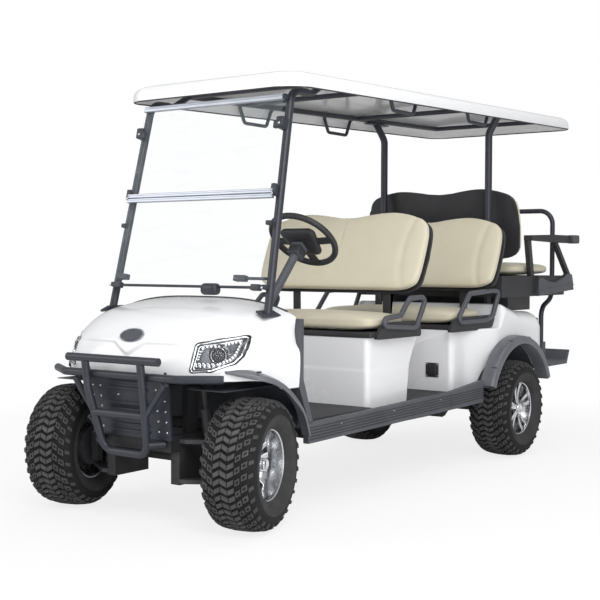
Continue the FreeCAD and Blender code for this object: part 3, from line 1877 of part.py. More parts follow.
def rear_struts():
    """Uprights behind the second row that flare into a tee under the roof rails."""
    y = s.strut_y
    slope = (s.roof_rear_height - s.roof_front_height) / (s.roof_rear - s.roof_front)
    top = rail_line(y) - s.roof_rail_radius - s.seat_clearance - s.strut_tee_half * slope
    run = s.strut_y - s.strut_radius - s.body_shoulder_y
    fall = (s.body_shoulder_height - s.body_deck_height) / (s.body_wall * 40)
    foot = s.body_shoulder_height - fall * run + s.seat_clearance
    radius = s.strut_radius
    leg = [
        (s.strut_x, y, foot),
        (s.strut_x, y, top - s.strut_tee_half),
        (s.roof_rail_x, y, top - s.foot_plate_thickness / 2),
    ]
    tube = tube_shape(side_points(1, leg), radius, s.pillar_bend)
    plate = Part.makeBox(
        float(s.foot_plate_width),
        float(s.strut_tee_half * 2),
        float(s.foot_plate_thickness),
        point(s.roof_rail_x - s.foot_plate_width / 2, behind(y - s.strut_tee_half), top - s.foot_plate_thickness),
    )
    trim = Part.makeBox(
        float(s.strut_tee_half * 2),
        float(s.strut_tee_half * 2),
        float(s.strut_tee_half),
        point(s.roof_rail_x - s.strut_tee_half, behind(y - s.strut_tee_half), top),
    )
    strut = shaped("rear_strut", tube.fuse(plate).cut(trim))
    return [strut, mirrored("rear_strut_mirror", strut)]


def canopy_struts():
    return node(group("strut_group", front_struts() + rear_struts()), "canopy_struts")


# Seat bases and rear body


def seat_pod_front():
    """Hollow front seat base, open at the top under the seat pan."""
    wall = s.body_wall
    half = s.pod_half_width
    outline = [
        (behind(s.pod_front), pod_bottom),
        (behind(s.pod_rear_foot), pod_bottom),
        (behind(s.pod_rear_waist), s.pod_waist_height),
        (behind(s.pod_rear_top), s.pod_top),
        (behind(s.pod_front), s.pod_top),
    ]
    inside = [
        (behind(s.pod_front + wall), pod_bottom + wall),
        (behind(s.pod_rear_foot - wall), pod_bottom + wall),
        (behind(s.pod_rear_waist - wall), s.pod_waist_height),
        (behind(s.pod_rear_waist - wall), s.pod_top + s.overrun),
        (behind(s.pod_front + wall), s.pod_top + s.overrun),
    ]
    outer = side_prism("pod_outer", outline, -half, half)
    inner = side_prism("pod_inner", inside, -half + wall, half - wall)
    return node(cut("pod_shell", outer, [inner]), "seat_pod_front")


def body_profile(wall):
    """Side outline of the rear body, drawn in by a wall for its inside."""
    front = s.pod_front + s.row_pitch
    return [
        (behind(front + wall), pod_bottom + wall),
        (behind(s.floor_rear), pod_bottom + wall),
        (behind(s.body_tail - wall), s.body_tail_bottom + wall),
        (behind(s.body_tail - wall), s.body_deck_height - wall),
        (behind(s.body_shoulder_y + s.body_wall * 40), s.body_deck_height - wall),
        (behind(s.body_shoulder_y + wall), s.body_shoulder_height - wall),
        (behind(s.body_well_rear), s.pod_top - wall),
        (behind(front + wall), s.pod_top - wall),
    ]


def body_plan(wall):
    """Plan outline of the rear body, narrow ahead and swelling over the wheels."""
    front = s.pod_front + s.row_pitch
    right = [
        (s.body_front_half_width - wall, behind(front + wall)),
        (s.body_front_half_width - wall, behind(s.body_swell_start)),
        (s.body_half_width - wall, behind(s.body_swell_end)),
        (s.body_half_width - wall, behind(s.body_tail - s.body_wall * 15)),
        (s.body_tail_half_width - wall, behind(s.body_tail - wall)),
    ]
    return right + [(-x, y) for x, y in reversed(right)]


def rear_body():
    """Second seat base and rear body in one shell, with arches and a seat well."""
    wall = s.body_wall
    half = s.body_half_width
    low, high = pod_bottom, s.body_shoulder_height
    outer = common(
        "body_outer",
        side_prism("body_side", body_profile(zero), -half, half),
        plan_prism("body_top", body_plan(zero), low - s.overrun, high + s.overrun),
    )
    inner = common(
        "body_inner",
        side_prism("body_side_in", body_profile(wall), -half + wall, half - wall),
        plan_prism("body_top_in", body_plan(wall), low, high),
    )
    front = s.pod_front + s.row_pitch
    well = block(
        "body_well",
        (-s.pod_half_width + wall * 2, s.pod_half_width - wall * 2),
        (behind(front + wall * 2), behind(s.body_well_rear - wall * 6)),
        (s.pod_top - s.overrun, s.pod_top + s.overrun),
    )
    belly = block(
        "body_belly",
        (-s.rear_arch_inner, s.rear_arch_inner),
        (behind(s.floor_rear + wall), behind(s.body_tail - wall)),
        (low - s.overrun, s.body_tail_bottom + s.overrun * 2),
    )
    tools = [inner, well, belly]
    for name, side in SIDES.items():
        x = s.rear_arch_inner if side > 0 else -s.rear_arch_inner - half
        tools.append(
            rod(
                "body_arch_" + name,
                "x",
                s.rear_arch_radius + s.liner_thickness + s.seat_clearance,
                half,
                x,
                rear_axle,
                hub_height,
            )
        )
    socket_half = s.socket_size / 2
    tools.append(
        block(
            "body_socket_recess",
            (s.socket_x - socket_half, s.socket_x + socket_half),
            (behind(front) - s.overrun, behind(front) + wall / 2),
            (s.socket_height - socket_half, s.socket_height + socket_half),
        )
    )
    return node(cut("body_shell", outer, tools), "rear_body")


def tail_lamps():
    """Upright lamp units on the body's rear face."""
    y = behind(s.body_tail) + s.seat_clearance
    lamp = block(
        "tail_lamp",
        (s.tail_lamp_x - s.tail_lamp_width, s.tail_lamp_x + s.tail_lamp_width),
        (y, y + s.tail_lamp_width),
        (s.tail_lamp_bottom, s.tail_lamp_bottom + s.tail_lamp_height),
    )
    return [lamp, mirrored("tail_lamp_mirror", lamp)]


def lamps():
    return node(group("lamp_group", headlights() + tail_lamps()), "lamps")


# Seats


def seat_pan(label, row):
    """Black moulded pan with the hinge barrels at its front edge."""
    front = s.pod_front + s.row_pitch * row
    low = s.pod_top + s.seat_clearance
    pan = block(
        label + "_tray",
        (-s.pan_half_width, s.pan_half_width),
        (behind(front - s.pan_lead), behind(front - s.pan_lead + s.pan_depth)),
        (low, low + s.pan_thickness),
    )
    return node(pan, label)


def seat_cushion(label, row):
    front = s.pod_front + s.row_pitch * row - s.cushion_lead
    low = s.pod_top + s.pan_thickness + s.seat_clearance * 2
    high = low + s.cushion_height
    rear = front + s.cushion_depth
    edge = s.cushion_round
    outline = [
        (behind(front + edge / 3), low),
        (behind(rear), low),
        (behind(rear), high - edge),
        (behind(rear - edge), high),
        (behind(front + edge), high),
        (behind(front), high - edge),
        (behind(front), low + edge / 3),
    ]
    half = s.cushion_half_width
    return node(side_prism(label, outline, -half, half), label)


def back_outline(half, height, dip, inset):
    """Front view of a backrest: two humps with a dip between, round shoulders."""
    half = half - inset
    top = height - inset
    right = [
        (half * 0.2, top - dip * 0.7),
        (half * 0.47, top),
        (half * 0.72, top - dip * 0.5),
        (half * 0.9, top - dip * 2.2),
        (half * 0.985, top - dip * 5),
        (half, top * 0.45),
        (half * 0.985, inset + dip * 2.6),
        (half * 0.93, inset + dip * 0.9),
        (half * 0.78, inset),
    ]
    left = [(-x, z) for x, z in reversed(right)]
    return right + left + [(zero, top - dip)]


def backrest(names, half, height, foot_y, foot_height, lean):
    """A cushion and its shell, leaned about the foot; a positive lean goes rearwards."""
    facing = 1 if lean.value > 0 else -1
    thick = s.back_thickness
    shell = s.back_shell
    pieces = []
    if facing > 0:
        spans = ((-thick, zero), (s.seat_clearance, shell))
    else:
        spans = ((zero, thick), (-shell, -s.seat_clearance))
    insets = (s.back_shell / 2, zero)
    for name, (low, high), inset in zip(names, spans, insets):
        outline = back_outline(half, height, s.back_dip, inset)
        body = front_prism(name, outline, low, high)
        body.Placement.Rotation = FreeCAD.Rotation(Vector(1, 0, 0), -lean.value)
        locate(body, zero, behind(foot_y), foot_height)
        pieces.append(body)
    return pieces


def backrests():
    """All three backrests: their cushions in one node, shells and posts in another."""
    rows = []
    for row in (0, 1):
        rows.append(
            backrest(
                (f"back_cushion_{row}", f"back_shell_{row}"),
                s.back_half_width,
                s.back_height,
                s.back_foot_y + s.row_pitch * row,
                s.back_foot_height,
                s.back_recline_deg,
            )
        )
    rows.append(
        backrest(
            ("back_cushion_rear", "back_shell_rear"),
            s.rear_back_half_width,
            s.rear_back_height,
            s.rear_back_foot_y,
            s.rear_back_foot_height,
            -s.rear_back_recline_deg,
        )
    )
    posts = back_posts()
    rear_posts = bench_back_posts()
    shells = [
        fuse(f"back_frame_{row}", [rows[row][1]] + posts[row * 2 : row * 2 + 2])
        for row in (0, 1)
    ]
    node(group("cushion_group", [row[0] for row in rows]), "backrest_cushions")
    shells.append(fuse("back_frame_rear", [rows[2][1]] + rear_posts))
    node(group("shell_group", shells), "backrest_shells")


def back_posts():
    """Flat steel posts that carry the first two backrests."""
    parts = []
    lean = math.tan(math.radians(s.back_recline_deg.value))
    for row in (0, 1):
        foot = s.pod_rear_waist + s.row_pitch * row
        shell_y = s.back_foot_y + s.row_pitch * row + s.back_shell
        outline_low = s.pod_top + s.seat_clearance
        turn = s.back_foot_height + s.post_width
        top = s.back_foot_height + s.back_height * 0.4
        away = -s.back_shell * 0.5
        ahead = [
            (behind(foot), outline_low),
            (behind(foot + s.post_thickness), outline_low),
            (behind(shell_y + away + s.post_thickness + s.post_width * lean), turn),
            (behind(shell_y + away + s.post_thickness) + (top - s.back_foot_height) * lean, top),
            (behind(shell_y + away) + (top - s.back_foot_height) * lean, top),
            (behind(shell_y + away + s.post_width * lean), turn),
        ]
        post = side_prism(
            f"post_{row}", ahead, s.post_x - s.post_width / 2, s.post_x + s.post_width / 2
        )
        parts += [post, mirrored(f"post_{row}_mirror", post)]
    return parts


def bench_back_posts():
    """Flat posts that stand the rear-facing backrest on its box."""
    lean = math.tan(math.radians(s.rear_back_recline_deg.value))
    top = s.rear_back_foot_height + s.rear_back_height * 0.4
    low = s.bench_top + s.seat_clearance
    turn = s.rear_back_foot_height + s.post_width
    face = behind(s.rear_back_foot_y - s.back_shell / 2)
    outline = [
        (face - s.post_thickness, low),
        (face, low),
        (face - s.post_width * lean, turn),
        (face - (top - s.rear_back_foot_height) * lean, top),
        (face - s.post_thickness - (top - s.rear_back_foot_height) * lean, top),
        (face - s.post_thickness - s.post_width * lean, turn),
    ]
    post = side_prism(
        "bench_post", outline, s.post_x - s.post_width / 2, s.post_x + s.post_width / 2
    )
    return [post, mirrored("bench_post_mirror", post)]


ARM_FRONT_Y_SHARES = (0.092, 0.108, 0.283, 0.335, 0.39, 0.538, 0.562, 0.47, 0.426)
ARM_FRONT_Z_SHARES = (0.77, 1.32, 1.46, 2.1, 2.62, 2.64, 2.3, 0.66, 0.5)
ARM_MIDDLE_Y_SHARES = (-0.03, 0.153, 0.487, 0.578, 0.487, 0.37)
ARM_MIDDLE_Z_SHARES = (0.6, 2.75, 2.92, 2.85, 0.92, 0.62)


def armrest_pair(name, row, y_shares, z_shares):
    """Bent tube loops on skirts at the ends of a seat base."""
    front = s.pod_front + s.row_pitch * row
    unit = s.skirt_top - s.pod_top
    corners = [
        (s.armrest_x, front + s.row_pitch * y, s.pod_top + unit * z)
        for y, z in zip(y_shares, z_shares)
    ]
    loop = tube_shape(side_points(1, corners), s.armrest_radius, s.armrest_bend, True)
    inner = s.pan_half_width + s.panel_gap * 1.5
    drop = s.seat_clearance if row else -s.skirt_drop * 2
    skirt = Part.makePolygon(
        [
            point(inner, behind(front + s.row_pitch * y), z)
            for y, z in (
                (y_shares[0] - 0.03, s.pod_top + drop),
                (y_shares[-1] + 0.07, s.pod_top + drop),
                (y_shares[-1] + 0.07, s.skirt_top - s.skirt_drop),
                (y_shares[-1] - 0.06, s.skirt_top),
                (y_shares[0] + 0.05, s.skirt_top),
                (y_shares[0] - 0.03, s.pod_top + s.skirt_drop),
                (y_shares[0] - 0.03, s.pod_top + drop),
            )
        ]
    )
    plate = Part.Face(skirt).extrude(Vector(float(s.skirt_thickness), 0, 0))
    foot = Part.makeBox(
        float(inner - s.pod_half_width - s.seat_clearance + s.panel_gap),
        float(s.row_pitch * (y_shares[-1] - y_shares[0])),
        float(s.skirt_drop),
        point(
            s.pod_half_width + s.seat_clearance,
            behind(front + s.row_pitch * y_shares[0]),
            s.pod_top - s.skirt_drop - s.seat_clearance,
        ),
    )
    arm = loop.fuse(plate) if row else loop.fuse(plate).fuse(foot)
    arm = shaped(name, arm.removeSplitter())
    return [arm, mirrored(name + "_mirror", arm)]


def armrests():
    first = armrest_pair("armrest_front", 0, ARM_FRONT_Y_SHARES, ARM_FRONT_Z_SHARES)
    second = armrest_pair("armrest_middle", 1, ARM_MIDDLE_Y_SHARES, ARM_MIDDLE_Z_SHARES)
    return node(group("armrest_group", first + second), "armrests")


# Rear-facing bench


def bench_base():
    """Box under the rear-facing seat, with wavy side skirts."""
    half = s.bench_half_width
    tray = block(
        "bench_tray",
        (-half, half),
        (behind(s.bench_front), behind(s.bench_rear)),
        (s.bench_bottom, s.bench_top),
    )
    legs = block(
        "bench_foot",
        (-s.rail_outer * 2, s.rail_outer * 2),
        (behind(s.body_shoulder_y + s.body_wall * 41), behind(s.body_tail - s.body_wall * 2)),
        (s.body_deck_height + s.seat_clearance, s.bench_bottom),
    )
    rise = s.bench_top - s.bench_bottom
    span = s.bench_skirt_rear - s.bench_skirt_front
    outline = [
        (behind(s.bench_skirt_front), s.bench_bottom),
        (behind(s.bench_skirt_rear), s.bench_bottom + rise * 0.25),
        (behind(s.bench_skirt_rear - span * 0.05), s.bench_top + rise * 0.05),
        (behind(s.bench_skirt_rear - span * 0.2), s.bench_top + rise * 0.1),
        (behind(s.bench_skirt_rear - span * 0.36), s.bench_top - rise * 0.25),
        (behind(s.bench_skirt_rear - span * 0.55), s.bench_top - rise * 0.38),
        (behind(s.bench_skirt_rear - span * 0.8), s.bench_top - rise * 0.25),
        (behind(s.bench_skirt_front), s.bench_top),
    ]
    skirt = side_prism("bench_skirt", outline, half, s.bench_skirt_outer)
    whole = fuse("bench_whole", [tray, legs, skirt, mirrored("bench_skirt_mirror", skirt)])
    slots = [
        rod(
            "bench_slot_" + name,
            "z",
            s.strut_radius + s.panel_gap / 2,
            rise + s.overrun * 2,
            side * s.strut_x,
            behind(s.strut_y),
            s.bench_bottom - s.overrun,
        )
        for name, side in SIDES.items()
    ]
    return node(cut("bench_box", whole, slots), "bench_base")


def bench_cushion():
    front = s.bench_cushion_front
    low = s.bench_top + s.seat_clearance
    high = low + s.bench_cushion_height
    rear = front + s.bench_cushion_depth
    edge = s.cushion_round
    outline = [
        (behind(front), low),
        (behind(rear - edge / 3), low),
        (behind(rear), low + edge / 3),
        (behind(rear), high - edge),
        (behind(rear - edge), high),
        (behind(front + edge), high),
        (behind(front), high - edge),
    ]
    half = s.cushion_half_width
    return node(side_prism("bench_cushion", outline, -half, half), "bench_cushion")


BENCH_LEG_FRONT_SHARES = (0.0, 0.075)
BENCH_LEG_REAR_SHARES = (0.57, 0.92)


def bench_armrests():
    """Pads on two splayed legs at each end of the rear bench."""
    front = s.bench_arm_pad_front
    length = s.bench_arm_pad_length
    low = s.bench_arm_pad_bottom
    high = low + s.bench_arm_pad_thickness
    inner = s.bench_half_width - s.bench_arm_leg_thickness
    outer = inner + s.bench_arm_pad_width
    pad = side_prism(
        "bench_pad",
        [
            (behind(front), low + s.bench_arm_pad_thickness * 0.2),
            (behind(front + length * 0.7), low),
            (behind(front + length), low),
            (behind(front + length), high),
            (behind(front + length * 0.5), high),
            (behind(front), high - s.bench_arm_pad_thickness * 0.2),
        ],
        inner,
        outer,
    )
    parts = [pad]
    wide = s.bench_arm_leg_width
    for name, (top, foot) in (
        ("front", BENCH_LEG_FRONT_SHARES),
        ("rear", BENCH_LEG_REAR_SHARES),
    ):
        outline = [
            (behind(front + length * foot), s.bench_top + s.seat_clearance),
            (behind(front + length * foot) + wide, s.bench_top + s.seat_clearance),
            (behind(front + length * top) + wide, high - s.bench_arm_pad_thickness / 2),
            (behind(front + length * top), high - s.bench_arm_pad_thickness / 2),
        ]
        parts.append(
            side_prism("bench_leg_" + name, outline, inner, inner + s.bench_arm_leg_thickness)
        )
    return node(pair("bench_arm_pair", fuse("bench_arm", parts)), "bench_armrests")


def grab_hoop():
    """Safety hoop behind the rear bench, down to the foot platform's frame."""
    half = s.hoop_half_width
    corners = [
        (half, s.hoop_foot_y, s.hoop_foot_height),
        (half, s.hoop_foot_y, s.body_deck_height),
        (half, s.hoop_rear, s.hoop_knee_height),
        (half, s.hoop_rear, s.hoop_top_height),
    ]
    left = side_points(1, corners)
    right = side_points(-1, corners)
    shape = tube_shape(left + right[::-1], s.hoop_radius, s.hoop_bend)
    return node(shaped("hoop_tube", shape), "grab_hoop")


def foot_platform():
    """Rear foot tray on two arms from the chassis rails."""
    half = s.footplate_half_width
    low = s.footplate_height
    high = low + s.footplate_thickness
    lip = s.footplate_lip
    outline = [
        (behind(s.footplate_front), low),
        (behind(s.footplate_rear - lip / 2), low),
        (behind(s.footplate_rear), low + lip),
        (behind(s.footplate_rear) - s.footplate_thickness, low + lip),
        (behind(s.footplate_rear - lip / 2) - s.footplate_thickness / 2, high),
        (behind(s.footplate_front), high),
    ]
    parts = [side_prism("foot_tray", outline, -half, half)]
    for name, side in SIDES.items():
        inner, outer = s.rail_inner, s.rail_outer
        span = (inner, outer) if side > 0 else (-outer, -inner)
        x0 = s.hoop_half_width - s.hoop_radius * 1.5
        x1 = s.hoop_half_width + s.hoop_radius * 1.5
        post = (x0, x1) if side > 0 else (-x1, -x0)
        parts.append(
            block(
                "foot_arm_" + name,
                span,
                (behind(s.rail_rear + s.seat_clearance), behind(s.footplate_rear - lip)),
                (s.rail_bottom, low),
            )
        )
        parts.append(
            block(
                "hoop_post_" + name,
                post,
                (
                    behind(s.hoop_foot_y) - s.hoop_radius * 1.5,
                    behind(s.hoop_foot_y) + s.hoop_radius * 1.5,
                ),
                (low, s.hoop_foot_height - s.seat_clearance),
            )
        )
    return node(fuse("foot_whole", parts), "foot_platform")


# Steering wheel, column and pedals


def column_place(feature):
    """Lean a piece that is drawn upright back along the steering column."""
    feature.Placement.Rotation = FreeCAD.Rotation(Vector(1, 0, 0), -s.column_lean_deg.value)
    return locate(feature, s.wheel_x, behind(s.wheel_y), s.wheel_height)


RING_SIDES = 24


def steering_wheel():
    around = ring_points(Vector(), Vector(0, 0, 1), float(s.wheel_ring_radius), RING_SIDES)
    ring = shaped("wheel_ring", tube_shape(around, s.wheel_grip_radius, s.clamp_size, True))
    pad = flat_bar(
        "wheel_pad",
        "z",
        s.wheel_pad_radius,
        s.wheel_pad_thickness,
        zero,
        zero,
        -s.wheel_pad_thickness,
        BAR_SIDES,
    )
    half = s.wheel_spoke_width / 2
    reach = s.wheel_ring_radius
    low = -s.wheel_pad_thickness / 2
    spokes = [
        block("wheel_spoke_cross", (-reach, reach), (-half, half), (low, low + s.wheel_spoke_thickness)),
        block("wheel_spoke_low", (-half, half), (zero, reach), (low, low + s.wheel_spoke_thickness)),
    ]
    shaft_low = -s.column_gap - s.clamp_length
    shaft = rod("wheel_shaft", "z", s.shaft_radius, -shaft_low, zero, zero, shaft_low)
    whole = fuse("wheel_whole", [ring, pad, shaft] + spokes)
    return node(column_place(whole), "steering_wheel")


def steering_column():
    """Column tube with its clamp block, bored for the wheel's shaft."""
    top = -s.column_gap
    tube = rod(
        "column_tube", "z", s.column_radius, s.column_length, zero, zero, top - s.column_length
    )
    half = s.clamp_size / 2
    clamp = block(
        "column_clamp",
        (-half, half),
        (-half, half),
        (top - s.clamp_length, top),
    )
    depth = s.clamp_length + s.overrun
    bore = rod(
        "column_bore",
        "z",
        s.shaft_radius + s.running_clearance,
        depth + s.overrun,
        zero,
        zero,
        top - depth,
    )
    whole = cut("column_whole", fuse("column_body", [tube, clamp]), [bore])
    return column_place(whole)


def pedals():
    """Brake and accelerator plates on their stems."""
    parts = []
    lean = FreeCAD.Rotation(Vector(1, 0, 0), s.pedal_lean_deg.value)
    for index, name in enumerate(("accelerator", "brake")):
        x = s.pedal_x + s.pedal_pitch * index
        plate = Part.makeBox(
            float(s.pedal_width),
            float(s.pedal_thickness),
            float(s.pedal_height),
            Vector(-float(s.pedal_width) / 2, 0, -float(s.pedal_height) / 2),
        )
        run = float(s.pedal_y - s.toe_knee_y - s.floor_thickness * 1.6)
        stem = tube_shape([Vector(0, -run, 0), Vector()], s.pedal_stem_radius, zero)
        plate.rotate(Vector(), Vector(1, 0, 0), s.pedal_lean_deg.value)
        unit = plate.fuse(stem)
        unit.translate(point(x, behind(s.pedal_y), s.pedal_level))
        parts.append(shaped(name, unit))
    return parts


def driver_controls():
    """The column and the two pedals, all fixed to the dash and the toe board."""
    return node(group("control_group", [steering_column()] + pedals()), "driver_controls")


for side_name, sign in SIDES.items():
    letter = side_name[0]
    tyre("tyre_f" + letter, sign, "front")
    rim("rim_f" + letter, sign, "front")
    tyre("tyre_r" + letter, sign, "rear")
    rim("rim_r" + letter, sign, "rear")
    knuckle("knuckle_" + side_name, sign)
suspension()
tie_rod()
chassis_frame()
rear_axle_beam()
battery_pack()
floor_pan()
floor_mats()
body_trims()
front_cowl()
lamps()
inner_panels()
wheel_flares()
dash_panel()
brush_guard()
canopy_struts()
windshield_panes()
windshield_rails()
roof_shell()
roof_frame()
seat_pod_front()
rear_body()
for row_index, row_name in enumerate(("front", "middle")):
    seat_pan("seat_pan_" + row_name, row_index)
    seat_cushion("seat_cushion_" + row_name, row_index)
backrests()
armrests()
bench_base()
bench_cushion()
bench_armrests()
grab_hoop()
foot_platform()
steering_wheel()
driver_controls()

doc.recompute()
faults = []
for item in doc.Objects:
    if "Invalid" in item.State or "Error" in item.State:
        faults.append(f"{item.Label}: {item.State}")
for item in nodes:
    if item.Shape.isNull() or not item.Shape.isValid():
        faults.append(f"{item.Label}: bad shape")
if faults:
    raise RuntimeError("; ".join(faults))
os.makedirs("parts", exist_ok=True)
for item in nodes:
    item.Shape.exportStep(f"parts/{item.Label}.step")
    box = item.Shape.BoundBox
    print(f"{item.Label}: {len(item.Shape.Solids)} solids, {item.Shape.Volume / 1e6:.2f} litres, z {box.ZMin:.0f} to {box.ZMax:.0f}")
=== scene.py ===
"""A four-wheeled electric golf cart with three rows of seats, dressed for its photograph."""

import json
import logging
import math
from dataclasses import dataclass, field
from enum import Enum
from functools import cache
from typing import Callable, Dict, Iterable, List, Optional, Sequence, Tuple, Union

import bmesh
import bpy
import numpy as np
from mathutils import Euler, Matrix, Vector

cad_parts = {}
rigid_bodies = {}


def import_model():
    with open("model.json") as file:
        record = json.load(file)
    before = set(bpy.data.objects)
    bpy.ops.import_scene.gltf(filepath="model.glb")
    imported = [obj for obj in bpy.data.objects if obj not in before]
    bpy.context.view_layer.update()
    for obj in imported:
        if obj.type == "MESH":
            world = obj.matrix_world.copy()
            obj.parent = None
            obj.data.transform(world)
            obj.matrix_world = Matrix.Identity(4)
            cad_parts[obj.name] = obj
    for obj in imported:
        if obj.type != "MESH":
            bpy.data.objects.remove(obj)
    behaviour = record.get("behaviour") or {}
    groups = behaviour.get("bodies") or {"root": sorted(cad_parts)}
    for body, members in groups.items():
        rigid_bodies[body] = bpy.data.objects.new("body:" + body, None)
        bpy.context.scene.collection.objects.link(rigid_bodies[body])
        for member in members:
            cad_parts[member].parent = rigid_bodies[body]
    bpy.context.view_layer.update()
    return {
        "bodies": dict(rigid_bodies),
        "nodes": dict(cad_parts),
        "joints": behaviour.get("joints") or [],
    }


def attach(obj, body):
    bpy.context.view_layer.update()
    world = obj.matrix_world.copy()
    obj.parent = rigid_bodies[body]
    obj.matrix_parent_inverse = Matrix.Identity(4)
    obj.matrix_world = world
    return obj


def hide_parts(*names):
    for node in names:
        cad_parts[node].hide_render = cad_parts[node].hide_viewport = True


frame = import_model()

log = logging.getLogger("cart")
logging.basicConfig(level=logging.INFO, format="%(message)s")

Colour = Tuple[float, float, float, float]
Number = Union[int, float]
Array = np.ndarray
Thing = bpy.types.Object
Pairs = Sequence[Tuple[float, float]]

FRONT_AXLE = -1.6245
WHEELBASE = 2520
HUB_HEIGHT = 0.2875

ACROSS = np.array([1.0, 0.0, 0.0])
BACK = np.array([0.0, 1.0, 0.0])
UP = np.array([0.0, 0.0, 1.0])
AHEAD = np.array([0, -1, 0])
SIDES = (-1, 1)


def rgb(red: float, green: float, blue: float) -> Colour:
    """An opaque colour from three linear shares."""
    return (red, green, blue, 1.0)


def row(y: Number) -> float:
    """Metres along the cart from millimetres behind the front axle."""
    return float(y) / 1000.0 + FRONT_AXLE


def vec(x: Number, y: Number, z: Number) -> Array:
    """A place in metres from millimetres across, behind the front axle and up."""
    return np.array([float(x) / 1000.0, row(y), float(z) / 1000.0])


# Shader expressions


class Node:
    """Wraps a shader socket so that Python expressions build the node tree."""

    def __init__(self, tree: bpy.types.NodeTree, socket: bpy.types.NodeSocket) -> None:
        """Keeps the tree and the socket that carries the value."""
        self.tree = tree
        self.socket = socket

    def math(self, operation: str, *others: "Term") -> "Node":
        """Adds one Math node.

        Args:
            operation: the Math node's operation.
            others: the values after this one.

        Returns:
            The result.
        """
        node = self.tree.nodes.new("ShaderNodeMath")
        node.operation = operation
        for place, value in enumerate((self, *others)):
            if isinstance(value, Node):
                self.tree.links.new(value.socket, node.inputs[place])
            else:
                node.inputs[place].default_value = float(value)
        return Node(self.tree, node.outputs[0])

    def __add__(self, other: "Term") -> "Node":
        """Sum."""
        return self.math("ADD", other)

    __radd__ = __add__

    def __sub__(self, other: "Term") -> "Node":
        """Difference."""
        return self.math("SUBTRACT", other)

    def __rsub__(self, other: Number) -> "Node":
        """Reflected difference."""
        return self.math("MULTIPLY", -1.0).math("ADD", other)

    def __mul__(self, other: "Term") -> "Node":
        """Product."""
        return self.math("MULTIPLY", other)

    __rmul__ = __mul__

    def __truediv__(self, other: "Term") -> "Node":
        """Quotient."""
        return self.math("DIVIDE", other)

    def __pow__(self, other: "Term") -> "Node":
        """Power."""
        return self.math("POWER", other)

    def clamp(self) -> "Node":
        """Holds the value between nought and one."""
        return self.math("MINIMUM", 1.0).math("MAXIMUM", 0.0)

    def step(self, low: float, high: float) -> "Node":
        """A smooth rise from nought at low to one at high."""
        share = ((self - low) / (high - low)).clamp()
        return share * share * (3.0 - 2.0 * share)


Term = Union[Node, int, float]


class Finish:
    """A material under construction, with one principled shader."""

    def __init__(self, name: str) -> None:
        """Makes the material and its shader.

        Args:
            name: the material's name.
        """
        self.material = bpy.data.materials.new(name)
        self.material.use_nodes = True
        self.tree = self.material.node_tree
        self.shader = self.tree.nodes["Principled BSDF"]
        self.output = self.tree.nodes["Material Output"]

    def add(
        self,
        kind: str,
        settings: Optional[Dict[str, object]] = None,
        inputs: Optional[Dict[Union[str, int], object]] = None,
        output: Union[str, int] = 0,
    ) -> Node:
        """Adds any node.

        Args:
            kind: the node's type after ShaderNode.
            settings: attributes of the node.
            inputs: values or links by socket name or number.
            output: the socket that is returned.

        Returns:
            The wrapped output socket.
        """
        node = self.tree.nodes.new("ShaderNode" + kind)
        for key, value in (settings or {}).items():
            setattr(node, key, value)
        for key, value in (inputs or {}).items():
            socket = node.inputs[key]
            if isinstance(value, Node):
                self.tree.links.new(value.socket, socket)
            else:
                socket.default_value = value
        return Node(self.tree, node.outputs[output])

    def place(self) -> Node:
        """The object coordinates."""
        return self.add("TexCoord", output="Object")

    def across(self) -> Tuple[Node, Node, Node]:
        """Splits the object coordinates.

        Returns:
            The three coordinates as numbers.
        """
        split = self.add("SeparateXYZ", inputs={0: self.place()})
        outs = split.socket.node.outputs
        return tuple(Node(self.tree, outs[i]) for i in range(3))

    def stretched(self, x: float, y: float, z: float) -> Node:
        """Object coordinates scaled along each axis."""
        return self.add("Mapping", inputs={"Vector": self.place(), "Scale": (x, y, z)})

    def noise(self, scale: float, detail: float = 3.0, where: Optional[Node] = None) -> Node:
        """Cloudy noise between nought and one."""
        inputs = {"Vector": where or self.place(), "Scale": scale, "Detail": detail}
        return self.add("TexNoise", inputs=inputs)

    def cells(self, scale: float, feature: str = "F1") -> Node:
        """Distance to the nearest of scattered points."""
        inputs = {"Vector": self.place(), "Scale": scale}
        return self.add("TexVoronoi", {"feature": feature}, inputs, "Distance")

    def mix(self, factor: Term, first: object, second: object) -> Node:
        """Blends two colours.

        Args:
            factor: share of the second colour.
            first: the colour at nought.
            second: the colour at one.

        Returns:
            The blended colour.
        """
        node = self.tree.nodes.new("ShaderNodeMix")
        node.data_type = "RGBA"
        for place, value in ((0, factor), (6, first), (7, second)):
            if isinstance(value, Node):
                self.tree.links.new(value.socket, node.inputs[place])
            else:
                node.inputs[place].default_value = value
        return Node(self.tree, node.outputs[2])

    def bump(self, height: Node, strength: float, distance: float) -> "Finish":
        """Feeds a height into the shader's normal.

        Args:
            height: the height.
            strength: share of it that shows.
            distance: depth in metres.

        Returns:
            The finish.
        """
        bump = self.add("Bump", inputs={"Height": height, "Strength": strength, "Distance": distance})
        self.tree.links.new(bump.socket, self.shader.inputs["Normal"])
        return self

    def set(self, **values: object) -> "Finish":
        """Sets or links the shader's sockets.

        Args:
            values: values or links by socket name, with underscores for spaces.

        Returns:
            The finish.
        """
        for key, value in values.items():
            socket = self.shader.inputs[key.replace("_", " ")]
            if isinstance(value, Node):
                self.tree.links.new(value.socket, socket)
            else:
                socket.default_value = value
        return self


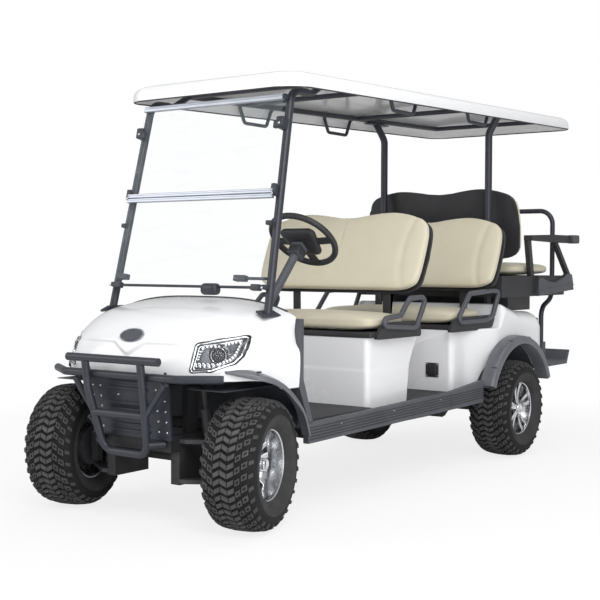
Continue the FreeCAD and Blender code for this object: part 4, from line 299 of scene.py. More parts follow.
@dataclass(frozen=True)
class Paint:
    """Glossy coachwork paint with a fine orange peel and a faint film of dust."""

    name: str
    colour: Colour
    rough: float = 0.2
    coat: float = 0.6
    dust: Colour = rgb(0.50, 0.48, 0.44)

    def make(self) -> bpy.types.Material:
        """Builds the material.

        Returns:
            The material.
        """
        f = Finish(self.name)
        _, _, z = f.across()
        film = f.noise(3.0, 5.0) * (1.0 - z.step(0.35, 1.1)) * 0.16
        peel = f.noise(260.0, 1.0)
        tint = f.mix(film.clamp(), self.colour, self.dust)
        rough = (self.rough + (f.noise(18.0, 4.0) - 0.5) * 0.07 + film * 0.8).clamp()
        f.set(Base_Color=tint, Roughness=rough, Coat_Weight=self.coat, Coat_Roughness=0.06)
        f.bump(peel, 0.05, 0.0006)
        return f.material


@dataclass(frozen=True)
class TexturedCoat:
    """Satin powder coat on steel, a little worn and dusty."""

    name: str
    colour: Colour
    worn: Colour
    rough: float = 0.42
    grain: float = 420.0

    def make(self) -> bpy.types.Material:
        """Builds the material.

        Returns:
            The material.
        """
        f = Finish(self.name)
        patches = f.noise(9.0, 6.0).step(0.55, 0.8) * 0.5
        tint = f.mix(patches, self.colour, self.worn)
        rough = (self.rough + (f.noise(40.0, 3.0) - 0.5) * 0.18).clamp()
        f.set(Base_Color=tint, Roughness=rough)
        f.bump(f.noise(self.grain, 2.0), 0.12, 0.0005)
        return f.material


@dataclass(frozen=True)
class Plastic:
    """Moulded plastic with a fine leather-like grain."""

    name: str
    colour: Colour
    pale: Colour
    rough: float = 0.52
    grain: float = 650.0
    depth: float = 0.22

    def make(self) -> bpy.types.Material:
        """Builds the material.

        Returns:
            The material.
        """
        f = Finish(self.name)
        clouds = f.noise(5.0, 5.0).step(0.35, 0.85) * 0.45
        speck = f.cells(self.grain)
        tint = f.mix(clouds, self.colour, self.pale)
        rough = (self.rough + (speck - 0.4) * 0.12).clamp()
        f.set(Base_Color=tint, Roughness=rough)
        f.bump(speck + f.noise(self.grain * 0.6, 2.0) * 0.5, self.depth, 0.0005)
        return f.material


@dataclass(frozen=True)
class Rubber:
    """Tyre rubber: matt, with painted shade keeping its grooves black and a lighter colour on what stands up
    from them, painted light mixed with dusty patches.
    """

    name: str
    colour: Colour
    # the lighter colour of the raised rubber: painted light and dust together
    dust: Colour
    rough: float = 0.78

    def make(self) -> bpy.types.Material:
        """Builds the material.

        Returns:
            The material.
        """
        f = Finish(self.name)
        # painted shade and light: the lift mask keeps the grooves black and lightens the raised rubber, with
        # noise patches of dust on it
        lift = f.add("Attribute", {"attribute_name": "lift"}, output="Fac")
        haze = lift * 0.62 + f.noise(14.0, 6.0).step(0.35, 0.8) * 0.38 * lift
        fine = f.noise(520.0, 2.0)
        tint = f.mix(haze, self.colour, self.dust)
        rough = (self.rough + (f.noise(60.0, 3.0) - 0.5) * 0.2).clamp()
        f.set(Base_Color=tint, Roughness=rough, Specular_IOR_Level=0.35)
        f.bump(fine, 0.18, 0.0006)
        return f.material


@dataclass(frozen=True)
class Metal:
    """Bare metal with fine turning or brushing marks."""

    name: str
    colour: Colour
    rough: float
    marks: Tuple[float, float, float] = (900.0, 30.0, 30.0)
    depth: float = 0.1
    metal: float = 1.0

    def make(self) -> bpy.types.Material:
        """Builds the material.

        Returns:
            The material.
        """
        f = Finish(self.name)
        lines = f.noise(1.0, 2.0, f.stretched(*self.marks))
        stain = f.noise(7.0, 5.0).step(0.4, 0.9) * 0.35
        dull = tuple(0.72 * c for c in self.colour[:3]) + (1.0,)
        f.set(
            Base_Color=f.mix(stain, self.colour, dull),
            Metallic=self.metal,
            Roughness=(self.rough + (lines - 0.5) * 0.16 + stain * 0.12).clamp(),
        )
        f.bump(lines, self.depth, 0.0004)
        return f.material


@dataclass(frozen=True)
class Vinyl:
    """Upholstery vinyl: soft pebble grain, slight sheen and clouds of painted shade, a darker shaded copy of
    its colour.
    """

    name: str
    colour: Colour
    shade: Colour
    rough: float = 0.46

    def make(self) -> bpy.types.Material:
        """Builds the material.

        Returns:
            The material.
        """
        f = Finish(self.name)
        clouds = f.noise(6.0, 5.0).step(0.3, 0.8) * 0.5
        pebble = f.cells(520.0, "SMOOTH_F1")
        creases = f.noise(22.0, 4.0)
        # painted shade: clouds of up to half the vinyl's shaded copy
        tint = f.mix(clouds, self.colour, self.shade)
        rough = (self.rough + (pebble - 0.35) * 0.15 + (creases - 0.5) * 0.1).clamp()
        f.set(Base_Color=tint, Roughness=rough, Sheen_Weight=0.12, Sheen_Roughness=0.5)
        f.bump(pebble * 0.6 + creases * 0.8, 0.22, 0.0012)
        return f.material


@dataclass(frozen=True)
class Clear:
    """Clear acrylic sheet with a faint blue cast and a few wiping marks."""

    name: str
    tint: Colour
    haze: float = 0.04
    share: float = 0.965

    def make(self) -> bpy.types.Material:
        """Builds the material as a thin sheet that shows what is behind it.

        Returns:
            The material.
        """
        f = Finish(self.name)
        smears = f.noise(1.0, 4.0, f.stretched(3.0, 3.0, 14.0)).step(0.45, 0.9)
        f.set(
            Base_Color=self.tint,
            Roughness=(smears * self.haze + 0.03).clamp(),
            Specular_IOR_Level=0.6,
            Alpha=(1.0 - self.share) + smears * 0.05,
        )
        return f.material


@dataclass(frozen=True)
class Lens:
    """Moulded lamp lens, clear or coloured, with shallow optic flutes."""

    name: str
    tint: Colour
    share: float
    glow: float = 0.0

    def make(self) -> bpy.types.Material:
        """Builds the material.

        Returns:
            The material.
        """
        f = Finish(self.name)
        flutes = f.noise(1.0, 1.0, f.stretched(120.0, 120.0, 20.0))
        f.set(
            Base_Color=self.tint,
            Roughness=(flutes * 0.06 + 0.02).clamp(),
            Coat_Weight=0.8,
            Alpha=(1.0 - self.share) + flutes * 0.03,
            Emission_Color=self.tint,
            Emission_Strength=self.glow,
        )
        return f.material


class Look(Enum):
    """The finishes of the cart."""

    BODY = Paint("body_white", rgb(0.83, 0.835, 0.855))
    FRAME = TexturedCoat("frame_black", rgb(0.022, 0.025, 0.036), rgb(0.052, 0.057, 0.076))
    CHASSIS = TexturedCoat("chassis_paint", rgb(0.02, 0.02, 0.022), rgb(0.07, 0.062, 0.055), 0.6)
    GREY_TUBE = TexturedCoat("tube_grey", rgb(0.062, 0.066, 0.078), rgb(0.11, 0.115, 0.13), 0.36)
    # painted shade in the tyre's grooves, and a lighter colour on its raised rubber that is painted light and
    # dust together
    TYRE = Rubber("tyre", rgb(0.007, 0.007, 0.008), rgb(0.088, 0.087, 0.090))
    ALLOY = Metal("wheel_alloy", rgb(0.72, 0.73, 0.75), 0.2, (30.0, 420.0, 420.0))
    GLOSS_BLACK = Paint("gloss_black", rgb(0.008, 0.008, 0.009), 0.16, 0.8, rgb(0.05, 0.05, 0.05))
    CHROME = Metal("chrome", rgb(0.86, 0.87, 0.89), 0.07, (60.0, 60.0, 60.0), 0.02)
    BRIGHT = Metal("bright_steel", rgb(0.62, 0.63, 0.65), 0.26, (20.0, 700.0, 700.0))
    RAIL = Metal("bright_rail", rgb(0.40, 0.425, 0.47), 0.32, (20.0, 500.0, 500.0))
    CAST = TexturedCoat("cast_parts", rgb(0.05, 0.05, 0.055), rgb(0.12, 0.105, 0.09), 0.62, 180.0)
    BATTERY = Plastic("battery_case", rgb(0.03, 0.03, 0.034), rgb(0.07, 0.07, 0.075))
    DARK = Plastic("dark_plastic", rgb(0.022, 0.022, 0.025), rgb(0.05, 0.05, 0.054))
    GREY = Plastic("grey_plastic", rgb(0.062, 0.066, 0.078), rgb(0.11, 0.115, 0.13), 0.52)
    FLARE = Plastic("flare_plastic", rgb(0.105, 0.11, 0.125), rgb(0.17, 0.175, 0.19), 0.3)
    MAT = Plastic("floor_rubber", rgb(0.035, 0.036, 0.04), rgb(0.075, 0.075, 0.08), 0.75, 320.0)
    # the second colour is the vinyl as it looks in shade, painted in clouds
    VINYL = Vinyl("seat_vinyl", rgb(0.61, 0.565, 0.435), rgb(0.54, 0.495, 0.365))
    PANE = Clear("clear_pane", rgb(0.55, 0.66, 0.70))
    LAMP = Lens("lamp_glass", rgb(0.60, 0.63, 0.67), 0.975)
    RED = Lens("lamp_red", rgb(0.55, 0.012, 0.012), 0.12)
    DOT = Lens("lamp_dot", rgb(0.95, 0.97, 1.0), 0.1, 0.25)
    BOWL = Metal("lamp_bowl", rgb(0.10, 0.105, 0.12), 0.3, (60.0, 60.0, 60.0), 0.05)
    EYE = Paint("lamp_eye", rgb(0.006, 0.007, 0.012), 0.22, 0.2, rgb(0.02, 0.02, 0.03))


@cache
def finish_of(look: Look) -> bpy.types.Material:
    """The material of a finish, made on first use."""
    return look.value.make()


# Surfaces


def grid_faces(rows: int, columns: int, around: bool, along: bool, start: int = 0) -> Array:
    """Quads of a grid of points.

    Args:
        rows: points along the first parameter.
        columns: points along the second.
        around: whether the second parameter closes on itself.
        along: whether the first one does.
        start: number of the grid's first point.

    Returns:
        An array of quads, four point numbers each.
    """
    r = np.arange(rows if along else rows - 1)
    c = np.arange(columns if around else columns - 1)
    i, j = np.meshgrid(r, c, indexing="ij")
    a = i * columns + j
    b = i * columns + (j + 1) % columns
    d = ((i + 1) % rows) * columns + j
    e = ((i + 1) % rows) * columns + (j + 1) % columns
    return start + np.stack([a, b, e, d], axis=-1).reshape(-1, 4)


@dataclass
class Patch:
    """Points and faces that are gathered into one mesh."""

    points: List[Array] = field(default_factory=list)
    faces: List[List[int]] = field(default_factory=list)
    count: int = 0

    def grid(
        self, places: Array, around: bool = False, along: bool = False, ends: bool = False
    ) -> "Patch":
        """Adds a grid surface.

        Args:
            places: points, rows by columns by three.
            around: whether its columns close.
            along: whether its rows close.
            ends: whether the first and last rows are closed by a face each.

        Returns:
            The patch.
        """
        rows, columns = places.shape[:2]
        start = self.count
        self.points.append(places.reshape(-1, 3))
        self.faces += grid_faces(rows, columns, around, along, start).tolist()
        if ends:
            self.faces.append(list(range(start, start + columns))[::-1])
            last = start + (rows - 1) * columns
            self.faces.append(list(range(last, last + columns)))
        self.count += rows * columns
        return self

    def repeated(self, copies: Iterable[Array], faces: Array) -> "Patch":
        """Adds many copies of the same faces, each with its own points.

        Args:
            copies: the points of each copy.
            faces: the faces of one copy.

        Returns:
            The patch.
        """
        for places in copies:
            start = self.count
            self.points.append(places.reshape(-1, 3))
            self.faces += (faces + start).tolist()
            self.count += len(self.points[-1])
        return self


def made_mesh(name: str, patch: Patch, merge: float = 0.0) -> bpy.types.Mesh:
    """Makes a mesh whose faces point outwards.

    Args:
        name: its name.
        patch: its points and faces.
        merge: points closer than this become one, or nought for none.

    Returns:
        The mesh.
    """
    mesh = bpy.data.meshes.new(name)
    mesh.from_pydata(np.concatenate(patch.points).tolist(), [], patch.faces)
    mesh.update()
    work = bmesh.new()
    work.from_mesh(mesh)
    if merge:
        bmesh.ops.remove_doubles(work, verts=work.verts, dist=merge)
    bmesh.ops.recalc_face_normals(work, faces=work.faces)
    work.to_mesh(mesh)
    work.free()
    return mesh


def linked(name: str, data: bpy.types.ID) -> Thing:
    """Puts a new object into the scene.

    Args:
        name: its name.
        data: its mesh, lamp or camera.

    Returns:
        The object.
    """
    thing = bpy.data.objects.new(name, data)
    bpy.context.scene.collection.objects.link(thing)
    return thing


def dressed(name: str, mesh: bpy.types.Mesh, look: Look, smooth: float, body: str) -> Thing:
    """Makes a mesh an object with its finish, on the body that carries it.

    Args:
        name: the object's name.
        mesh: its mesh, in place.
        look: its finish.
        smooth: edges sharper than this many degrees stay sharp.
        body: the body that carries it.

    Returns:
        The object.
    """
    mesh.materials.append(finish_of(look))
    mesh.polygons.foreach_set("use_smooth", [True] * len(mesh.polygons))
    mesh.set_sharp_from_angle(angle=math.radians(smooth))
    thing = linked(name, mesh)
    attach(thing, body)
    log.info("piece %s: %d faces on %s", name, len(mesh.polygons), body)
    return thing


def piece(name: str, patch: Patch, look: Look, body: str = "cart", smooth: float = 40.0) -> Thing:
    """Makes an object from a patch; its arguments are those of dressed()."""
    return dressed(name, made_mesh(name, patch, 1e-6), look, smooth, body)


def unit(v: Array) -> Array:
    """Vectors scaled to length one."""
    return v / np.maximum(np.linalg.norm(v, axis=-1, keepdims=True), 1e-12)


def ring(count: int, start: float = 0.0) -> Array:
    """Points of a unit circle, as columns of cosine and sine."""
    a = start + np.arange(count) * 2 * math.pi / count
    return np.stack([np.cos(a), np.sin(a)], axis=-1)


def smooth_path(corners: Array, bend: float, closed: bool = False, steps: int = 8) -> Array:
    """Corner points whose corners are rounded.

    Each corner is swapped for the arc that touches both of its runs: with half angle h
    between the runs, the arc of radius b starts b / tan(h) before the corner.

    Args:
        corners: the corner points.
        bend: radius of the arcs.
        closed: whether the path closes.
        steps: chords of each arc.

    Returns:
        The path's points.
    """
    corners = np.asarray(corners, float)
    count = len(corners)
    out = []
    for i in range(count):
        here = corners[i]
        if not closed and i in (0, count - 1):
            out.append(here[None])
            continue
        back = corners[i - 1] - here
        ahead = corners[(i + 1) % count] - here
        lb, la = np.linalg.norm(back), np.linalg.norm(ahead)
        ub, ua = back / lb, ahead / la
        half = math.acos(float(np.clip(ub @ ua, -1, 1))) / 2
        if half > math.pi / 2 - 0.01:
            out.append(here[None])
            continue
        setback = min(bend / math.tan(half), 0.46 * min(lb, la))
        radius = setback * math.tan(half)
        middle = unit(ub + ua)
        centre = here + middle * radius / math.sin(half)
        u = unit(here + ub * setback - centre)
        w = here + ua * setback - centre
        w = unit(w - u * (w @ u))
        t = np.linspace(0, math.pi - 2 * half, steps + 1)[:, None]
        out.append(centre + radius * (np.cos(t) * u + np.sin(t) * w))
    return np.concatenate(out)


def off_axis(axis: Array) -> Array:
    """Straight up, or straight across where the axis itself is near to upright."""
    return UP if abs(axis[2]) < 0.9 else ACROSS


def frames(path: Array, closed: bool = False, up: Optional[Array] = None) -> Tuple[Array, Array]:
    """Two directions across a path at each of its points, carried without twist.

    Args:
        path: the points.
        closed: whether the path closes.
        up: a direction that the second one stays near to, or none.

    Returns:
        The side and up directions.
    """
    if closed:
        ahead = np.roll(path, -1, axis=0) - path
        back = path - np.roll(path, 1, axis=0)
    else:
        ahead = np.vstack([path[1:] - path[:-1], path[-1:] - path[-2:-1]])
        back = np.vstack([path[1:2] - path[:1], path[1:] - path[:-1]])
    along = unit(unit(ahead) + unit(back))
    if up is not None:
        side = unit(np.cross(along, np.broadcast_to(up, along.shape)))
        return side, np.cross(side, along)
    sides = np.empty_like(path)
    side = unit(np.cross(along[0], off_axis(along[0])))
    for k in range(len(path)):
        side = unit(side - along[k] * (side @ along[k]))
        sides[k] = side
    return sides, np.cross(sides, along)


def tube(
    patch: Patch,
    path: Array,
    radius: Union[float, Array],
    sides: int = 24,
    closed: bool = False,
    up: Optional[Array] = None,
    profile: Optional[Array] = None,
) -> Patch:
    """Carries a round or given profile along a path.

    Point (i, j) is path i plus the radius times the profile's two shares of the
    directions across the path there.

    Args:
        patch: the patch to add to.
        path: points of the path.
        radius: one size or one per point.
        sides: points round a circle.
        closed: whether the path closes.
        up: direction for the profile's second axis.
        profile: points of another profile in shares of the radius.

    Returns:
        The patch.
    """
    side, over = frames(path, closed, up)
    shape = ring(sides) if profile is None else profile
    size = np.broadcast_to(np.asarray(radius, float), (len(path),))[:, None, None]
    spread = shape[None, :, 0:1] * side[:, None, :] + shape[None, :, 1:2] * over[:, None, :]
    places = path[:, None, :] + size * spread
    return patch.grid(places, around=True, along=closed, ends=not closed)


def turned(
    patch: Patch, outline: Array, centre: Array, axis: Array, sides: int = 48, closed: bool = False
) -> Patch:
    """Turns an outline about an axis.

    Point (i, j) is the centre plus the outline's distance i along the axis plus its
    radius i in the direction j round it.

    Args:
        patch: the patch to add to.
        outline: pairs of distance along and radius.
        centre: the place from which the distances count.
        axis: direction of the axis.
        sides: points round the axis.
        closed: whether the outline closes.

    Returns:
        The patch.
    """
    axis = unit(np.asarray(axis, float))
    u = unit(np.cross(axis, off_axis(axis)))
    w = np.cross(axis, u)
    c = ring(sides)
    outline = np.asarray(outline, float)
    round_it = c[None, :, 0:1] * u + c[None, :, 1:2] * w
    places = centre + outline[:, None, 0:1] * axis + outline[:, None, 1:2] * round_it
    return patch.grid(places, around=True, along=closed, ends=not closed)


def mirrored(corners: Sequence[Tuple[float, ...]]) -> List[Tuple[float, ...]]:
    """The corners and then their mirror images, back to front."""
    return [*corners] + [(-corner[0], *corner[1:]) for corner in corners[::-1]]


def lying(a: Array) -> Array:
    """Three directions turned by an angle about the cart's cross axis."""
    return np.array([[1, 0, 0], [0, math.cos(a), -math.sin(a)], [0, math.sin(a), math.cos(a)]])


def rounded(half: float, low: float, high: float, corners: Tuple[float, float], steps: int) -> Array:
    """A rectangle in plan with round corners.

    Args:
        half: half width.
        low: its front edge.
        high: its rear edge.
        corners: radii of the rear and the front corners.
        steps: points of each corner.

    Returns:
        Pairs across and along.
    """
    turn = np.linspace(0, math.pi / 2, steps)
    quarter = np.stack([np.cos(turn), np.sin(turn)], axis=-1)
    parts = []
    for sx, sy, flip in ((1, 1, 1), (-1, 1, -1), (-1, -1, 1), (1, -1, -1)):
        corner = corners[0 if sy > 0 else 1]
        middle = (half - corner) * sx, (high - corner if sy > 0 else low + corner)
        parts.append(quarter[::flip] * (sx * corner, sy * corner) + middle)
    return np.concatenate(parts)


def block(
    patch: Patch,
    centre: Array,
    half: Sequence[float],
    round_by: float,
    axes: Optional[Array] = None,
    steps: int = 3,
) -> Patch:
    """A block with rounded edges.

    A direction n on the unit sphere becomes n times the edge radius plus the sign of n
    times what is left of each half size.

    Args:
        patch: the patch to add to.
        centre: the middle.
        half: half sizes along the three axes.
        round_by: radius of the edges.
        axes: rows of three directions, or none for the plain ones.
        steps: rings in a quarter turn.

    Returns:
        The patch.
    """
    axes = np.eye(3) if axes is None else np.asarray(axes, float)
    quarter = np.linspace(0, math.pi / 2, steps + 1)
    turn = np.concatenate([k * math.pi / 2 + quarter for k in range(4)])
    sign_a = np.concatenate([[s] * (steps + 1) for s in ((1, 1), (-1, 1), (-1, -1), (1, -1))])
    lift = np.concatenate([-quarter[::-1], quarter])
    sign_z = np.concatenate([[-1] * (steps + 1), [1] * (steps + 1)])
    inner = np.maximum(np.asarray(half, float) - round_by, 0)
    x = np.cos(lift)[:, None] * np.cos(turn)[None] * round_by + sign_a[None, :, 0] * inner[0]
    y = np.cos(lift)[:, None] * np.sin(turn)[None] * round_by + sign_a[None, :, 1] * inner[1]
    z = np.sin(lift)[:, None] * round_by + sign_z[:, None] * inner[2] + 0 * x
    local = np.stack([x, y, z], axis=-1)
    return patch.grid(centre + local @ axes, around=True, ends=True)


def spline(points: Sequence[Sequence[float]], count: int, closed: bool = False) -> Array:
    """A smooth curve through points.

    Between points p1 and p2 the curve is the usual cubic whose slopes there are half
    the steps from the points before and after.

    Args:
        points: the points, in any number of dimensions.
        count: samples in all.
        closed: whether the curve closes.

    Returns:
        The samples.
    """
    p = np.asarray(points, float)
    n = len(p)
    spans = n if closed else n - 1
    t = np.linspace(0, spans, count, endpoint=not closed)
    i = np.minimum(t.astype(int), spans - 1)
    f = (t - i)[:, None]
    if closed:
        a, b, c, d = (p[(i + k) % n] for k in (-1, 0, 1, 2))
    else:
        e = np.vstack([2 * p[0] - p[1], p, 2 * p[-1] - p[-2]])
        a, b, c, d = (e[i + k] for k in (0, 1, 2, 3))
    return 0.5 * (
        2 * b + (c - a) * f + (2 * a - 5 * b + 4 * c - d) * f**2 + (3 * b - a - 3 * c + d) * f**3
    )


@dataclass
class Place:
    """A wheel's own axes: out along the axle, and round from straight up."""

    centre: Array
    out: Array

    def at(self, x: Array, radius: Array, angle: Array) -> Array:
        """Points round the axle.

        Args:
            x: distance out along the axle, in metres.
            radius: distance from the axle.
            angle: turn from straight up, in radians.

        Returns:
            The points.
        """
        fore = np.cross(UP, self.out)
        x, radius, angle = np.broadcast_arrays(x, radius, angle)
        return (
            self.centre
            + x[..., None] * self.out
            + (radius * np.cos(angle))[..., None] * UP
            + (radius * np.sin(angle))[..., None] * fore
        )


@dataclass
class Tyre:
    """An all-terrain tyre with zigzag columns, hollow shoulder blocks and side lugs."""

    radius: float = HUB_HEIGHT
    half_width: float = 0.130
    lug: float = 0.0105
    root: float = 0.004
    bore: Pairs = ((0.084, 0.1553), (-0.084, 0.1553))
    sides: int = 120
    chevron_rows: int = 50
    shoulder_rows: int = 36
    side_rows: int = 30
    column_width: float = 0.134
    column_fill: float = 0.47
    chevron_slant: float = 0.46
    shoulder_bands: Sequence[Tuple[float, float, float]] = ((0.212, 0.31, 0.0), (0.328, 0.43, 0.45))
    side_band: Tuple[float, float] = (0.44, 0.54)
    wall_from: float = 0.56

    def skin(self) -> Array:
        """Half outline of the carcass from the middle of the tread to the bead.

        Returns:
            Pairs of distance out and radius.
        """
        r = self.radius - self.lug
        w = self.half_width
        return np.array([
            (0.0, r), (0.045, r - 0.0012), (0.085, r - 0.0065), (0.108, r - 0.019), (0.121, r - 0.038),
            (w - 0.004, r - 0.062), (w - 0.006, r - 0.085), (0.113, r - 0.106), (0.098, r - 0.118),
            (0.090, r - 0.1225),
        ])

    def outline(self, count: int = 61) -> Array:
        """The whole outline from one bead over the tread to the other.

        Args:
            count: number of points.

        Returns:
            Pairs of distance out and radius.
        """
        half = self.skin()
        whole = np.vstack([half[::-1] * (-1, 1), half[1:]])
        return spline(whole, count)

    def over(self, share: Array, height: Union[float, Array]) -> Tuple[Array, Array]:
        """Distance out and radius at a share across the outline and a height above it.

        The share runs from -1 at one bead to 1 at the other, by length along the
        outline; the height goes out along the outline's normal.

        Args:
            share: shares across.
            height: heights above the outline, in metres.

        Returns:
            The distances out and the radii.
        """
        line = self.outline(401)
        steps = np.linalg.norm(np.diff(line, axis=0), axis=1)
        length = np.concatenate([[0], np.cumsum(steps)])
        length = length / length[-1] * 2 - 1
        slope = unit(np.gradient(line, axis=0))
        x = np.interp(share, length, line[:, 0])
        r = np.interp(share, length, line[:, 1])
        nx = -np.interp(share, length, slope[:, 1])
        nr = np.interp(share, length, slope[:, 0])
        return x + nx * height, r + nr * height

    def studs(
        self,
        patch: Patch,
        place: Place,
        shares: Tuple[float, float],
        span: float,
        slant: float,
        rows: int,
        start: float,
        height: float,
        hollow: float = 0.0,
        taper: float = 0.82,
    ) -> None:
        """Adds a ring of slanted blocks.

        A block is a parallelogram in the share across and the angle round: its corner
        angles are start, plus span, plus slant at the far share. Its top is drawn in to
        the taper about its middle, and a hollow sinks a second, smaller outline.

        Args:
            patch: the patch to add to.
            place: the wheel's axes.
            shares: near and far shares across the outline.
            span: length round, as a share of the pitch.
            slant: offset of the far end, as a share of the pitch.
            rows: blocks in the ring.
            start: offset of the ring, as a share of the pitch.
            height: how far the block stands up, in metres.
            hollow: share of the outline that is sunk, or nought.
            taper: share of the outline that the top keeps.
        """
        pitch = 2 * math.pi / rows
        near, far = shares
        half = (near + far) / 2
        corner = np.array([
            (near, 0.0), (half, slant / 2), (far, slant), (far, slant + span), (half, slant / 2 + span),
            (near, span),
        ])
        middle = corner.mean(axis=0)
        drawn = middle + (corner - middle) * taper
        rings = [(corner, -self.root), (drawn, height)]
        if hollow:
            small = middle + (corner - middle) * hollow
            rings += [(small, height), (small, height * 0.35)]
        turn = (np.arange(rows) + start)[:, None] * pitch
        layers = []
        for outline, level in rings:
            x, r = self.over(outline[:, 0], level)
            layers.append(place.at(x[None], r[None], turn + outline[None, :, 1] * pitch))
        copies = np.stack(layers, axis=1)
        faces = grid_faces(len(rings), 6, True, False).tolist()
        last = (len(rings) - 1) * 6
        faces += [[last + k for k in (0, 1, 4, 5)], [last + k for k in (1, 2, 3, 4)]]
        patch.repeated(copies, np.array(faces))

    def build(self, name: str, place: Place, body: str, node: str) -> Thing:
        """Builds one tyre and puts it in place of its plain solid.

        Args:
            name: the piece's name.
            place: the wheel's axes.
            body: the wheel's body.
            node: the plain solid's node.

        Returns:
            The tyre.
        """
        patch = Patch()
        ring_line = np.vstack([self.outline(61), self.bore])
        angle = np.arange(self.sides) * 2 * math.pi / self.sides
        spots = place.at(ring_line[:, None, 0], ring_line[:, None, 1], angle[None])
        patch.grid(spots, around=True, along=True)
        for column in (-1, 0, 1):
            shares = tuple((column + end * self.column_fill) * self.column_width for end in SIDES)
            slant, start = (self.chevron_slant, 0.0) if column else (-self.chevron_slant, self.chevron_slant)
            self.studs(patch, place, shares, 0.60, slant, self.chevron_rows, start, self.lug, taper=0.90)
        rows, high = self.shoulder_rows, self.lug * 0.9
        for side in SIDES:
            for near, far, start in self.shoulder_bands:
                self.studs(patch, place, (side * near, side * far), 0.56, 0.30, rows, start, high, 0.45, 0.88)
            near, far = self.side_band
            self.studs(patch, place, (side * near, side * far), 0.36, 0.2, self.side_rows, 0.2, 0.0075)
        thing = piece(name, patch, Look.TYRE, body, smooth=32)
        self.mark_painted_groove_shade(thing.data, place)
        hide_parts(node)
        return thing

    def mark_painted_groove_shade(self, mesh: bpy.types.Mesh, place: Place) -> None:
        """Writes how far each vertex stands above the carcass, the mask of the painted groove shade and the
        lighter, dusty raised rubber.

        The attribute is the distance to the outline over the lug height, held between
        nought and one; on the side walls it is 0.45 plus 0.4 of that.

        Args:
            mesh: the tyre's mesh.
            place: the wheel's axes.
        """
        spots = np.empty(len(mesh.vertices) * 3)
        mesh.vertices.foreach_get("co", spots)
        spots = spots.reshape(-1, 3) - place.centre
        x = spots @ place.out
        r = np.linalg.norm(spots - x[:, None] * place.out, axis=1)
        line = self.outline(121)
        gaps = np.hypot(x[:, None] - line[None, :, 0], r[:, None] - line[None, :, 1])
        lift = np.clip(gaps.min(axis=1) / self.lug, 0, 1)
        wall = np.abs(gaps.argmin(axis=1) / 60.0 - 1) > self.wall_from
        # the side walls are painted lighter than the grooves of the tread
        lift = np.where(wall, 0.45 + 0.4 * lift, lift).astype(np.float32)
        mesh.attributes.new("lift", "FLOAT", "POINT").data.foreach_set("value", lift)


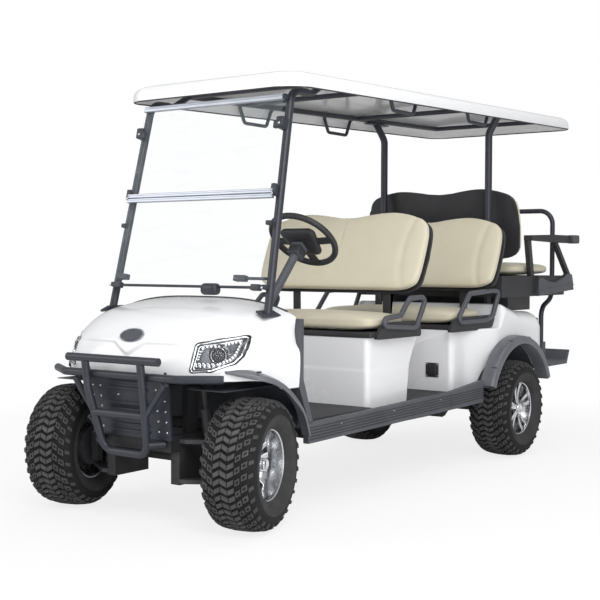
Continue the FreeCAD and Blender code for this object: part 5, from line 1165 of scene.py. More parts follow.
@dataclass
class Rim:
    """A deep machined wheel with five paired spokes over black pockets."""

    lip: float = 0.168
    barrel: float = 0.155
    dish: float = 0.146
    half: float = 0.093
    boss: float = 0.034
    inset: float = 0.016
    cap: float = 0.014
    wall: float = 0.005
    rivets: int = 20
    pairs: int = 5
    pair_angle: float = 0.135
    spoke_lean: float = 0.06
    nut_circle: float = 0.050
    sides: int = 96

    def turned_part(
        self, name: str, outline: Pairs, place: Place, look: Look, body: str, closed: bool = True
    ) -> Thing:
        """Turns an outline about the axle.

        Args:
            name: the piece's name.
            outline: pairs of distance out and radius.
            place: the wheel's axes.
            look: the finish.
            body: the wheel's body.
            closed: whether the outline closes.

        Returns:
            The piece.
        """
        line = np.asarray(outline, float)
        angle = np.arange(self.sides) * 2 * math.pi / self.sides
        places = place.at(line[:, None, 0], line[:, None, 1], angle[None])
        return piece(name, Patch().grid(places, around=True, along=closed, ends=not closed), look, body, 28)

    def spoke(
        self, patch: Patch, place: Place, angle: float, lean: float, out: float, width: float, depth: float
    ) -> None:
        """Adds one spoke: a tapering bar from the boss to the dish.

        Its half width narrows from the boss to the middle and grows again to the
        dish; its face sinks by a parabola between the two ends.

        Args:
            patch: the patch to add to.
            place: the wheel's axes.
            angle: its place round the wheel.
            lean: how far it turns on its way out.
            out: its face's distance out.
            width: its width at the boss.
            depth: its thickness.
        """
        t = np.linspace(0, 1, 14)
        foot = self.boss * 0.8
        radius = foot + (self.dish + 0.004 - foot) * t
        half = width * (1.0 - 0.85 * t + 0.95 * t**2) / radius
        sink = 0.010 * (1 - (2 * t - 0.9) ** 2).clip(0)
        middle = angle + lean * (0.4 + 0.6 * t)
        rows = []
        for sign, level in ((-1, -depth), (-1, 0.0), (-0.8, 0.0018), (0.8, 0.0018), (1, 0.0), (1, -depth)):
            rows.append(place.at(out - sink + level, radius, middle + sign * half))
        patch.grid(np.stack(rows, axis=1), around=True, ends=True)

    def barrel_line(self, disc: float) -> Pairs:
        """Outline of the barrel, from the inner lip over the outer one to the disc's seat.

        Args:
            disc: distance out of the disc's face.

        Returns:
            Pairs of distance out and radius.
        """
        half, lip, barrel, dish = self.half, self.lip, self.barrel, self.dish
        return [
            (-half, barrel - self.wall), (-half, lip - 0.004), (-half + 0.004, lip),
            (-half + 0.008, lip - 0.002), (-half + 0.012, barrel), (half - 0.013, barrel),
            (half - 0.008, lip - 0.003), (half - 0.004, lip),
            (half - 0.0005, lip - 0.0008), (half, lip - 0.003), (half - 0.0008, barrel + 0.0015),
            (half - 0.004, barrel - 0.001), (half - 0.006, barrel - 0.0055), (half - 0.030, barrel - 0.0085),
            (disc - 0.002, dish), (disc - 0.030, dish - 0.004), (disc - 0.034, dish + 0.003),
        ]

    def build(self, name: str, place: Place, body: str, node: str) -> Thing:
        """Builds one wheel's pieces and replaces its plain solid by the barrel.

        Args:
            name: first words of the pieces' names.
            place: the wheel's axes.
            body: the wheel's body.
            node: the plain solid's node.

        Returns:
            The barrel.
        """
        half, dish, boss = self.half, self.dish, self.boss
        disc = half - self.inset
        shell = self.turned_part(name + "_barrel", self.barrel_line(disc), place, Look.ALLOY, body)
        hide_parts(node)
        back = disc - 0.020
        plate = [
            (back - 0.006, 0.018), (back - 0.006, dish + 0.002), (back, dish + 0.002),
            (back + 0.002, dish - 0.012), (back + 0.001, 0.060), (back + 0.006, 0.040), (back + 0.006, 0.018),
        ]
        pockets, faces, studs = Patch(), Patch(), Patch()
        step = 2 * math.pi / self.pairs
        for number in range(self.pairs):
            for sign in SIDES:
                angle, lean = number * step + sign * self.pair_angle, sign * self.spoke_lean
                self.spoke(pockets, place, angle, lean, disc - 0.003, 0.0125, 0.022)
                self.spoke(faces, place, angle, lean, disc, 0.0108, 0.004)
        piece(name + "_spoke_backs", pockets, Look.GLOSS_BLACK, body, 30)
        piece(name + "_spoke_faces", faces, Look.ALLOY, body, 30)
        self.turned_part(name + "_pocket", plate, place, Look.GLOSS_BLACK, body)
        end = disc + self.cap
        cap = [
            (disc - 0.02, 0.0), (disc - 0.02, boss), (disc + 0.002, boss), (disc + 0.004, boss - 0.003),
            (end - 0.006, boss - 0.004), (end - 0.002, boss - 0.006), (end, boss - 0.010),
            (end - 0.0015, boss - 0.013), (end - 0.001, 0.0),
        ]
        self.turned_part(name + "_cap", cap, place, Look.CHROME, body, False)
        dome = ((0.0, 0.0034), (0.0012, 0.0031), (0.0022, 0.0018), (0.0026, 0.0))
        nut = ((0.0, 0.0088), (0.010, 0.0088), (0.013, 0.006), (0.013, 0.0))
        between = (self.lip + self.barrel) / 2 + 0.0012
        for count, form, out, radius, sides in (
            (self.rivets, dome, half - 0.0012, between, 10),
            (self.pairs, nut, back + 0.001, self.nut_circle, 6),
        ):
            for k in range(count):
                angle = (k + 0.5) * 2 * math.pi / count
                turned(studs, form, place.at(*map(np.array, (out, radius, angle))), place.out, sides)
        piece(name + "_rivets", studs, Look.GLOSS_BLACK, body, 35)
        return shell


@dataclass
class Wheels:
    """All four wheels, set on the hinges of the frame."""

    tyre: Tyre = field(default_factory=Tyre)
    front: Rim = field(default_factory=lambda: Rim(inset=0.078, cap=0.058))
    rear: Rim = field(default_factory=lambda: Rim(inset=0.016, cap=0.014))

    def build(self) -> None:
        """Builds a tyre and a rim on each wheel's body."""
        hinges = {joint["child"]: joint for joint in frame["joints"]}
        for end, rim in (("f", self.front), ("r", self.rear)):
            for side, sign in (("l", 1), ("r", -1)):
                body = f"wheel_{end}{side}"
                hinge = hinges[body]
                axis = unit(np.array(hinge["axis"], float))
                out = axis * (1 if axis[0] * sign > 0 else -1)
                place = Place(np.array(hinge["pos_m"], float), out)
                self.tyre.build(f"tyre_{end}{side}_tread", place, body, f"tyre_{end}{side}")
                rim.build(f"rim_{end}{side}", place, body, f"rim_{end}{side}")


@dataclass
class Tubes:
    """Round tubes of the guard, the canopy and the hoop."""

    guard_radius: float = 0.018
    pillar_radius: float = 0.019
    rail_radius: float = 0.016
    handle_radius: float = 0.010
    hoop_radius: float = 0.016
    guard_top: Tuple[float, float] = (-302, 736)
    guard_long: Tuple[float, float] = (-262, 664)
    guard_cross: float = 492
    rail_x: float = 433
    strut_y: float = 2536
    roof_ends: Tuple[float, float] = (316, 3471)
    roof_heights: Tuple[float, float] = (1952, 2045)
    rail_lift: float = 55.8

    def run(
        self,
        patch: Patch,
        corners: Sequence[Tuple[float, ...]],
        radius: float,
        bend: float,
        closed: bool = False,
    ) -> None:
        """Adds one tube.

        Args:
            patch: the patch to add to.
            corners: places in millimetres across, behind the front axle and up.
            radius: the tube's radius in metres.
            bend: radius of its bends in millimetres.
            closed: whether it closes.
        """
        path = smooth_path(np.array([vec(*corner) for corner in corners]), bend / 1000.0, closed)
        keep = np.ones(len(path), bool)
        keep[1:] = np.linalg.norm(np.diff(path, axis=0), axis=1) > 1e-5
        tube(patch, path[keep], radius, 20, closed)

    def guard(self) -> None:
        """The brush guard: top bar, long bar, hoop, cross bar and four braces."""
        patch = Patch()
        r = self.guard_radius
        (top_y, top), (long_y, long_z), cross = self.guard_top, self.guard_long, self.guard_cross
        hoop = [(-166, top_y, top), (-166, -284, 600), (-130, -216, 318)]
        share = (600 - cross) / (600 - 318)
        x, y = 166 - 36 * share, -284 + 68 * share
        upper, lower = [(-273, top_y, top)], [(-502, -150, long_z), (-333, long_y, long_z)]
        for half in (upper, lower, hoop, [(-x, y, cross)]):
            self.run(patch, mirrored(half), r, 60)
        for side in SIDES:
            self.run(patch, [(side * 270, long_y + 2, 638), (side * x, y, cross)], r * 0.8, 60)
            self.run(patch, [(side * 148, -234, 366), (side * 188, -165.5, 366)], r * 0.8, 60)
        thing = piece("guard_tubes", patch, Look.FRAME)
        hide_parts("brush_guard")

    def under(self, y: float) -> float:
        """Height of the roof rails' axis in millimetres."""
        return float(np.interp(y, self.roof_ends, self.roof_heights)) + self.rail_lift

    def canopy(self) -> None:
        """Pillars, rear struts, roof rails and handles."""
        patch = Patch()
        r, x, y, under = self.pillar_radius, self.rail_x, self.strut_y, self.under
        for side in SIDES:
            rail = side * x
            self.run(patch, [(side * 478, 185, 928), (rail, 419, 1947), (rail, 539, 1951)], r, 90)
            top = under(y) - 19.5
            post = [(side * 372, y, 893), (side * 372, y, top - 110), (rail, y, top - 2)]
            self.run(patch, post, r + 0.003, 90)
            line = [(rail, 540, 1951), (rail, 580, 1951), (rail, 700, under(700)), (rail, 3330, under(3330))]
            self.run(patch, line, self.rail_radius, 90)
            out = side * 486
            for start in (1180, 2010):
                low, end = under(start) - 96, start + 300
                first = [(rail, start, under(start)), (out, start, under(start)), (out, start + 50, low)]
                last = [(out, end - 50, low), (out, end, under(end)), (rail, end, under(end))]
                self.run(patch, first + last, self.handle_radius, 24)
        for place in (700, 1180, 2310, 3330):
            self.run(patch, mirrored([(-x, place, under(place))]), self.rail_radius * 0.9, 30)
        for side in SIDES:
            lean = math.radians(-24 * side)
            c, s = math.cos(lean), math.sin(lean)
            axes = np.array([[c, 0, s], [0, 1, 0], [-s, 0, c]])
            block(patch, vec(side * 480, 187, 930), (0.029, 0.060, 0.006), 0.004, axes)
            block(patch, vec(side * x, y, under(y) - 23), (0.027, 0.110, 0.004), 0.003)
        thing = piece("canopy_tubes", patch, Look.FRAME)
        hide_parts("canopy_struts", "roof_frame")

    def hoop(self) -> None:
        """The safety hoop behind the bench."""
        patch = Patch()
        left = [(400, 3262, 640), (400, 3262, 862), (400, 3432, 930), (400, 3432, 1509)]
        self.run(patch, mirrored(left), self.hoop_radius, 90)
        thing = piece("hoop_bar", patch, Look.FRAME)
        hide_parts("grab_hoop")

    def build(self) -> None:
        """Builds every tube."""
        self.guard()
        self.canopy()
        self.hoop()


@dataclass
class Cushions:
    """Seat cushions and backrests, stuffed pieces in vinyl."""

    half: float = 0.462
    rear_seat: float = 0.290
    front_seat: float = 0.196
    rim_power: float = 7.0
    fill: float = 0.8
    back_fill: float = 0.75
    back_seats: Sequence[Tuple[float, ...]] = (
        (0.527, 0.444, 1446, 998, 23, 1),
        (0.527, 0.444, 2326, 998, 23, 1),
        (0.518, 0.416, 2672, 1186, -9, -1),
    )

    def pad(
        self,
        outline: Array,
        thickness: float,
        crown: float,
        fill: float,
        axes: Sequence[Array],
        rows: int = 120,
        channel: Optional[Callable[[Array, Array], Array]] = None,
    ) -> Array:
        """Works out a stuffed pad over a closed outline.

        Row t runs from the middle of the back, over the rim, to the middle of the face.
        The share of the outline is |sin t| to the power 2 / fill and the height is the
        half thickness times the sign of -cos t times |cos t| to the power 2 / fill; the
        face gets a crown of (1 - share^2).

        Args:
            outline: closed curve of points across and up, in metres.
            thickness: the pad's thickness.
            crown: how far the middle of the face stands out.
            fill: exponent of the rim, larger is squarer.
            axes: origin, across, up and out directions.
            rows: samples of t.
            channel: depth sunk into the face, from places across and up.

        Returns:
            The grid of points.
        """
        origin, across, up, out = axes
        t = np.linspace(0, math.pi, rows)
        share = np.abs(np.sin(t)) ** (2 / fill)
        level = -np.sign(np.cos(t)) * np.abs(np.cos(t)) ** (2 / fill) * thickness / 2
        face = (t > math.pi / 2).astype(float)
        middle = (outline.max(axis=0) + outline.min(axis=0)) / 2
        places = middle + (outline[None] - middle) * share[:, None, None]
        height = (level + crown * (1 - share**2) * face)[:, None] + 0 * places[..., 0]
        if channel is not None:
            height = height - channel(places[..., 0], places[..., 1]) * face[:, None]
        return origin + places[..., 0:1] * across + places[..., 1:2] * up + height[..., None] * out

    def box_outline(self, half: float, depth: float, pull: float, count: int = 240) -> Array:
        """A squarish oval, |x|^n + |y|^n = 1, whose sides pull in between the corners.

        Each side is drawn in by the pull times (1 - (place along it)^2).

        Args:
            half: half width.
            depth: half depth.
            pull: share by which a side's middle is drawn in.
            count: points round it.

        Returns:
            The points.
        """
        c, s = ring(count).T
        r = (np.abs(c) ** self.rim_power + np.abs(s) ** self.rim_power) ** (-1 / self.rim_power)
        x, y = r * c, r * s
        squeeze = 1 - pull * np.where(np.abs(x) > np.abs(y), (1 - y**2), (1 - x**2))
        return np.stack([x * half * squeeze, y * depth * squeeze], axis=-1)

    def seats(self) -> None:
        """The two forward-facing seat cushions and the rear bench cushion."""
        for node, body, depth, thickness, centre in (
            ("seat_cushion_front", "seat_front", self.front_seat, 0.088, (1236, 852)),
            ("seat_cushion_middle", "seat_middle", self.front_seat, 0.088, (2116, 852)),
            ("bench_cushion", "cart", self.rear_seat, 0.080, (3006, 1118.3)),
        ):
            axes = (vec(0, *centre), ACROSS, BACK, UP)
            outline = self.box_outline(self.half, depth, 0.012)
            grid = self.pad(outline, thickness, 0.010, 3.6, axes, channel=self.hollows)
            thing = piece(node + "_pad", Patch().grid(grid, around=True), Look.VINYL, body, 180)
            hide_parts(node)

    def hollows(self, x: Array, y: Array) -> Array:
        """A shallow hollow for each seat and a narrow seam between them, in metres."""
        left = np.exp(-(((x - 0.22) / 0.17) ** 2)) + np.exp(-(((x + 0.22) / 0.17) ** 2))
        return 0.004 * left * np.exp(-((y / 0.15) ** 2)) + 0.0035 * np.exp(-((x / 0.008) ** 2))

    def back_outline(self, half: float, height: float, dip: float) -> Array:
        """Front view of a backrest, with two humps and a dip between them.

        Args:
            half: half width.
            height: height of the humps.
            dip: depth of the dip; the shoulders and feet are rounded by shares of it.

        Returns:
            The closed curve's points.
        """
        top = (
            (0.0, 1.0), (0.10, 0.98), (0.28, 0.40), (0.45, 0.02), (0.60, 0.04), (0.78, 0.75), (0.92, 1.9),
            (0.985, 4.2),
        )
        right = [(half * across, height - dip * down) for across, down in top]
        right += [(half, height * 0.45), (half * 0.985, dip * 2.6), (half * 0.93, dip * 0.9)]
        right += [(half * 0.78, 0.0), (half * 0.4, -0.002)]
        return spline(right + [(-x, z) for x, z in right[:0:-1]], 280, closed=True)

    def back_seams(self, x: Array, z: Array) -> Array:
        """Valleys of a backrest's face.

        Two curved valleys follow the side panels' seams, one seam runs down the middle,
        and each half has a shallow hollow; each is a bell curve across.

        Args:
            x: places across, in metres.
            z: places up.

        Returns:
            The depths.
        """
        side = 0.405 + 0.03 * ((z - 0.2) / 0.2) ** 2
        valley = 0.006 * np.exp(-(((np.abs(x) - side) / 0.022) ** 2))
        middle = 0.004 * np.exp(-((x / 0.010) ** 2))
        hollow = 0.005 * np.exp(-(((np.abs(x) - 0.2) / 0.13) ** 2)) * np.exp(-(((z - 0.22) / 0.14) ** 2))
        return valley + middle + hollow

    def backs(self) -> None:
        """All three backrests and the dark shells behind them."""
        dip = 0.026
        for number, (half, height, foot_y, foot_z, lean, facing) in enumerate(self.back_seats):
            tilt = math.radians(lean)
            up = np.array([0.0, math.sin(tilt), math.cos(tilt)])
            out = np.array([0.0, -math.cos(tilt), math.sin(tilt)]) * facing
            foot = vec(0, foot_y, foot_z)
            axes = (foot + out * 0.039 + up * 0.004, ACROSS, up, out)
            outline = self.back_outline(half, height, dip)
            grid = self.pad(outline, 0.074, 0.004, 4.2, axes, channel=self.back_seams)
            thing = piece(f"back_pad_{number}", Patch().grid(grid, around=True), Look.VINYL, smooth=180)
            if number == 0:
                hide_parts("backrest_cushions")
            deep, height, fill = (0.018, 0.449, 5.0) if facing > 0 else (0.030, 0.433, 3.0)
            axes = (foot + out * (deep / 2 - 0.0175), ACROSS, up, out)
            grid = self.pad(self.back_outline(0.531, height, dip), deep, 0.001, fill, axes, rows=60)
            piece(f"back_shell_{number}", Patch().grid(grid, around=True), Look.DARK, smooth=180)

    def build(self) -> None:
        """Builds every cushion."""
        self.seats()
        self.backs()


@dataclass
class SteeringWheel:
    """Soft rim, three spokes and a broad moulded pad on the leaning column."""

    radius: float = 0.170
    grip: float = 0.0155
    lean: float = 42.0
    hub: Tuple[float, float, float] = (255, 765, 1270)
    pad_corners: Pairs = ((-0.108, 0.084), (0.108, 0.084), (0.074, -0.092), (-0.074, -0.092))

    def spoke(self, pad: Patch, centre: Array, way: Array, up: Array, far: float, half: float) -> None:
        """Adds one flat spoke from the pad to the rim.

        Args:
            pad: the patch to add to.
            centre: the wheel's middle.
            way: its direction.
            up: direction out of the wheel.
            far: where it ends, in metres from the middle.
            half: its half width.
        """
        t = np.linspace(0, 1, 9)[:, None]
        line = centre + way * (0.03 + (far - 0.03) * t) + up * (-0.016 + 0.010 * t)
        shape = mirrored([(half, 0.004), (half - 0.004, 0.007)])
        shape += [(-half + 0.002, -0.006), (half - 0.002, -0.006)]
        tube(pad, line, 1.0, up=up, profile=np.array(shape))

    def build(self) -> None:
        """Builds the wheel in place of its plain solid."""
        tilt = math.radians(self.lean)
        out = np.array([0.0, math.sin(tilt), math.cos(tilt)])
        up = np.array([0.0, -math.cos(tilt), math.sin(tilt)])
        centre = vec(*self.hub)
        turn = ring(96)
        path = centre + self.radius * (turn[:, :1] * ACROSS + turn[:, 1:] * up)
        wheel = piece("steering_rim", tube(Patch(), path, self.grip, 20, closed=True), Look.DARK, "steering")
        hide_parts("steering_wheel")
        pad = Patch()
        for way, half in ((-ACROSS, 0.020), (ACROSS, 0.020), (-up, 0.022)):
            self.spoke(pad, centre, way, out, 0.16, half)
        shape = smooth_path(np.array([(x, y, 0) for x, y in self.pad_corners]), 0.032, True)
        rings = []
        for angle in np.linspace(-math.pi / 2, math.pi / 2, 13):
            flat = shape[:, :2] * (0.02 if abs(angle) > 1.5 else math.cos(angle) ** 0.5)
            level = out * 0.026 * math.sin(angle)
            rings.append(centre - out * 0.010 + flat[:, :1] * ACROSS + flat[:, 1:] * up + level)
        pad.grid(np.array(rings), around=True, ends=True)
        block(pad, centre - out * 0.085, (0.034, 0.034, 0.026), 0.007, np.array([ACROSS, up, out]))
        collar = ((-0.112, 0.012), (-0.03, 0.012), (-0.03, 0.03), (-0.01, 0.034), (-0.01, 0.0))
        turned(pad, collar, centre, out, 32)
        piece("steering_pad", pad, Look.DARK, "steering", 35)


def basis(count: int, t: Array) -> Array:
    """Weights of a clamped cubic row of control points.

    The usual recursion: N(i, 0) is one on its own knot span, and N(i, d) blends
    N(i, d-1) and N(i+1, d-1) by the distance from the spans' outer knots.

    Args:
        count: number of control points.
        t: places from nought to count - 3.

    Returns:
        One row of weights for each place.
    """
    knots = np.concatenate([[0.0] * 4, np.arange(1.0, count - 3), [count - 3.0] * 4])
    t = np.minimum(t, count - 3 - 1e-9)[:, None]
    weights = ((t >= knots[:-1]) & (t < knots[1:])).astype(float)
    for d in (1, 2, 3):
        n = weights.shape[1] - 1
        low = knots[d : d + n] - knots[:n]
        high = knots[d + 1 : d + 1 + n] - knots[1 : n + 1]
        rise = np.where(low > 0, (t - knots[:n]) / np.where(low > 0, low, 1), 0)
        fall = np.where(high > 0, (knots[d + 1 : d + 1 + n] - t) / np.where(high > 0, high, 1), 0)
        weights = rise * weights[:, :-1] + fall * weights[:, 1:]
    return weights


def frozen(thing: Thing) -> bpy.types.Mesh:
    """Takes an object's mesh with its modifiers applied, and clears them.

    Args:
        thing: the object.

    Returns:
        The new mesh.
    """
    mesh = bpy.data.meshes.new_from_object(thing.evaluated_get(bpy.context.evaluated_depsgraph_get()))
    thing.modifiers.clear()
    return mesh


def boolean(thing: Thing, other: Thing, operation: str) -> None:
    """Adds an exact Boolean modifier.

    Args:
        thing: the object that changes.
        other: the closed form that changes it.
        operation: what the modifier does.
    """
    change = thing.modifiers.new("boolean", "BOOLEAN")
    change.operation = operation
    change.solver = "EXACT"
    change.object = other


def carve(thing: Thing, cutters: Sequence[Thing], operation: str = "DIFFERENCE") -> None:
    """Applies cutters to an object and removes them.

    Args:
        thing: the object that is cut.
        cutters: the closed forms.
        operation: the Boolean operation.
    """
    for tool in cutters:
        boolean(thing, tool, operation)
    mesh = frozen(thing)
    old = thing.data
    thing.data = mesh
    mesh.materials.clear()
    mesh.materials.append(old.materials[0])
    bpy.data.meshes.remove(old)
    mesh.set_sharp_from_angle(angle=math.radians(34))
    for tool in cutters:
        bpy.data.objects.remove(tool)


def cutter(name: str, outline: Array, axis: int, low: float, high: float) -> Thing:
    """A prism that only cuts.

    Args:
        name: its name.
        outline: its outline in the two other axes.
        axis: number of the axis along which it runs.
        low: where it starts.
        high: where it ends.

    Returns:
        The prism.
    """
    others = [k for k in range(3) if k != axis]
    places = np.empty((2, len(outline), 3))
    places[..., others] = outline
    places[..., axis] = [[low], [high]]
    return linked(name, made_mesh(name, Patch().grid(places, around=True, ends=True)))


@dataclass
class Nose:
    """Front cowl drawn from a small net of control points, and its headlights."""

    half: float = 0.575
    nose: float = 0.202
    rear: float = 0.300
    bottom: float = 0.600
    rise: float = 0.393
    lip: float = 0.650
    wall: float = 0.005
    rows: Sequence[Tuple[float, ...]] = (
        (0.0, 0.0, 1.0, 0.985), (0.22, 0.22, 1.14, 1.0), (0.44, 0.46, 1.08, 1.0), (0.445, 0.66, 0.8, 0.965),
        (0.633, 0.864, 0.314, 0.93), (0.77, 0.965, -0.5, 0.955), (0.8, 1.0, -1.485, 0.95),
    )
    columns: Sequence[Tuple[float, ...]] = (
        (1.0, 0.0, 0.0), (1.0, 0.388, 0.0), (0.918, 0.678, 0.33), (0.62, 1.0, 0.8), (0.0, 1.0, 1.0)
    )
    rear_edge: Pairs = ((1.0, 0.0), (0.93, 0.27), (0.72, 0.72), (0.4, 1.0), (0.0, 1.0))
    lamp: Pairs = (
        (0.350, 0.811), (0.420, 0.829), (0.492, 0.844), (0.512, 0.790), (0.514, 0.757), (0.497, 0.725),
        (0.426, 0.692), (0.344, 0.687),
    )
    lamp_reach: Tuple[float, float] = (-300, 105)
    arch_radius: float = 0.362
    eye: Tuple[float, float] = (0.446, 0.771)
    beads: int = 27
    bead_floor: float = 0.715
    badge_height: float = 0.833

    def net(self) -> Array:
        """The control points, from the lower edge over the top to the rear.

        Returns:
            The points, rows by columns by three.
        """
        out = []
        for number, (side_up, middle_up, forward, width) in enumerate(self.rows):
            line = []
            for column, (across, ahead, lift) in enumerate(self.columns):
                front = -self.nose * forward
                if number == len(self.rows) - 1:
                    across, lift = self.rear_edge[column]
                    front = self.rear
                y = self.rear + (front - self.rear) * ahead
                z = self.bottom + self.rise * (side_up + (middle_up - side_up) * lift)
                line.append((self.half * width * across, y + FRONT_AXLE, z))
            out.append(line + [(-x, y, z) for x, y, z in line[-2::-1]])
        return np.array(out)

    def surface(self, u: Array, v: Array) -> Array:
        """Points of the skin.

        Args:
            u: shares up and back.
            v: shares from left to right.

        Returns:
            A grid of points, the net blended by the weights of both rows.
        """
        net = self.net()
        rows = basis(net.shape[0], u * (net.shape[0] - 3))
        columns = basis(net.shape[1], v * (net.shape[1] - 3))
        return np.einsum("ui,vj,ijk->uvk", rows, columns, net)

    def normals(self, grid: Array) -> Array:
        """Directions out of a grid of points.

        Args:
            grid: the points.

        Returns:
            One direction for each.
        """
        n = unit(np.cross(np.gradient(grid, axis=0), np.gradient(grid, axis=1)))
        middle = np.array([0.0, row(120), 0.75])
        sign = np.sign(np.einsum("uvk,uvk->uv", n, grid - middle))
        return n * np.where(sign == 0, 1, sign)[..., None]

    def crease(self, grid: Array) -> Array:
        """How far the nose sinks below its leading edge, in metres.

        The edge is a V under the badge place, z = 0.758 + 0.055 min(|x| / 0.094, 1); the
        sink rises smoothly over 14 mm below it and fades by 130 mm further down.

        Args:
            grid: points of the skin.

        Returns:
            The sink at each.
        """
        x, y, z = np.abs(grid[..., 0]), grid[..., 1], grid[..., 2]
        edge = 0.758 + 0.055 * np.minimum(x / 0.094, 1.0)
        below = np.clip((edge - z) / 0.014, 0, 1)
        below = below * below * (3 - 2 * below)
        fade = np.clip(1 - (edge - z) / 0.13, 0, 1)
        out = np.clip((0.36 - x) / 0.10, 0, 1)
        ahead = np.clip((row(60) - y) / 0.06, 0, 1)
        return 0.009 * below * fade * out * ahead

    def on_skin(self, x: Array, z: Array, depth: float = 0.0) -> Tuple[Array, Array]:
        """Finds places on the skin as seen from the front.

        A place is the mean of the six nearest of a fine grid's points, weighted by
        one over their squared distance.

        Args:
            x: places across.
            z: heights.
            depth: how far below the skin the points lie.

        Returns:
            The points and the directions out.
        """
        u, v = np.linspace(0, 1, 160), np.linspace(0, 1, 320)
        grid = self.surface(u, v)
        n = self.normals(grid)
        ahead = grid[..., 1] < row(140)
        flat, out = grid[ahead], n[ahead]
        x, z = np.atleast_1d(x), np.atleast_1d(z)
        gap = (flat[None, :, 0] - x[:, None]) ** 2 + (flat[None, :, 2] - z[:, None]) ** 2
        near = np.argsort(gap, axis=1)[:, :6]
        weight = 1 / (np.take_along_axis(gap, near, axis=1) + 1e-8)
        weight = (weight / weight.sum(axis=1, keepdims=True))[..., None]
        spot = (flat[near] * weight).sum(axis=1)
        away = unit((out[near] * weight).sum(axis=1))
        spot[:, 0], spot[:, 2] = x, z
        return spot - away * depth, away

    def shell(self, name: str, look: Look, wall: float, sink: float, rows: int, columns: int) -> Thing:
        """Makes the skin a thin shell.

        Args:
            name: the piece's name.
            look: its finish.
            wall: its thickness.
            sink: how far it lies below the skin.
            rows: points up and back.
            columns: points across.

        Returns:
            The shell, with its Solidify modifier.
        """
        grid = self.surface(np.linspace(0, 1, rows), np.linspace(0, 1, columns))
        out = self.normals(grid)
        places = grid - out * (self.crease(grid) + sink)[..., None]
        thing = piece(name, Patch().grid(places), look, smooth=50)
        thickness = thing.modifiers.new("wall", "SOLIDIFY")
        thickness.thickness = wall
        inside = thing.data.polygons[(rows // 2) * (columns - 1) + columns // 2].normal
        facing = float(np.dot(np.array(inside), out[rows // 2, columns // 2]))
        thickness.offset = -1.0 if facing > 0 else 1.0
        return thing

    def outline(self, side: int, grow: float = 0.0) -> Array:
        """Front view of a headlight, with softened corners.

        Args:
            side: 1 on the left, -1 on the right.
            grow: margin added to it.

        Returns:
            Pairs across and up.
        """
        corners = np.array([(side * x, 0.0, z) for x, z in self.lamp])
        path = smooth_path(corners, 0.012, closed=True, steps=5)[:, [0, 2]]
        return path + unit(path - path.mean(axis=0)) * grow

    def edge(self, side: int, grow: float, depth: float = 0.0) -> Tuple[Array, Array]:
        """The headlight's outline on the skin, and the directions out along it.

        Args:
            side: 1 on the left, -1 on the right.
            grow: margin added to the outline.
            depth: how far below the skin it lies.

        Returns:
            The points and the directions.
        """
        return self.on_skin(*self.outline(side, grow).T, depth)

    def prism(self, name: str, side: int, grow: float = 0.0) -> Thing:
        """A cutter in the form of a headlight."""
        return cutter(name, self.outline(side, grow), 1, *map(row, self.lamp_reach))

    def cowl(self) -> None:
        """The painted shell with its lamp openings, wheel arches and open underside."""
        thing = self.shell("cowl_skin", Look.BODY, self.wall, 0.0, 96, 180)
        tools = []
        arch = (row(0), HUB_HEIGHT) + self.arch_radius * ring(96)
        for side in SIDES:
            tools.append(self.prism("lamp_hole", side, 0.0015))
            tools.append(cutter("arch_hole", arch, 0, side * 0.245, side * 0.8))
        under = np.array([(row(-400), 0.5), (row(0), 0.5), (row(0), self.lip), (row(-400), self.lip)])
        tools.append(cutter("under_hole", under, 0, -0.7, 0.7))
        carve(thing, tools)
        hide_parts("front_cowl")

    def lens(self) -> None:
        """The clear lenses, cut out of the skin."""
        lens = self.shell("lamp_lens", Look.LAMP, 0.003, 0.0008, 90, 170)
        first, second = (self.prism("lens_form", side) for side in SIDES)
        boolean(first, second, "UNION")
        first.data = frozen(first)
        carve(lens, [first], "INTERSECT")
        bpy.data.objects.remove(second)

    def lamps(self) -> None:
        """Housings behind the lenses: bowl, rims, beads, a projector in its collar, and fins."""
        self.lens()
        bowls, rims, beads, fins, glass, dark = (Patch() for _ in range(6))
        for side in SIDES:
            spot, out = self.edge(side, -0.001)
            middle = spot.mean(axis=0)
            rings = [spot - out * 0.002]
            for share, deep in ((0.93, 0.016), (0.90, 0.030), (0.70, 0.036), (0.35, 0.038), (0.02, 0.038)):
                rings.append(middle + (spot - middle) * share + BACK * deep)
            bowls.grid(np.array(rings), around=True)
            for patch, grow, depth, radius in (
                (dark, 0.0008, 0.0004, 0.0026), (rims, -0.0055, 0.003, 0.0030), (rims, -0.017, 0.010, 0.0024)
            ):
                spot, _ = self.edge(side, grow, depth)
                tube(patch, spot, radius, 8, closed=True)
            self.bead_row(beads, side, spot, middle)
            self.projector(glass, rims, dark, side)
            lean = unit(np.array([[1, 0, 0], [0, 1, 0], [side * -0.25, 0, 1.0]]))
            for k in range(7):
                spot, _ = self.on_skin(side * (0.368 + 0.017 * k), 0.722 - 0.001 * k, 0.022)
                block(fins, spot[0], (0.0055, 0.010, 0.012), 0.003, lean)
            for k in range(5):
                spot, _ = self.on_skin(side * (0.372 + 0.002 * k), 0.748 + 0.0125 * k, 0.020)
                block(fins, spot[0], (0.010, 0.010, 0.0042), 0.003)
        bowl = piece("lamp_bowls", bowls, Look.BOWL, smooth=30)
        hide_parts("lamps")
        piece("lamp_rims", rims, Look.CHROME)
        piece("lamp_beads", beads, Look.DOT, smooth=60)
        piece("lamp_fins", fins, Look.CHROME)
        piece("lamp_eyes", glass, Look.EYE, smooth=60)
        piece("lamp_collars", dark, Look.GLOSS_BLACK)

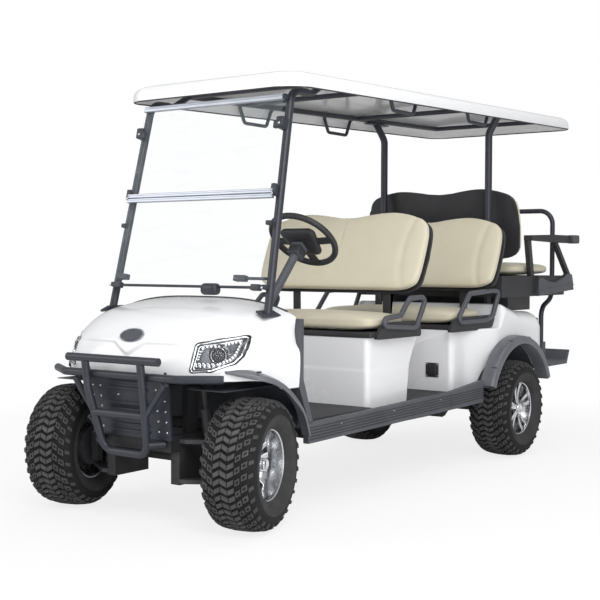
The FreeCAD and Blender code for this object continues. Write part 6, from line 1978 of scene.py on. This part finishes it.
    def bead_row(self, beads: Patch, side: int, line: Array, middle: Array) -> None:
        """Adds the domed beads inside the inner rim, where it runs above the bead floor.

        Args:
            beads: the patch to add to.
            side: 1 on the left, -1 on the right.
            line: points of the inner rim.
            middle: the lamp's middle.
        """
        dome = ((0.0, 0.0058), (0.002, 0.0055), (0.005, 0.0035), (0.006, 0.0))
        aim = np.array([side * 0.35, -1, 0.1])
        length = np.concatenate([[0], np.cumsum(np.linalg.norm(np.diff(line, axis=0), axis=1))])
        for k in range(self.beads):
            s = (k + 0.5) / self.beads * length[-1]
            place = np.array([np.interp(s, length, line[:, i]) for i in range(3)])
            if place[2] >= self.bead_floor:
                turned(beads, dome, place + unit(middle - place) * 0.009 + BACK * 0.004, aim, 12)

    def projector(self, glass: Patch, rims: Patch, dark: Patch, side: int) -> None:
        """Adds the round projector: a dark glass dome, a bright hoop and a black collar.

        Args:
            glass: the patch for the dome.
            rims: the patch for the hoop.
            dark: the patch for the collar.
            side: 1 on the left, -1 on the right.
        """
        eye = self.on_skin(side * self.eye[0], self.eye[1], 0.030)[0][0]
        aim = unit(np.array([side * 0.42, -1.0, 0.0]))
        turn = np.linspace(0, math.pi / 2, 8)
        dome = np.stack([0.020 * np.sin(turn), 0.026 * np.cos(turn)], axis=-1)
        turned(glass, np.vstack([[(-0.012, 0.026)], dome]), eye, aim, 40)
        hoop = (
            (-0.022, 0.0275), (0.004, 0.0275), (0.010, 0.031), (0.012, 0.0335), (0.008, 0.036),
            (-0.022, 0.036),
        )
        turned(rims, hoop, eye, aim, 40, closed=True)
        lip = ((-0.03, 0.036), (0.000, 0.036), (0.006, 0.046), (0.004, 0.049), (-0.03, 0.044))
        turned(dark, lip, eye + BACK * 0.008, aim, 40, closed=True)

    def badge_place(self) -> None:
        """A bare oval pad with a bright rim on the nose."""
        turn = ring(64)
        for name, look, outer, rings in (
            (
                "badge_rim", Look.RAIL, (0.069, 0.0285),
                ((1.0, 0.0), (0.99, 0.006), (0.95, 0.0075), (0.88, 0.006), (0.86, 0.002)),
            ),
            (
                "badge_pad", Look.GREY, (0.0595, 0.0225),
                ((1.0, 0.001), (0.96, 0.0055), (0.8, 0.0065), (0.02, 0.0065)),
            ),
        ):
            lines = []
            for share, level in rings:
                x, z = turn[:, 0] * outer[0] * share, self.badge_height + turn[:, 1] * outer[1] * share
                spot, out = self.on_skin(x, z)
                lines.append(spot + out * (level + 0.001))
            piece(name, Patch().grid(np.array(lines), around=True, ends=True), look, smooth=50)

    def build(self) -> None:
        """Builds the cowl, its lamps and the badge place."""
        self.cowl()
        self.lamps()
        self.badge_place()


def body_of_node(name: str) -> str:
    """The body that carries a node of the frame."""
    parent = frame["nodes"][name].parent
    return next(body for body, empty in frame["bodies"].items() if empty == parent)


def softened(node: str, look: Look, width: float) -> Thing:
    """Puts a copy of a plain solid with rounded edges in its place.

    Args:
        node: the node's name.
        look: its finish.
        width: width of the rounding in metres.

    Returns:
        The new piece.
    """
    mesh = bpy.data.meshes.new(node + "_soft")
    work = bmesh.new()
    work.from_mesh(frame["nodes"][node].data)
    bmesh.ops.remove_doubles(work, verts=work.verts, dist=2e-5)
    bmesh.ops.dissolve_limit(work, angle_limit=math.radians(0.6), verts=work.verts, edges=work.edges)
    work.to_mesh(mesh)
    work.free()
    thing = dressed(node + "_soft", mesh, look, 50, body_of_node(node))
    edge = thing.modifiers.new("edge", "BEVEL")
    edge.width = width
    edge.segments = 3
    edge.limit_method = "ANGLE"
    edge.angle_limit = math.radians(25)
    edge.harden_normals = True
    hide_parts(node)
    return thing


@dataclass
class Roof:
    """Moulded canopy with a rounded brow, a thin underside and a dark edge seal."""

    half: float = 0.528
    front: float = 316.0
    rear: float = 3471.0
    corner: float = 0.110
    height: float = 1.952
    rise: float = 0.093
    outer: Pairs = (
        (0.0010, 0.000), (0.0, 0.004), (0.0008, 0.022), (0.0035, 0.040), (0.0095, 0.054), (0.0200, 0.0645),
        (0.0350, 0.0725), (0.0600, 0.0785), (0.0900, 0.0815), (0.1300, 0.0850), (0.2000, 0.0905),
        (0.3000, 0.0945), (0.4200, 0.0965), (0.5200, 0.0970),
    )
    inner: Pairs = (
        (0.5200, 0.0880), (0.4000, 0.0875), (0.2600, 0.0850), (0.1300, 0.0770), (0.0800, 0.0725),
        (0.0500, 0.0690), (0.0300, 0.0560), (0.0140, 0.0360), (0.0085, 0.0160), (0.0080, 0.001),
    )

    def ring(self, inset: float, level: float) -> Array:
        """One rounded rectangle of the roof.

        The height over the ground is the roof's height, plus its rise times the share
        of the length from the front, plus the level.

        Args:
            inset: how far it is drawn in.
            level: height over the roof's lower edge.

        Returns:
            The points.
        """
        half = self.half - inset
        corner = min(self.corner, half * 0.95)
        front, rear = row(self.front), row(self.rear)
        flat = rounded(half, front + inset, rear - inset, (corner, corner), 14)
        height = self.height + self.rise * (flat[:, 1] - front) / (rear - front) + level
        return np.column_stack([flat, height])

    def build(self) -> None:
        """Builds the skin and its seal."""
        rings = [self.ring(*pair) for pair in (*self.outer[::-1], *self.inner[::-1])]
        skin = Patch().grid(np.array(rings), around=True, ends=True)
        thing = piece("roof_skin", skin, Look.BODY, smooth=60)
        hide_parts("roof_shell")
        seal = tube(Patch(), self.ring(0.0045, 0.0005), 0.0045, 8, closed=True)
        piece("roof_seal", seal, Look.DARK, smooth=60)


@dataclass
class Windshield:
    """Cross rails, clamps and clips of the folding windshield."""

    foot: Tuple[float, float, float] = (478, 185, 926)
    head: Tuple[float, float, float] = (433, 419, 1947)
    rod_height: float = 1046
    fold_height: float = 1468
    top_height: float = 1912
    groove: float = 0.0022
    edge_clips: Sequence[Tuple[float, ...]] = (
        (0.985, 1790, 30, 0.020, 0.030, 0.026, 0.006),
        (0.94, 1785, 47, 0.016, 0.010, 0.018, 0.004),
        (0.90, 1046, 44, 0.026, 0.014, 0.014, 0.005),
        (0.97, 1335, 44, 0.014, 0.010, 0.010, 0.003),
        (0.985, 1488, 40, 0.013, 0.014, 0.024, 0.004),
    )

    @property
    def lean(self) -> float:
        """The sheet's lean from upright, in radians."""
        return math.atan2(self.head[1] - self.foot[1], self.head[2] - self.foot[2])

    def spot(self, across: float, z: float, off: float = 46.0) -> Array:
        """A place on the sheet's plane.

        Args:
            across: share of the half width between the pillars.
            z: height in millimetres.
            off: distance ahead of the pillars' middles.

        Returns:
            The place in metres.
        """
        share = (z - self.foot[2]) / (self.head[2] - self.foot[2])
        half = self.foot[0] + (self.head[0] - self.foot[0]) * share
        return vec(half * across, self.foot[1] + (self.head[1] - self.foot[1]) * share - off, z)

    def rail(self, patch: Patch, z: float, tall: float, deep: float = 0.018, reach: float = 0.985) -> None:
        """Adds one cross rail with a shallow groove along its front.

        Args:
            patch: the patch to add to.
            z: its height in millimetres.
            tall: its height across, in metres.
            deep: its depth.
            reach: share of the half width that it spans.
        """
        up = np.array([0, math.sin(self.lean), math.cos(self.lean)])
        line = np.array([self.spot(s * reach, z) for s in np.linspace(-1, 1, 9)])
        t, d, g = tall / 2, deep / 2, self.groove
        upper = [(-d, t - g), (-d + g, t), (d - g, t), (d, t - g), (d, t * 0.22), (d - g, t * 0.12)]
        shape = upper + [(x, -y) for x, y in upper[::-1]]
        tube(patch, line, 1.0, up=up, profile=np.array(shape))

    def build(self) -> None:
        """Builds the rails in place of the plain ones, with their small parts."""
        rails = Patch()
        self.rail(rails, self.top_height, 0.026)
        for gap in (11, -11):
            self.rail(rails, self.fold_height + gap, 0.020)
        thing = piece("shield_rails", rails, Look.RAIL, smooth=30)
        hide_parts("windshield_rails")
        dark, bolts = Patch(), Patch()
        axes = lying(self.lean)
        rod = np.array([self.spot(s * 0.97, self.rod_height) for s in np.linspace(-1, 1, 9)])
        tube(dark, rod, 0.0065, 16)
        block(dark, vec(168, 160, 1035), (0.047, 0.028, 0.027), 0.020)
        block(dark, self.spot(-0.90, 1085, 20), (0.034, 0.016, 0.014), 0.005, axes)
        tube(dark, np.array([self.spot(s, 1085, 20) for s in np.linspace(0.62, 0.97, 5)]), 0.007, 12)
        block(dark, self.spot(0.66, 1085, 20), (0.034, 0.016, 0.014), 0.005, axes)
        dome = ((0.0, 0.0062), (0.002, 0.006), (0.004, 0.004), (0.005, 0.0))
        for side in SIDES:
            for z in (self.rod_height, self.fold_height, self.top_height):
                block(dark, self.spot(side * 0.985, z, 24), (0.011, 0.020, 0.011), 0.003, axes)
            for across, z, off, *half, radius in self.edge_clips:
                block(dark, self.spot(side * across, z, off), half, radius, axes)
            for z, off in ((1790, 60), (self.fold_height, 57), (self.rod_height, 57)):
                turned(bolts, dome, self.spot(side * 0.985, z, off), np.array([0, -1, 0.1]), 12)
        piece("shield_fittings", dark, Look.FRAME)
        piece("shield_bolts", bolts, Look.BRIGHT, smooth=60)


def evened(values: Array, reach: int) -> Array:
    """Each value's mean with as many neighbours on either side; the ends are repeated."""
    count = 2 * reach + 1
    return np.convolve(np.pad(values, reach, mode="edge"), np.ones(count) / count, mode="valid")


@dataclass
class Coachwork:
    """Seat bases, flares, trims, mats and small body parts."""

    nose: Nose = field(default_factory=Nose)
    flare_upper: Pairs = (
        (-0.34, 0.985), (-0.14, 1.0), (0.07, 0.965), (0.467, 0.825), (0.773, 0.605), (0.993, 0.34),
        (1.12, 0.0),
    )
    flare_lower: Pairs = (
        (-0.34, 0.95), (-0.14, 0.885), (0.033, 0.84), (0.373, 0.72), (0.667, 0.525), (0.903, 0.298),
        (1.033, 0.0),
    )
    flare_section: Pairs = (
        (-0.04, 0.30), (0.0, -0.02), (0.10, 0.02), (0.45, 0.16), (0.80, 0.36), (0.93, 0.46), (0.985, 0.56),
        (1.0, 0.70), (1.0, 0.97), (0.97, 1.0), (0.93, 0.96), (0.92, 0.72), (0.40, 0.50),
    )
    rear_flare: Pairs = (
        (0.5404, 0.3884), (0.5404, 0.4380), (0.5560, 0.4395), (0.6000, 0.4360), (0.6140, 0.4335),
        (0.6215, 0.4280), (0.6246, 0.4180), (0.6250, 0.3960), (0.6220, 0.3895), (0.6160, 0.3884),
    )
    liner: Pairs = ((0.334, 0.3875), (0.5385, 0.3875), (0.5385, 0.3855), (0.334, 0.3855))
    rear_arch: float = 0.389
    screw: Pairs = ((0.0, 0.0050), (0.0012, 0.0047), (0.0024, 0.003), (0.003, 0.0))
    shelf: Pairs = (
        (300.5, 969), (300.5, 790), (324.5, 790), (324.5, 856), (431, 832), (455, 832), (455, 880),
        (431, 886), (348.5, 950),
    )
    bench_side: Pairs = (
        (2932, 951), (3200, 966), (3488, 984), (3461, 1082), (3380, 1088), (3300, 1052), (3180, 1030),
        (3050, 1046), (2934, 1078),
    )
    wing_section: Pairs = ((0.466, 0.0), (0.468, 0.0), (0.486, 0.0), (0.4885, -0.0025), (0.489, -0.006))
    arm_loops: Sequence[Tuple[float, Pairs]] = (
        (
            1060,
            (
                (0.092, 0.77), (0.108, 1.32), (0.283, 1.46), (0.335, 2.1), (0.39, 2.62), (0.538, 2.64),
                (0.562, 2.3), (0.47, 0.66), (0.426, 0.5),
            ),
        ),
        (1940, ((-0.03, 0.6), (0.153, 2.75), (0.487, 2.92), (0.578, 2.85), (0.487, 0.92), (0.37, 0.62))),
    )

    def pod(self) -> None:
        """Front seat base with rounded corners, a waisted rear and a soft ledge.

        At height z the rear edge follows the side outline; the ledge is a smooth step
        of 3 mm outwards between 622 and 598.
        """
        runs = ((412.4, 560, 8), (580, 640, 14), (660, 775, 10))
        levels = np.concatenate([np.linspace(*run) for run in runs])
        rear = np.interp(levels, [412, 600, 690, 775], [1454, 1478, 1522, 1580])
        outer, inner = [], []
        for z, edge in zip(levels, rear):
            s = min(max((622 - z) / 24, 0), 1)
            ledge = 3.0 * s * s * (3 - 2 * s) - 3.0
            for rings, wall, back in ((outer, 0.0, edge), (inner, 6.0, min(edge, 1478) - 6.0)):
                corners = (16 - wall * 0.6, 34 - wall * 0.6)
                flat = rounded(448 + ledge - wall, 1060 - ledge + wall, back, corners, 9)
                rings.append(np.array([vec(x, y, z) for x, y in flat]))
        inner[0] = inner[0] + UP * 0.006
        low = vec(0, 1257, levels[0])
        inside = low + UP * 0.006
        top = outer[-1] + (inner[-1] - outer[-1]) * 0.35
        rings = [low + (outer[0] - low) * 0.01, *outer[:-1], outer[-1] - UP * 0.002, top, *inner[::-1]]
        rings.append(inside + (inner[0] - inside) * 0.01)
        shell = Patch().grid(np.array(rings), around=True, ends=True)
        thing = piece("pod_shell", shell, Look.BODY, smooth=35)
        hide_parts("seat_pod_front")

    def flare_band(self, patch: Patch, side: int) -> None:
        """Adds one front flare: a rounded band that starts as a point on the cowl.

        At share t of its length it stands out from the cowl's side by 4 mm plus 120 mm
        times t to the power 0.7, up to 620 mm from the cart's middle.

        Args:
            patch: the patch to add to.
            side: 1 on the left, -1 on the right.
        """
        count = 60
        top, under = (
            np.column_stack([line[:, 0] * 0.3 + FRONT_AXLE, 0.384 + 0.316 * line[:, 1]])
            for line in (spline(self.flare_upper, count), spline(self.flare_lower, count))
        )
        skin = self.nose.surface(np.linspace(0, 1, 60), np.linspace(0, 0.5, 80)).reshape(-1, 3)
        width = []
        for y, z in top:
            gap = (skin[:, 1] - y) ** 2 + (skin[:, 2] - max(z, 0.62)) ** 2
            near = np.argsort(gap)[:3]
            width.append(min(np.abs(skin[near, 0]).mean() - 0.002, 0.566))
        width = evened(width, 3)
        outer = np.minimum(width + 0.004 + 0.12 * np.linspace(0, 1, count) ** 0.7, 0.620)
        outer = np.maximum(outer, width + 0.003)
        rings = []
        for across, sink in self.flare_section:
            y, z = (top + (under - top) * sink).T
            rings.append(np.column_stack([side * (width + (outer - width) * across), y, z]))
        patch.grid(np.stack(rings, axis=1), around=True, ends=True)

    def bow(self, x: float, radius: float, low: float, high: float, count: int) -> Array:
        """Points of an arc over a rear wheel.

        Args:
            x: its place across.
            radius: its radius about the axle.
            low: where it starts, in degrees from the front.
            high: where it ends.
            count: number of points.

        Returns:
            The points.
        """
        a = np.radians(np.linspace(low, high, count))
        y = row(WHEELBASE) - np.cos(a) * radius
        return np.column_stack([np.full(count, x), y, HUB_HEIGHT + np.sin(a) * radius])

    def flares(self) -> None:
        """Front and rear mudguard lips."""
        lips, ribs = Patch(), Patch()
        for side in SIDES:
            self.flare_band(lips, side)
            bows = [self.bow(side * x, radius, 22.6, 157.4, 90) for x, radius in self.rear_flare]
            lips.grid(np.stack(bows, axis=1), around=True, ends=True)
            for degrees in range(38, 150, 33):
                spot = self.bow(side * 0.588, 0.4345, degrees, degrees, 1)[0]
                block(ribs, spot, (0.030, 0.004, 0.003), 0.0025, lying(math.radians(degrees - 90)))
            block(ribs, np.array([side * 0.578, row(-6), 0.6905]), (0.006, 0.012, 0.004), 0.002)
        thing = piece("flare_lips", lips, Look.FLARE)
        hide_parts("wheel_flares")
        piece("flare_ribs", ribs, Look.DARK, smooth=60)

    def panel_spot(self, x: float, z: float, off: float = 0.0) -> Array:
        """A place on the sloping panel under the nose.

        Args:
            x: its place across.
            z: its height.
            off: distance ahead of the panel's face.

        Returns:
            The place.
        """
        return np.array([x, FRONT_AXLE - 0.18 - 0.034 * (z - 0.384) / 0.3 - off, z])

    def small_parts(self) -> None:
        """Socket cover, tail lamps, sill ribs and screws, guard panel ribs and bolts."""
        dark, screws, red, ends, liner, ribs = (Patch() for _ in range(6))
        socket = np.array([0.326, row(1940), 0.545])
        block(dark, socket + AHEAD * 0.002, (0.041, 0.005, 0.041), 0.004)
        block(dark, socket + AHEAD * 0.008, (0.028, 0.004, 0.030), 0.004)
        for sx in SIDES:
            for sz in SIDES:
                turned(screws, self.screw, socket + (sx * 0.034, -0.006, sz * 0.034), AHEAD, 12)
        for side in SIDES:
            block(ends, vec(side * 529, 3474, 1317), (0.031, 0.042, 0.028), 0.010)
            bows = [self.bow(side * x, radius, 22, 160, 60) for x, radius in self.liner]
            liner.grid(np.stack(bows, axis=1), around=True, ends=True)
            lamp = np.array([side * 0.462, row(3010), 0])
            block(dark, lamp + (0, 0.004, 0.752), (0.026, 0.008, 0.058), 0.005)
            block(red, lamp + (0, 0.012, 0.774), (0.022, 0.010, 0.031), 0.008)
            block(red, lamp + (0, 0.012, 0.715), (0.022, 0.010, 0.017), 0.007)
            for y in range(640, 2080, 480):
                z = 0.395 + 0.035 * (y - 374) / (2104 - 374)
                turned(screws, self.screw, np.array([side * 0.5698, row(y), z]), np.array([side, 0, 0]), 12)
            sill = np.linspace(vec(side * 569.4, 382, 395), vec(side * 569.4, 2096, 430), 12)
            for lift in np.linspace(-0.042, 0.012, 5):
                tube(dark, sill + UP * lift, 0.0034, 8)
        for z in (0.412, 0.440, 0.505, 0.533, 0.600, 0.628):
            block(ribs, self.panel_spot(0, z, 0.001), (0.118, 0.005, 0.007), 0.004)
        places = [(side * x, z) for side in SIDES for z in np.linspace(0.42, 0.65, 6) for x in (0.168, 0.215)]
        places += [(-0.08, 0.47), (0.05, 0.47), (-0.06, 0.57), (0.09, 0.57), (0.0, 0.655), (-0.1, 0.655)]
        for x, z in places:
            turned(screws, self.screw, self.panel_spot(x, z), AHEAD, 10)
        seal = self.nose.surface(np.array([1.0]), np.linspace(0.06, 0.94, 90)).reshape(-1, 3)
        tube(dark, seal + BACK * 0.002, 0.0055, 8)
        piece("dark_details", dark, Look.DARK)
        piece("arm_ends", ends, Look.GREY)
        piece("panel_ribs", ribs, Look.FRAME)
        piece("arch_liners", liner, Look.DARK)
        piece("screws", screws, Look.BRIGHT, smooth=60)
        piece("tail_lenses", red, Look.RED, smooth=50)

    def dash(self) -> None:
        """Dash shelf whose top follows the cowl's rear edge down at the sides.

        With e(x) the height of the cowl's rear edge, heights over 0.79 are scaled by
        (e(x) - 0.022 - 0.79) / 0.179, at least 0.04.
        """
        foot, drop, tall = 0.79, 0.022, 0.179
        edge = self.nose.surface(np.array([1.0]), np.linspace(0, 1, 241)).reshape(-1, 3)
        order = np.argsort(np.abs(edge[:, 0]))
        x = 0.475 * np.sin(np.linspace(-math.pi / 2, math.pi / 2, 61))
        level = np.interp(np.abs(x), np.abs(edge[order, 0]), edge[order, 2])
        scale = np.clip((level - drop - foot) / tall, 0.04, 1.0)
        profile = smooth_path(np.array([vec(0, y, z) for y, z in self.shelf]), 0.012, closed=True, steps=4)
        grid = np.repeat(profile[None], len(x), axis=0)
        grid[..., 0] = x[:, None]
        grid[..., 2] = foot + (grid[..., 2] - foot) * scale[:, None]
        thing = piece("dash_skin", Patch().grid(grid, around=True, ends=True), Look.DARK, smooth=50)
        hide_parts("dash_panel")

    def plain(self) -> None:
        """Plain nodes with their edges rounded."""
        for node, look, width in (
            ("bench_base", Look.DARK, 0.005),
            ("bench_armrests", Look.DARK, 0.009),
            ("foot_platform", Look.GREY, 0.004),
            ("body_trims", Look.GREY, 0.004),
            ("backrest_shells", Look.DARK, 0.004),
            ("seat_pan_front", Look.DARK, 0.009),
            ("seat_pan_middle", Look.DARK, 0.009),
            ("chassis_frame", Look.CHASSIS, 0.003),
            ("knuckle_left", Look.CAST, 0.002),
            ("knuckle_right", Look.CAST, 0.002),
            ("rear_axle", Look.CAST, 0.004),
            ("driver_controls", Look.GREY, 0.004),
            ("floor_mats", Look.MAT, 0.004),
            ("battery_pack", Look.BATTERY, 0.008),
        ):
            softened(node, look, width)

    def tail(self) -> None:
        """Rear body: a row of sections with round shoulders, then hollowed and arched.

        At y the section has half width w(y), foot b(y) and top t(y); its shoulders are
        quarter circles of radius c(y), and both ends are drawn in along quarter ellipses.
        """
        quarter = np.linspace(0, math.pi / 2, 9)
        late = np.linspace(0.1, math.pi / 2, 9)
        y = np.concatenate(
            [1940 + 34 * (1 - np.cos(quarter)), np.linspace(1985, 2950, 60), 3010 - 50 * (1 - np.sin(late))]
        )
        half = np.interp(y, [1940, 2080, 2320, 2920, 3010], [452, 456, 540, 540, 512])
        fine = np.linspace(1900, 3100, 241)
        level = evened(np.interp(fine, [1940, 2378, 2436, 2672, 3010], [775, 775, 918, 864, 850]), 4)
        plan = evened(np.interp(fine, y, half), 4)
        foot = np.interp(y, [1940, 2200, 3010], [412.3, 412.3, 560])
        corner = np.interp(y, [1940, 2378, 2440, 2672, 3010], [14, 14, 60, 80, 118])
        front = 1 - np.sqrt(1 - np.clip((1974 - y) / 34, 0, 1) ** 2)
        rear = 1 - np.sqrt(np.maximum(1 - np.clip((y - 2960) / 50, 0, 1) ** 2, 0))
        half = np.interp(y, fine, plan) - 34 * front - 40 * rear
        top = np.interp(y, fine, level) - 40 * rear
        foot = foot + 20 * rear
        turn = np.linspace(0, math.pi / 2, 12)
        rings = []
        for k, c in enumerate(corner):
            low = np.linspace(foot[k], top[k] - c, 16)[:-1]
            right = np.column_stack([np.full(15, half[k]), low])
            arc = np.column_stack([half[k] - c + c * np.cos(turn), top[k] - c + c * np.sin(turn)])
            one = np.vstack([right, arc])
            middle = np.column_stack([np.linspace(half[k] - c, c - half[k], 14)[1:-1], np.full(12, top[k])])
            x, z = np.vstack([one, middle, one[::-1] * (-1, 1)]).T / 1000
            rings.append(np.column_stack([x, np.full(len(x), row(y[k])), z]))
        thing = piece("tail_shell", Patch().grid(np.array(rings), around=True, ends=True), Look.BODY)
        near, far = row(1952), row(2366)
        well = np.array([(near, 0.47), (row(2200), 0.47), (far, 0.60), (far, 0.81), (near, 0.81)])
        arch = (row(WHEELBASE), HUB_HEIGHT) + self.rear_arch * ring(96)
        tools = [cutter("tail_well", well, 0, -0.44, 0.44)]
        tools += [cutter("tail_arch", arch, 0, side * 0.332, side * 0.8) for side in SIDES]
        carve(thing, tools)
        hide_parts("rear_body")

    def skirts(self) -> None:
        """Scooped side plates of the rear bench with a raised ridge, over the plain ones."""
        plates = Patch()
        face = smooth_path(np.array([vec(0, y, z) for y, z in self.bench_side]), 0.040, closed=True, steps=6)
        inwards = unit(face.mean(axis=0) - face)
        for side in SIDES:
            rings = []
            for x, inset in ((0.506, 0.0), (0.529, 0.0), (0.5325, 0.002), (0.534, 0.005)):
                rings.append(face + inwards * inset + ACROSS * side * x)
            plates.grid(np.array(rings), around=True, ends=True)
            heights = ((2950, 985), (3100, 991), (3300, 1003), (3470, 1016))
            ridge = np.array([vec(side * 533, y, z) for y, z in heights])
            tube(plates, spline(ridge, 24), 0.0065, 10)
        piece("bench_plates", plates, Look.GREY, smooth=50)

    def arms(self) -> None:
        """Smooth tube loops on dark wing plates at the ends of the two front benches."""
        tubes, wings = Patch(), Patch()
        for start, loop in self.arm_loops:
            front = start + 880 * loop[0][0] - 24
            rear = start + 880 * max(along for along, _ in loop[-2:]) + 40
            shape = (
                (front - 30, 783), (front + 30, 838), (front + 70, 850), (rear - 70, 850), (rear, 826),
                (rear + 6, 783), (rear, 768), (front - 26, 768),
            )
            face = smooth_path(np.array([vec(0, y, z) for y, z in shape]), 0.012, closed=True, steps=4)
            inwards = unit(face.mean(axis=0) - face)
            for side in SIDES:
                corners = np.array([vec(side * 492, start + 880 * y, 775 + 75 * z) for y, z in loop])
                path = smooth_path(corners, 0.026, closed=True)
                keep = np.linalg.norm(path - np.roll(path, 1, axis=0), axis=1) > 1e-5
                tube(tubes, path[keep], 0.0145, 18, closed=True)
                rings = []
                for x, inset in self.wing_section:
                    rings.append(face + inwards * inset + ACROSS * side * x)
                wings.grid(np.array(rings), around=True, ends=True)
        thing = piece("arm_tubes", tubes, Look.GREY_TUBE, smooth=60)
        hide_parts("armrests")
        piece("arm_wings", wings, Look.DARK)

    def build(self) -> None:
        """Builds the coachwork."""
        self.pod()
        self.flares()
        self.dash()
        self.small_parts()
        self.tail()
        self.skirts()
        self.arms()
        self.plain()


@dataclass
class Studio:
    """Pale floor, soft lamps, white backdrop and the photograph's camera."""

    camera: Tuple[float, float, float] = (3.6144, -5.5487, 1.1595)
    yaw: float = 35.7725
    pitch: float = -1.8587
    roll: float = 0.1923
    lens: float = 70.08

    def floor_material(self) -> bpy.types.Material:
        """White to the camera, with the cart's soft shadow kept.

        Returns:
            The material.
        """
        f = Finish("floor_white")
        f.set(Base_Color=rgb(0.86, 0.86, 0.865), Roughness=0.9)
        f.bump(f.noise(60.0, 2.0), 0.02, 0.0005)
        x, y, _ = f.across()
        away = ((x * x + y * y) ** 0.5).step(2.2, 4.2)
        camera = f.add("LightPath", output="Is Camera Ray")
        seen = camera * (0.80 + 0.20 * away)
        glow = f.add("Emission", inputs={"Color": rgb(1.0, 1.0, 1.0), "Strength": 1.0})
        both = f.add(
            "MixShader", inputs={0: seen, 1: Node(f.tree, f.shader.outputs[0]), 2: glow}
        )
        f.tree.links.new(both.socket, f.output.inputs["Surface"])
        return f.material

    def world(self) -> None:
        """An even grey sky that is white to the camera and to glass."""
        world = bpy.data.worlds.new("studio")
        bpy.context.scene.world = world
        world.use_nodes = True
        tree = world.node_tree
        background = tree.nodes["Background"]
        rays = tree.nodes.new("ShaderNodeLightPath")
        node = tree.nodes.new("ShaderNodeMath")
        node.operation = "MAXIMUM"
        tree.links.new(rays.outputs["Is Camera Ray"], node.inputs[0])
        tree.links.new(rays.outputs["Is Transmission Ray"], node.inputs[1])
        white = Node(tree, node.outputs[0])
        strength = white * 0.5 + 0.5
        background.inputs["Color"].default_value = rgb(1.0, 1.0, 1.0)
        tree.links.new(strength.socket, background.inputs["Strength"])

    def lamp(
        self, name: str, place: Sequence[float], aim: Sequence[float], size: float, power: float
    ) -> None:
        """Adds one square soft lamp.

        Args:
            name: its name.
            place: where it stands.
            aim: where it points.
            size: its side in metres.
            power: its power in watts.
        """
        data = bpy.data.lights.new(name, "AREA")
        data.size = size
        data.energy = power
        thing = linked(name, data)
        thing.location = place
        thing.rotation_mode = "QUATERNION"
        thing.rotation_quaternion = (Vector(aim) - Vector(place)).to_track_quat("-Z", "Y")

    def floor(self) -> None:
        """A square floor just under the tyres."""
        size, level = 40.0, -0.0005
        mesh = bpy.data.meshes.new("floor")
        corners = [(-size, -size, level), (size, -size, level), (size, size, level), (-size, size, level)]
        mesh.from_pydata(corners, [], [(0, 1, 2, 3)])
        floor = linked("floor", mesh)
        mesh.materials.append(self.floor_material())

    def build(self) -> None:
        """Builds floor, lamps, world and camera."""
        self.floor()
        self.world()
        self.lamp("key", (5.0, -5.0, 5.5), (0, -0.3, 0.8), 4.0, 300)
        self.lamp("fill", (-4.5, -6.0, 3.5), (0, -0.5, 0.8), 4.0, 120)
        self.lamp("top", (0.5, 0.5, 6.0), (0, 0, 0.8), 5.0, 130)
        self.lamp("low", (4.2, -3.2, 0.9), (0, 0.2, 0.8), 3.0, 70)
        data = bpy.data.cameras.new("camera")
        data.lens = self.lens
        data.sensor_width = 36.0
        data.clip_end = 200.0
        camera = linked("camera", data)
        camera.location = self.camera
        camera.rotation_mode = "XYZ"
        turn = Euler((math.radians(90 + self.pitch), 0.0, math.radians(self.yaw)), "XYZ").to_matrix()
        spin = Euler((0.0, 0.0, math.radians(self.roll)), "XYZ").to_matrix()
        camera.rotation_euler = (turn @ spin).to_euler()
        bpy.context.scene.camera = camera
        bpy.context.scene.view_settings.view_transform = "Standard"


LOOK_NODES = {
    Look.CAST: ("knuckle_left", "knuckle_right", "rear_axle", "suspension"),
    Look.BRIGHT: ("tie_rod",),
    Look.CHASSIS: ("chassis_frame",),
    Look.BATTERY: ("battery_pack",),
    Look.GREY: ("floor_pan", "body_trims", "wheel_flares", "bench_base", "bench_armrests", "foot_platform"),
    Look.DARK: (
        "dash_panel", "seat_pan_front", "seat_pan_middle", "backrest_shells", "driver_controls",
        "steering_wheel",
    ),
    Look.FRAME: ("inner_panels", "brush_guard", "canopy_struts", "roof_frame", "grab_hoop"),
    Look.MAT: ("floor_mats",),
    Look.BODY: ("front_cowl", "roof_shell", "seat_pod_front", "rear_body"),
    Look.LAMP: ("lamps",),
    Look.PANE: ("windshield_panes",),
    Look.RAIL: ("windshield_rails",),
    Look.GREY_TUBE: ("armrests",),
    Look.TYRE: ("tyre_fl", "tyre_fr", "tyre_rl", "tyre_rr"),
    Look.ALLOY: ("rim_fl", "rim_fr", "rim_rl", "rim_rr"),
    Look.VINYL: ("seat_cushion_front", "seat_cushion_middle", "backrest_cushions", "bench_cushion"),
}
NODE_LOOKS = {node: look for look, nodes in LOOK_NODES.items() for node in nodes}


def dress_nodes() -> None:
    """Gives every node of the frame its finish."""
    for name, thing in frame["nodes"].items():
        look = finish_of(NODE_LOOKS[name])
        if not thing.data.materials:
            thing.data.materials.append(look)
        for slot in thing.material_slots:
            slot.material = look
        log.info("node %s: %s", name, look.name)


def main() -> None:
    """Builds the scene, one sub-assembly after another."""
    Studio().build()
    dress_nodes()
    Wheels().build()
    Tubes().build()
    Cushions().build()
    SteeringWheel().build()
    Nose().build()
    Roof().build()
    Windshield().build()
    Coachwork().build()


if __name__ == "__main__":
    main()
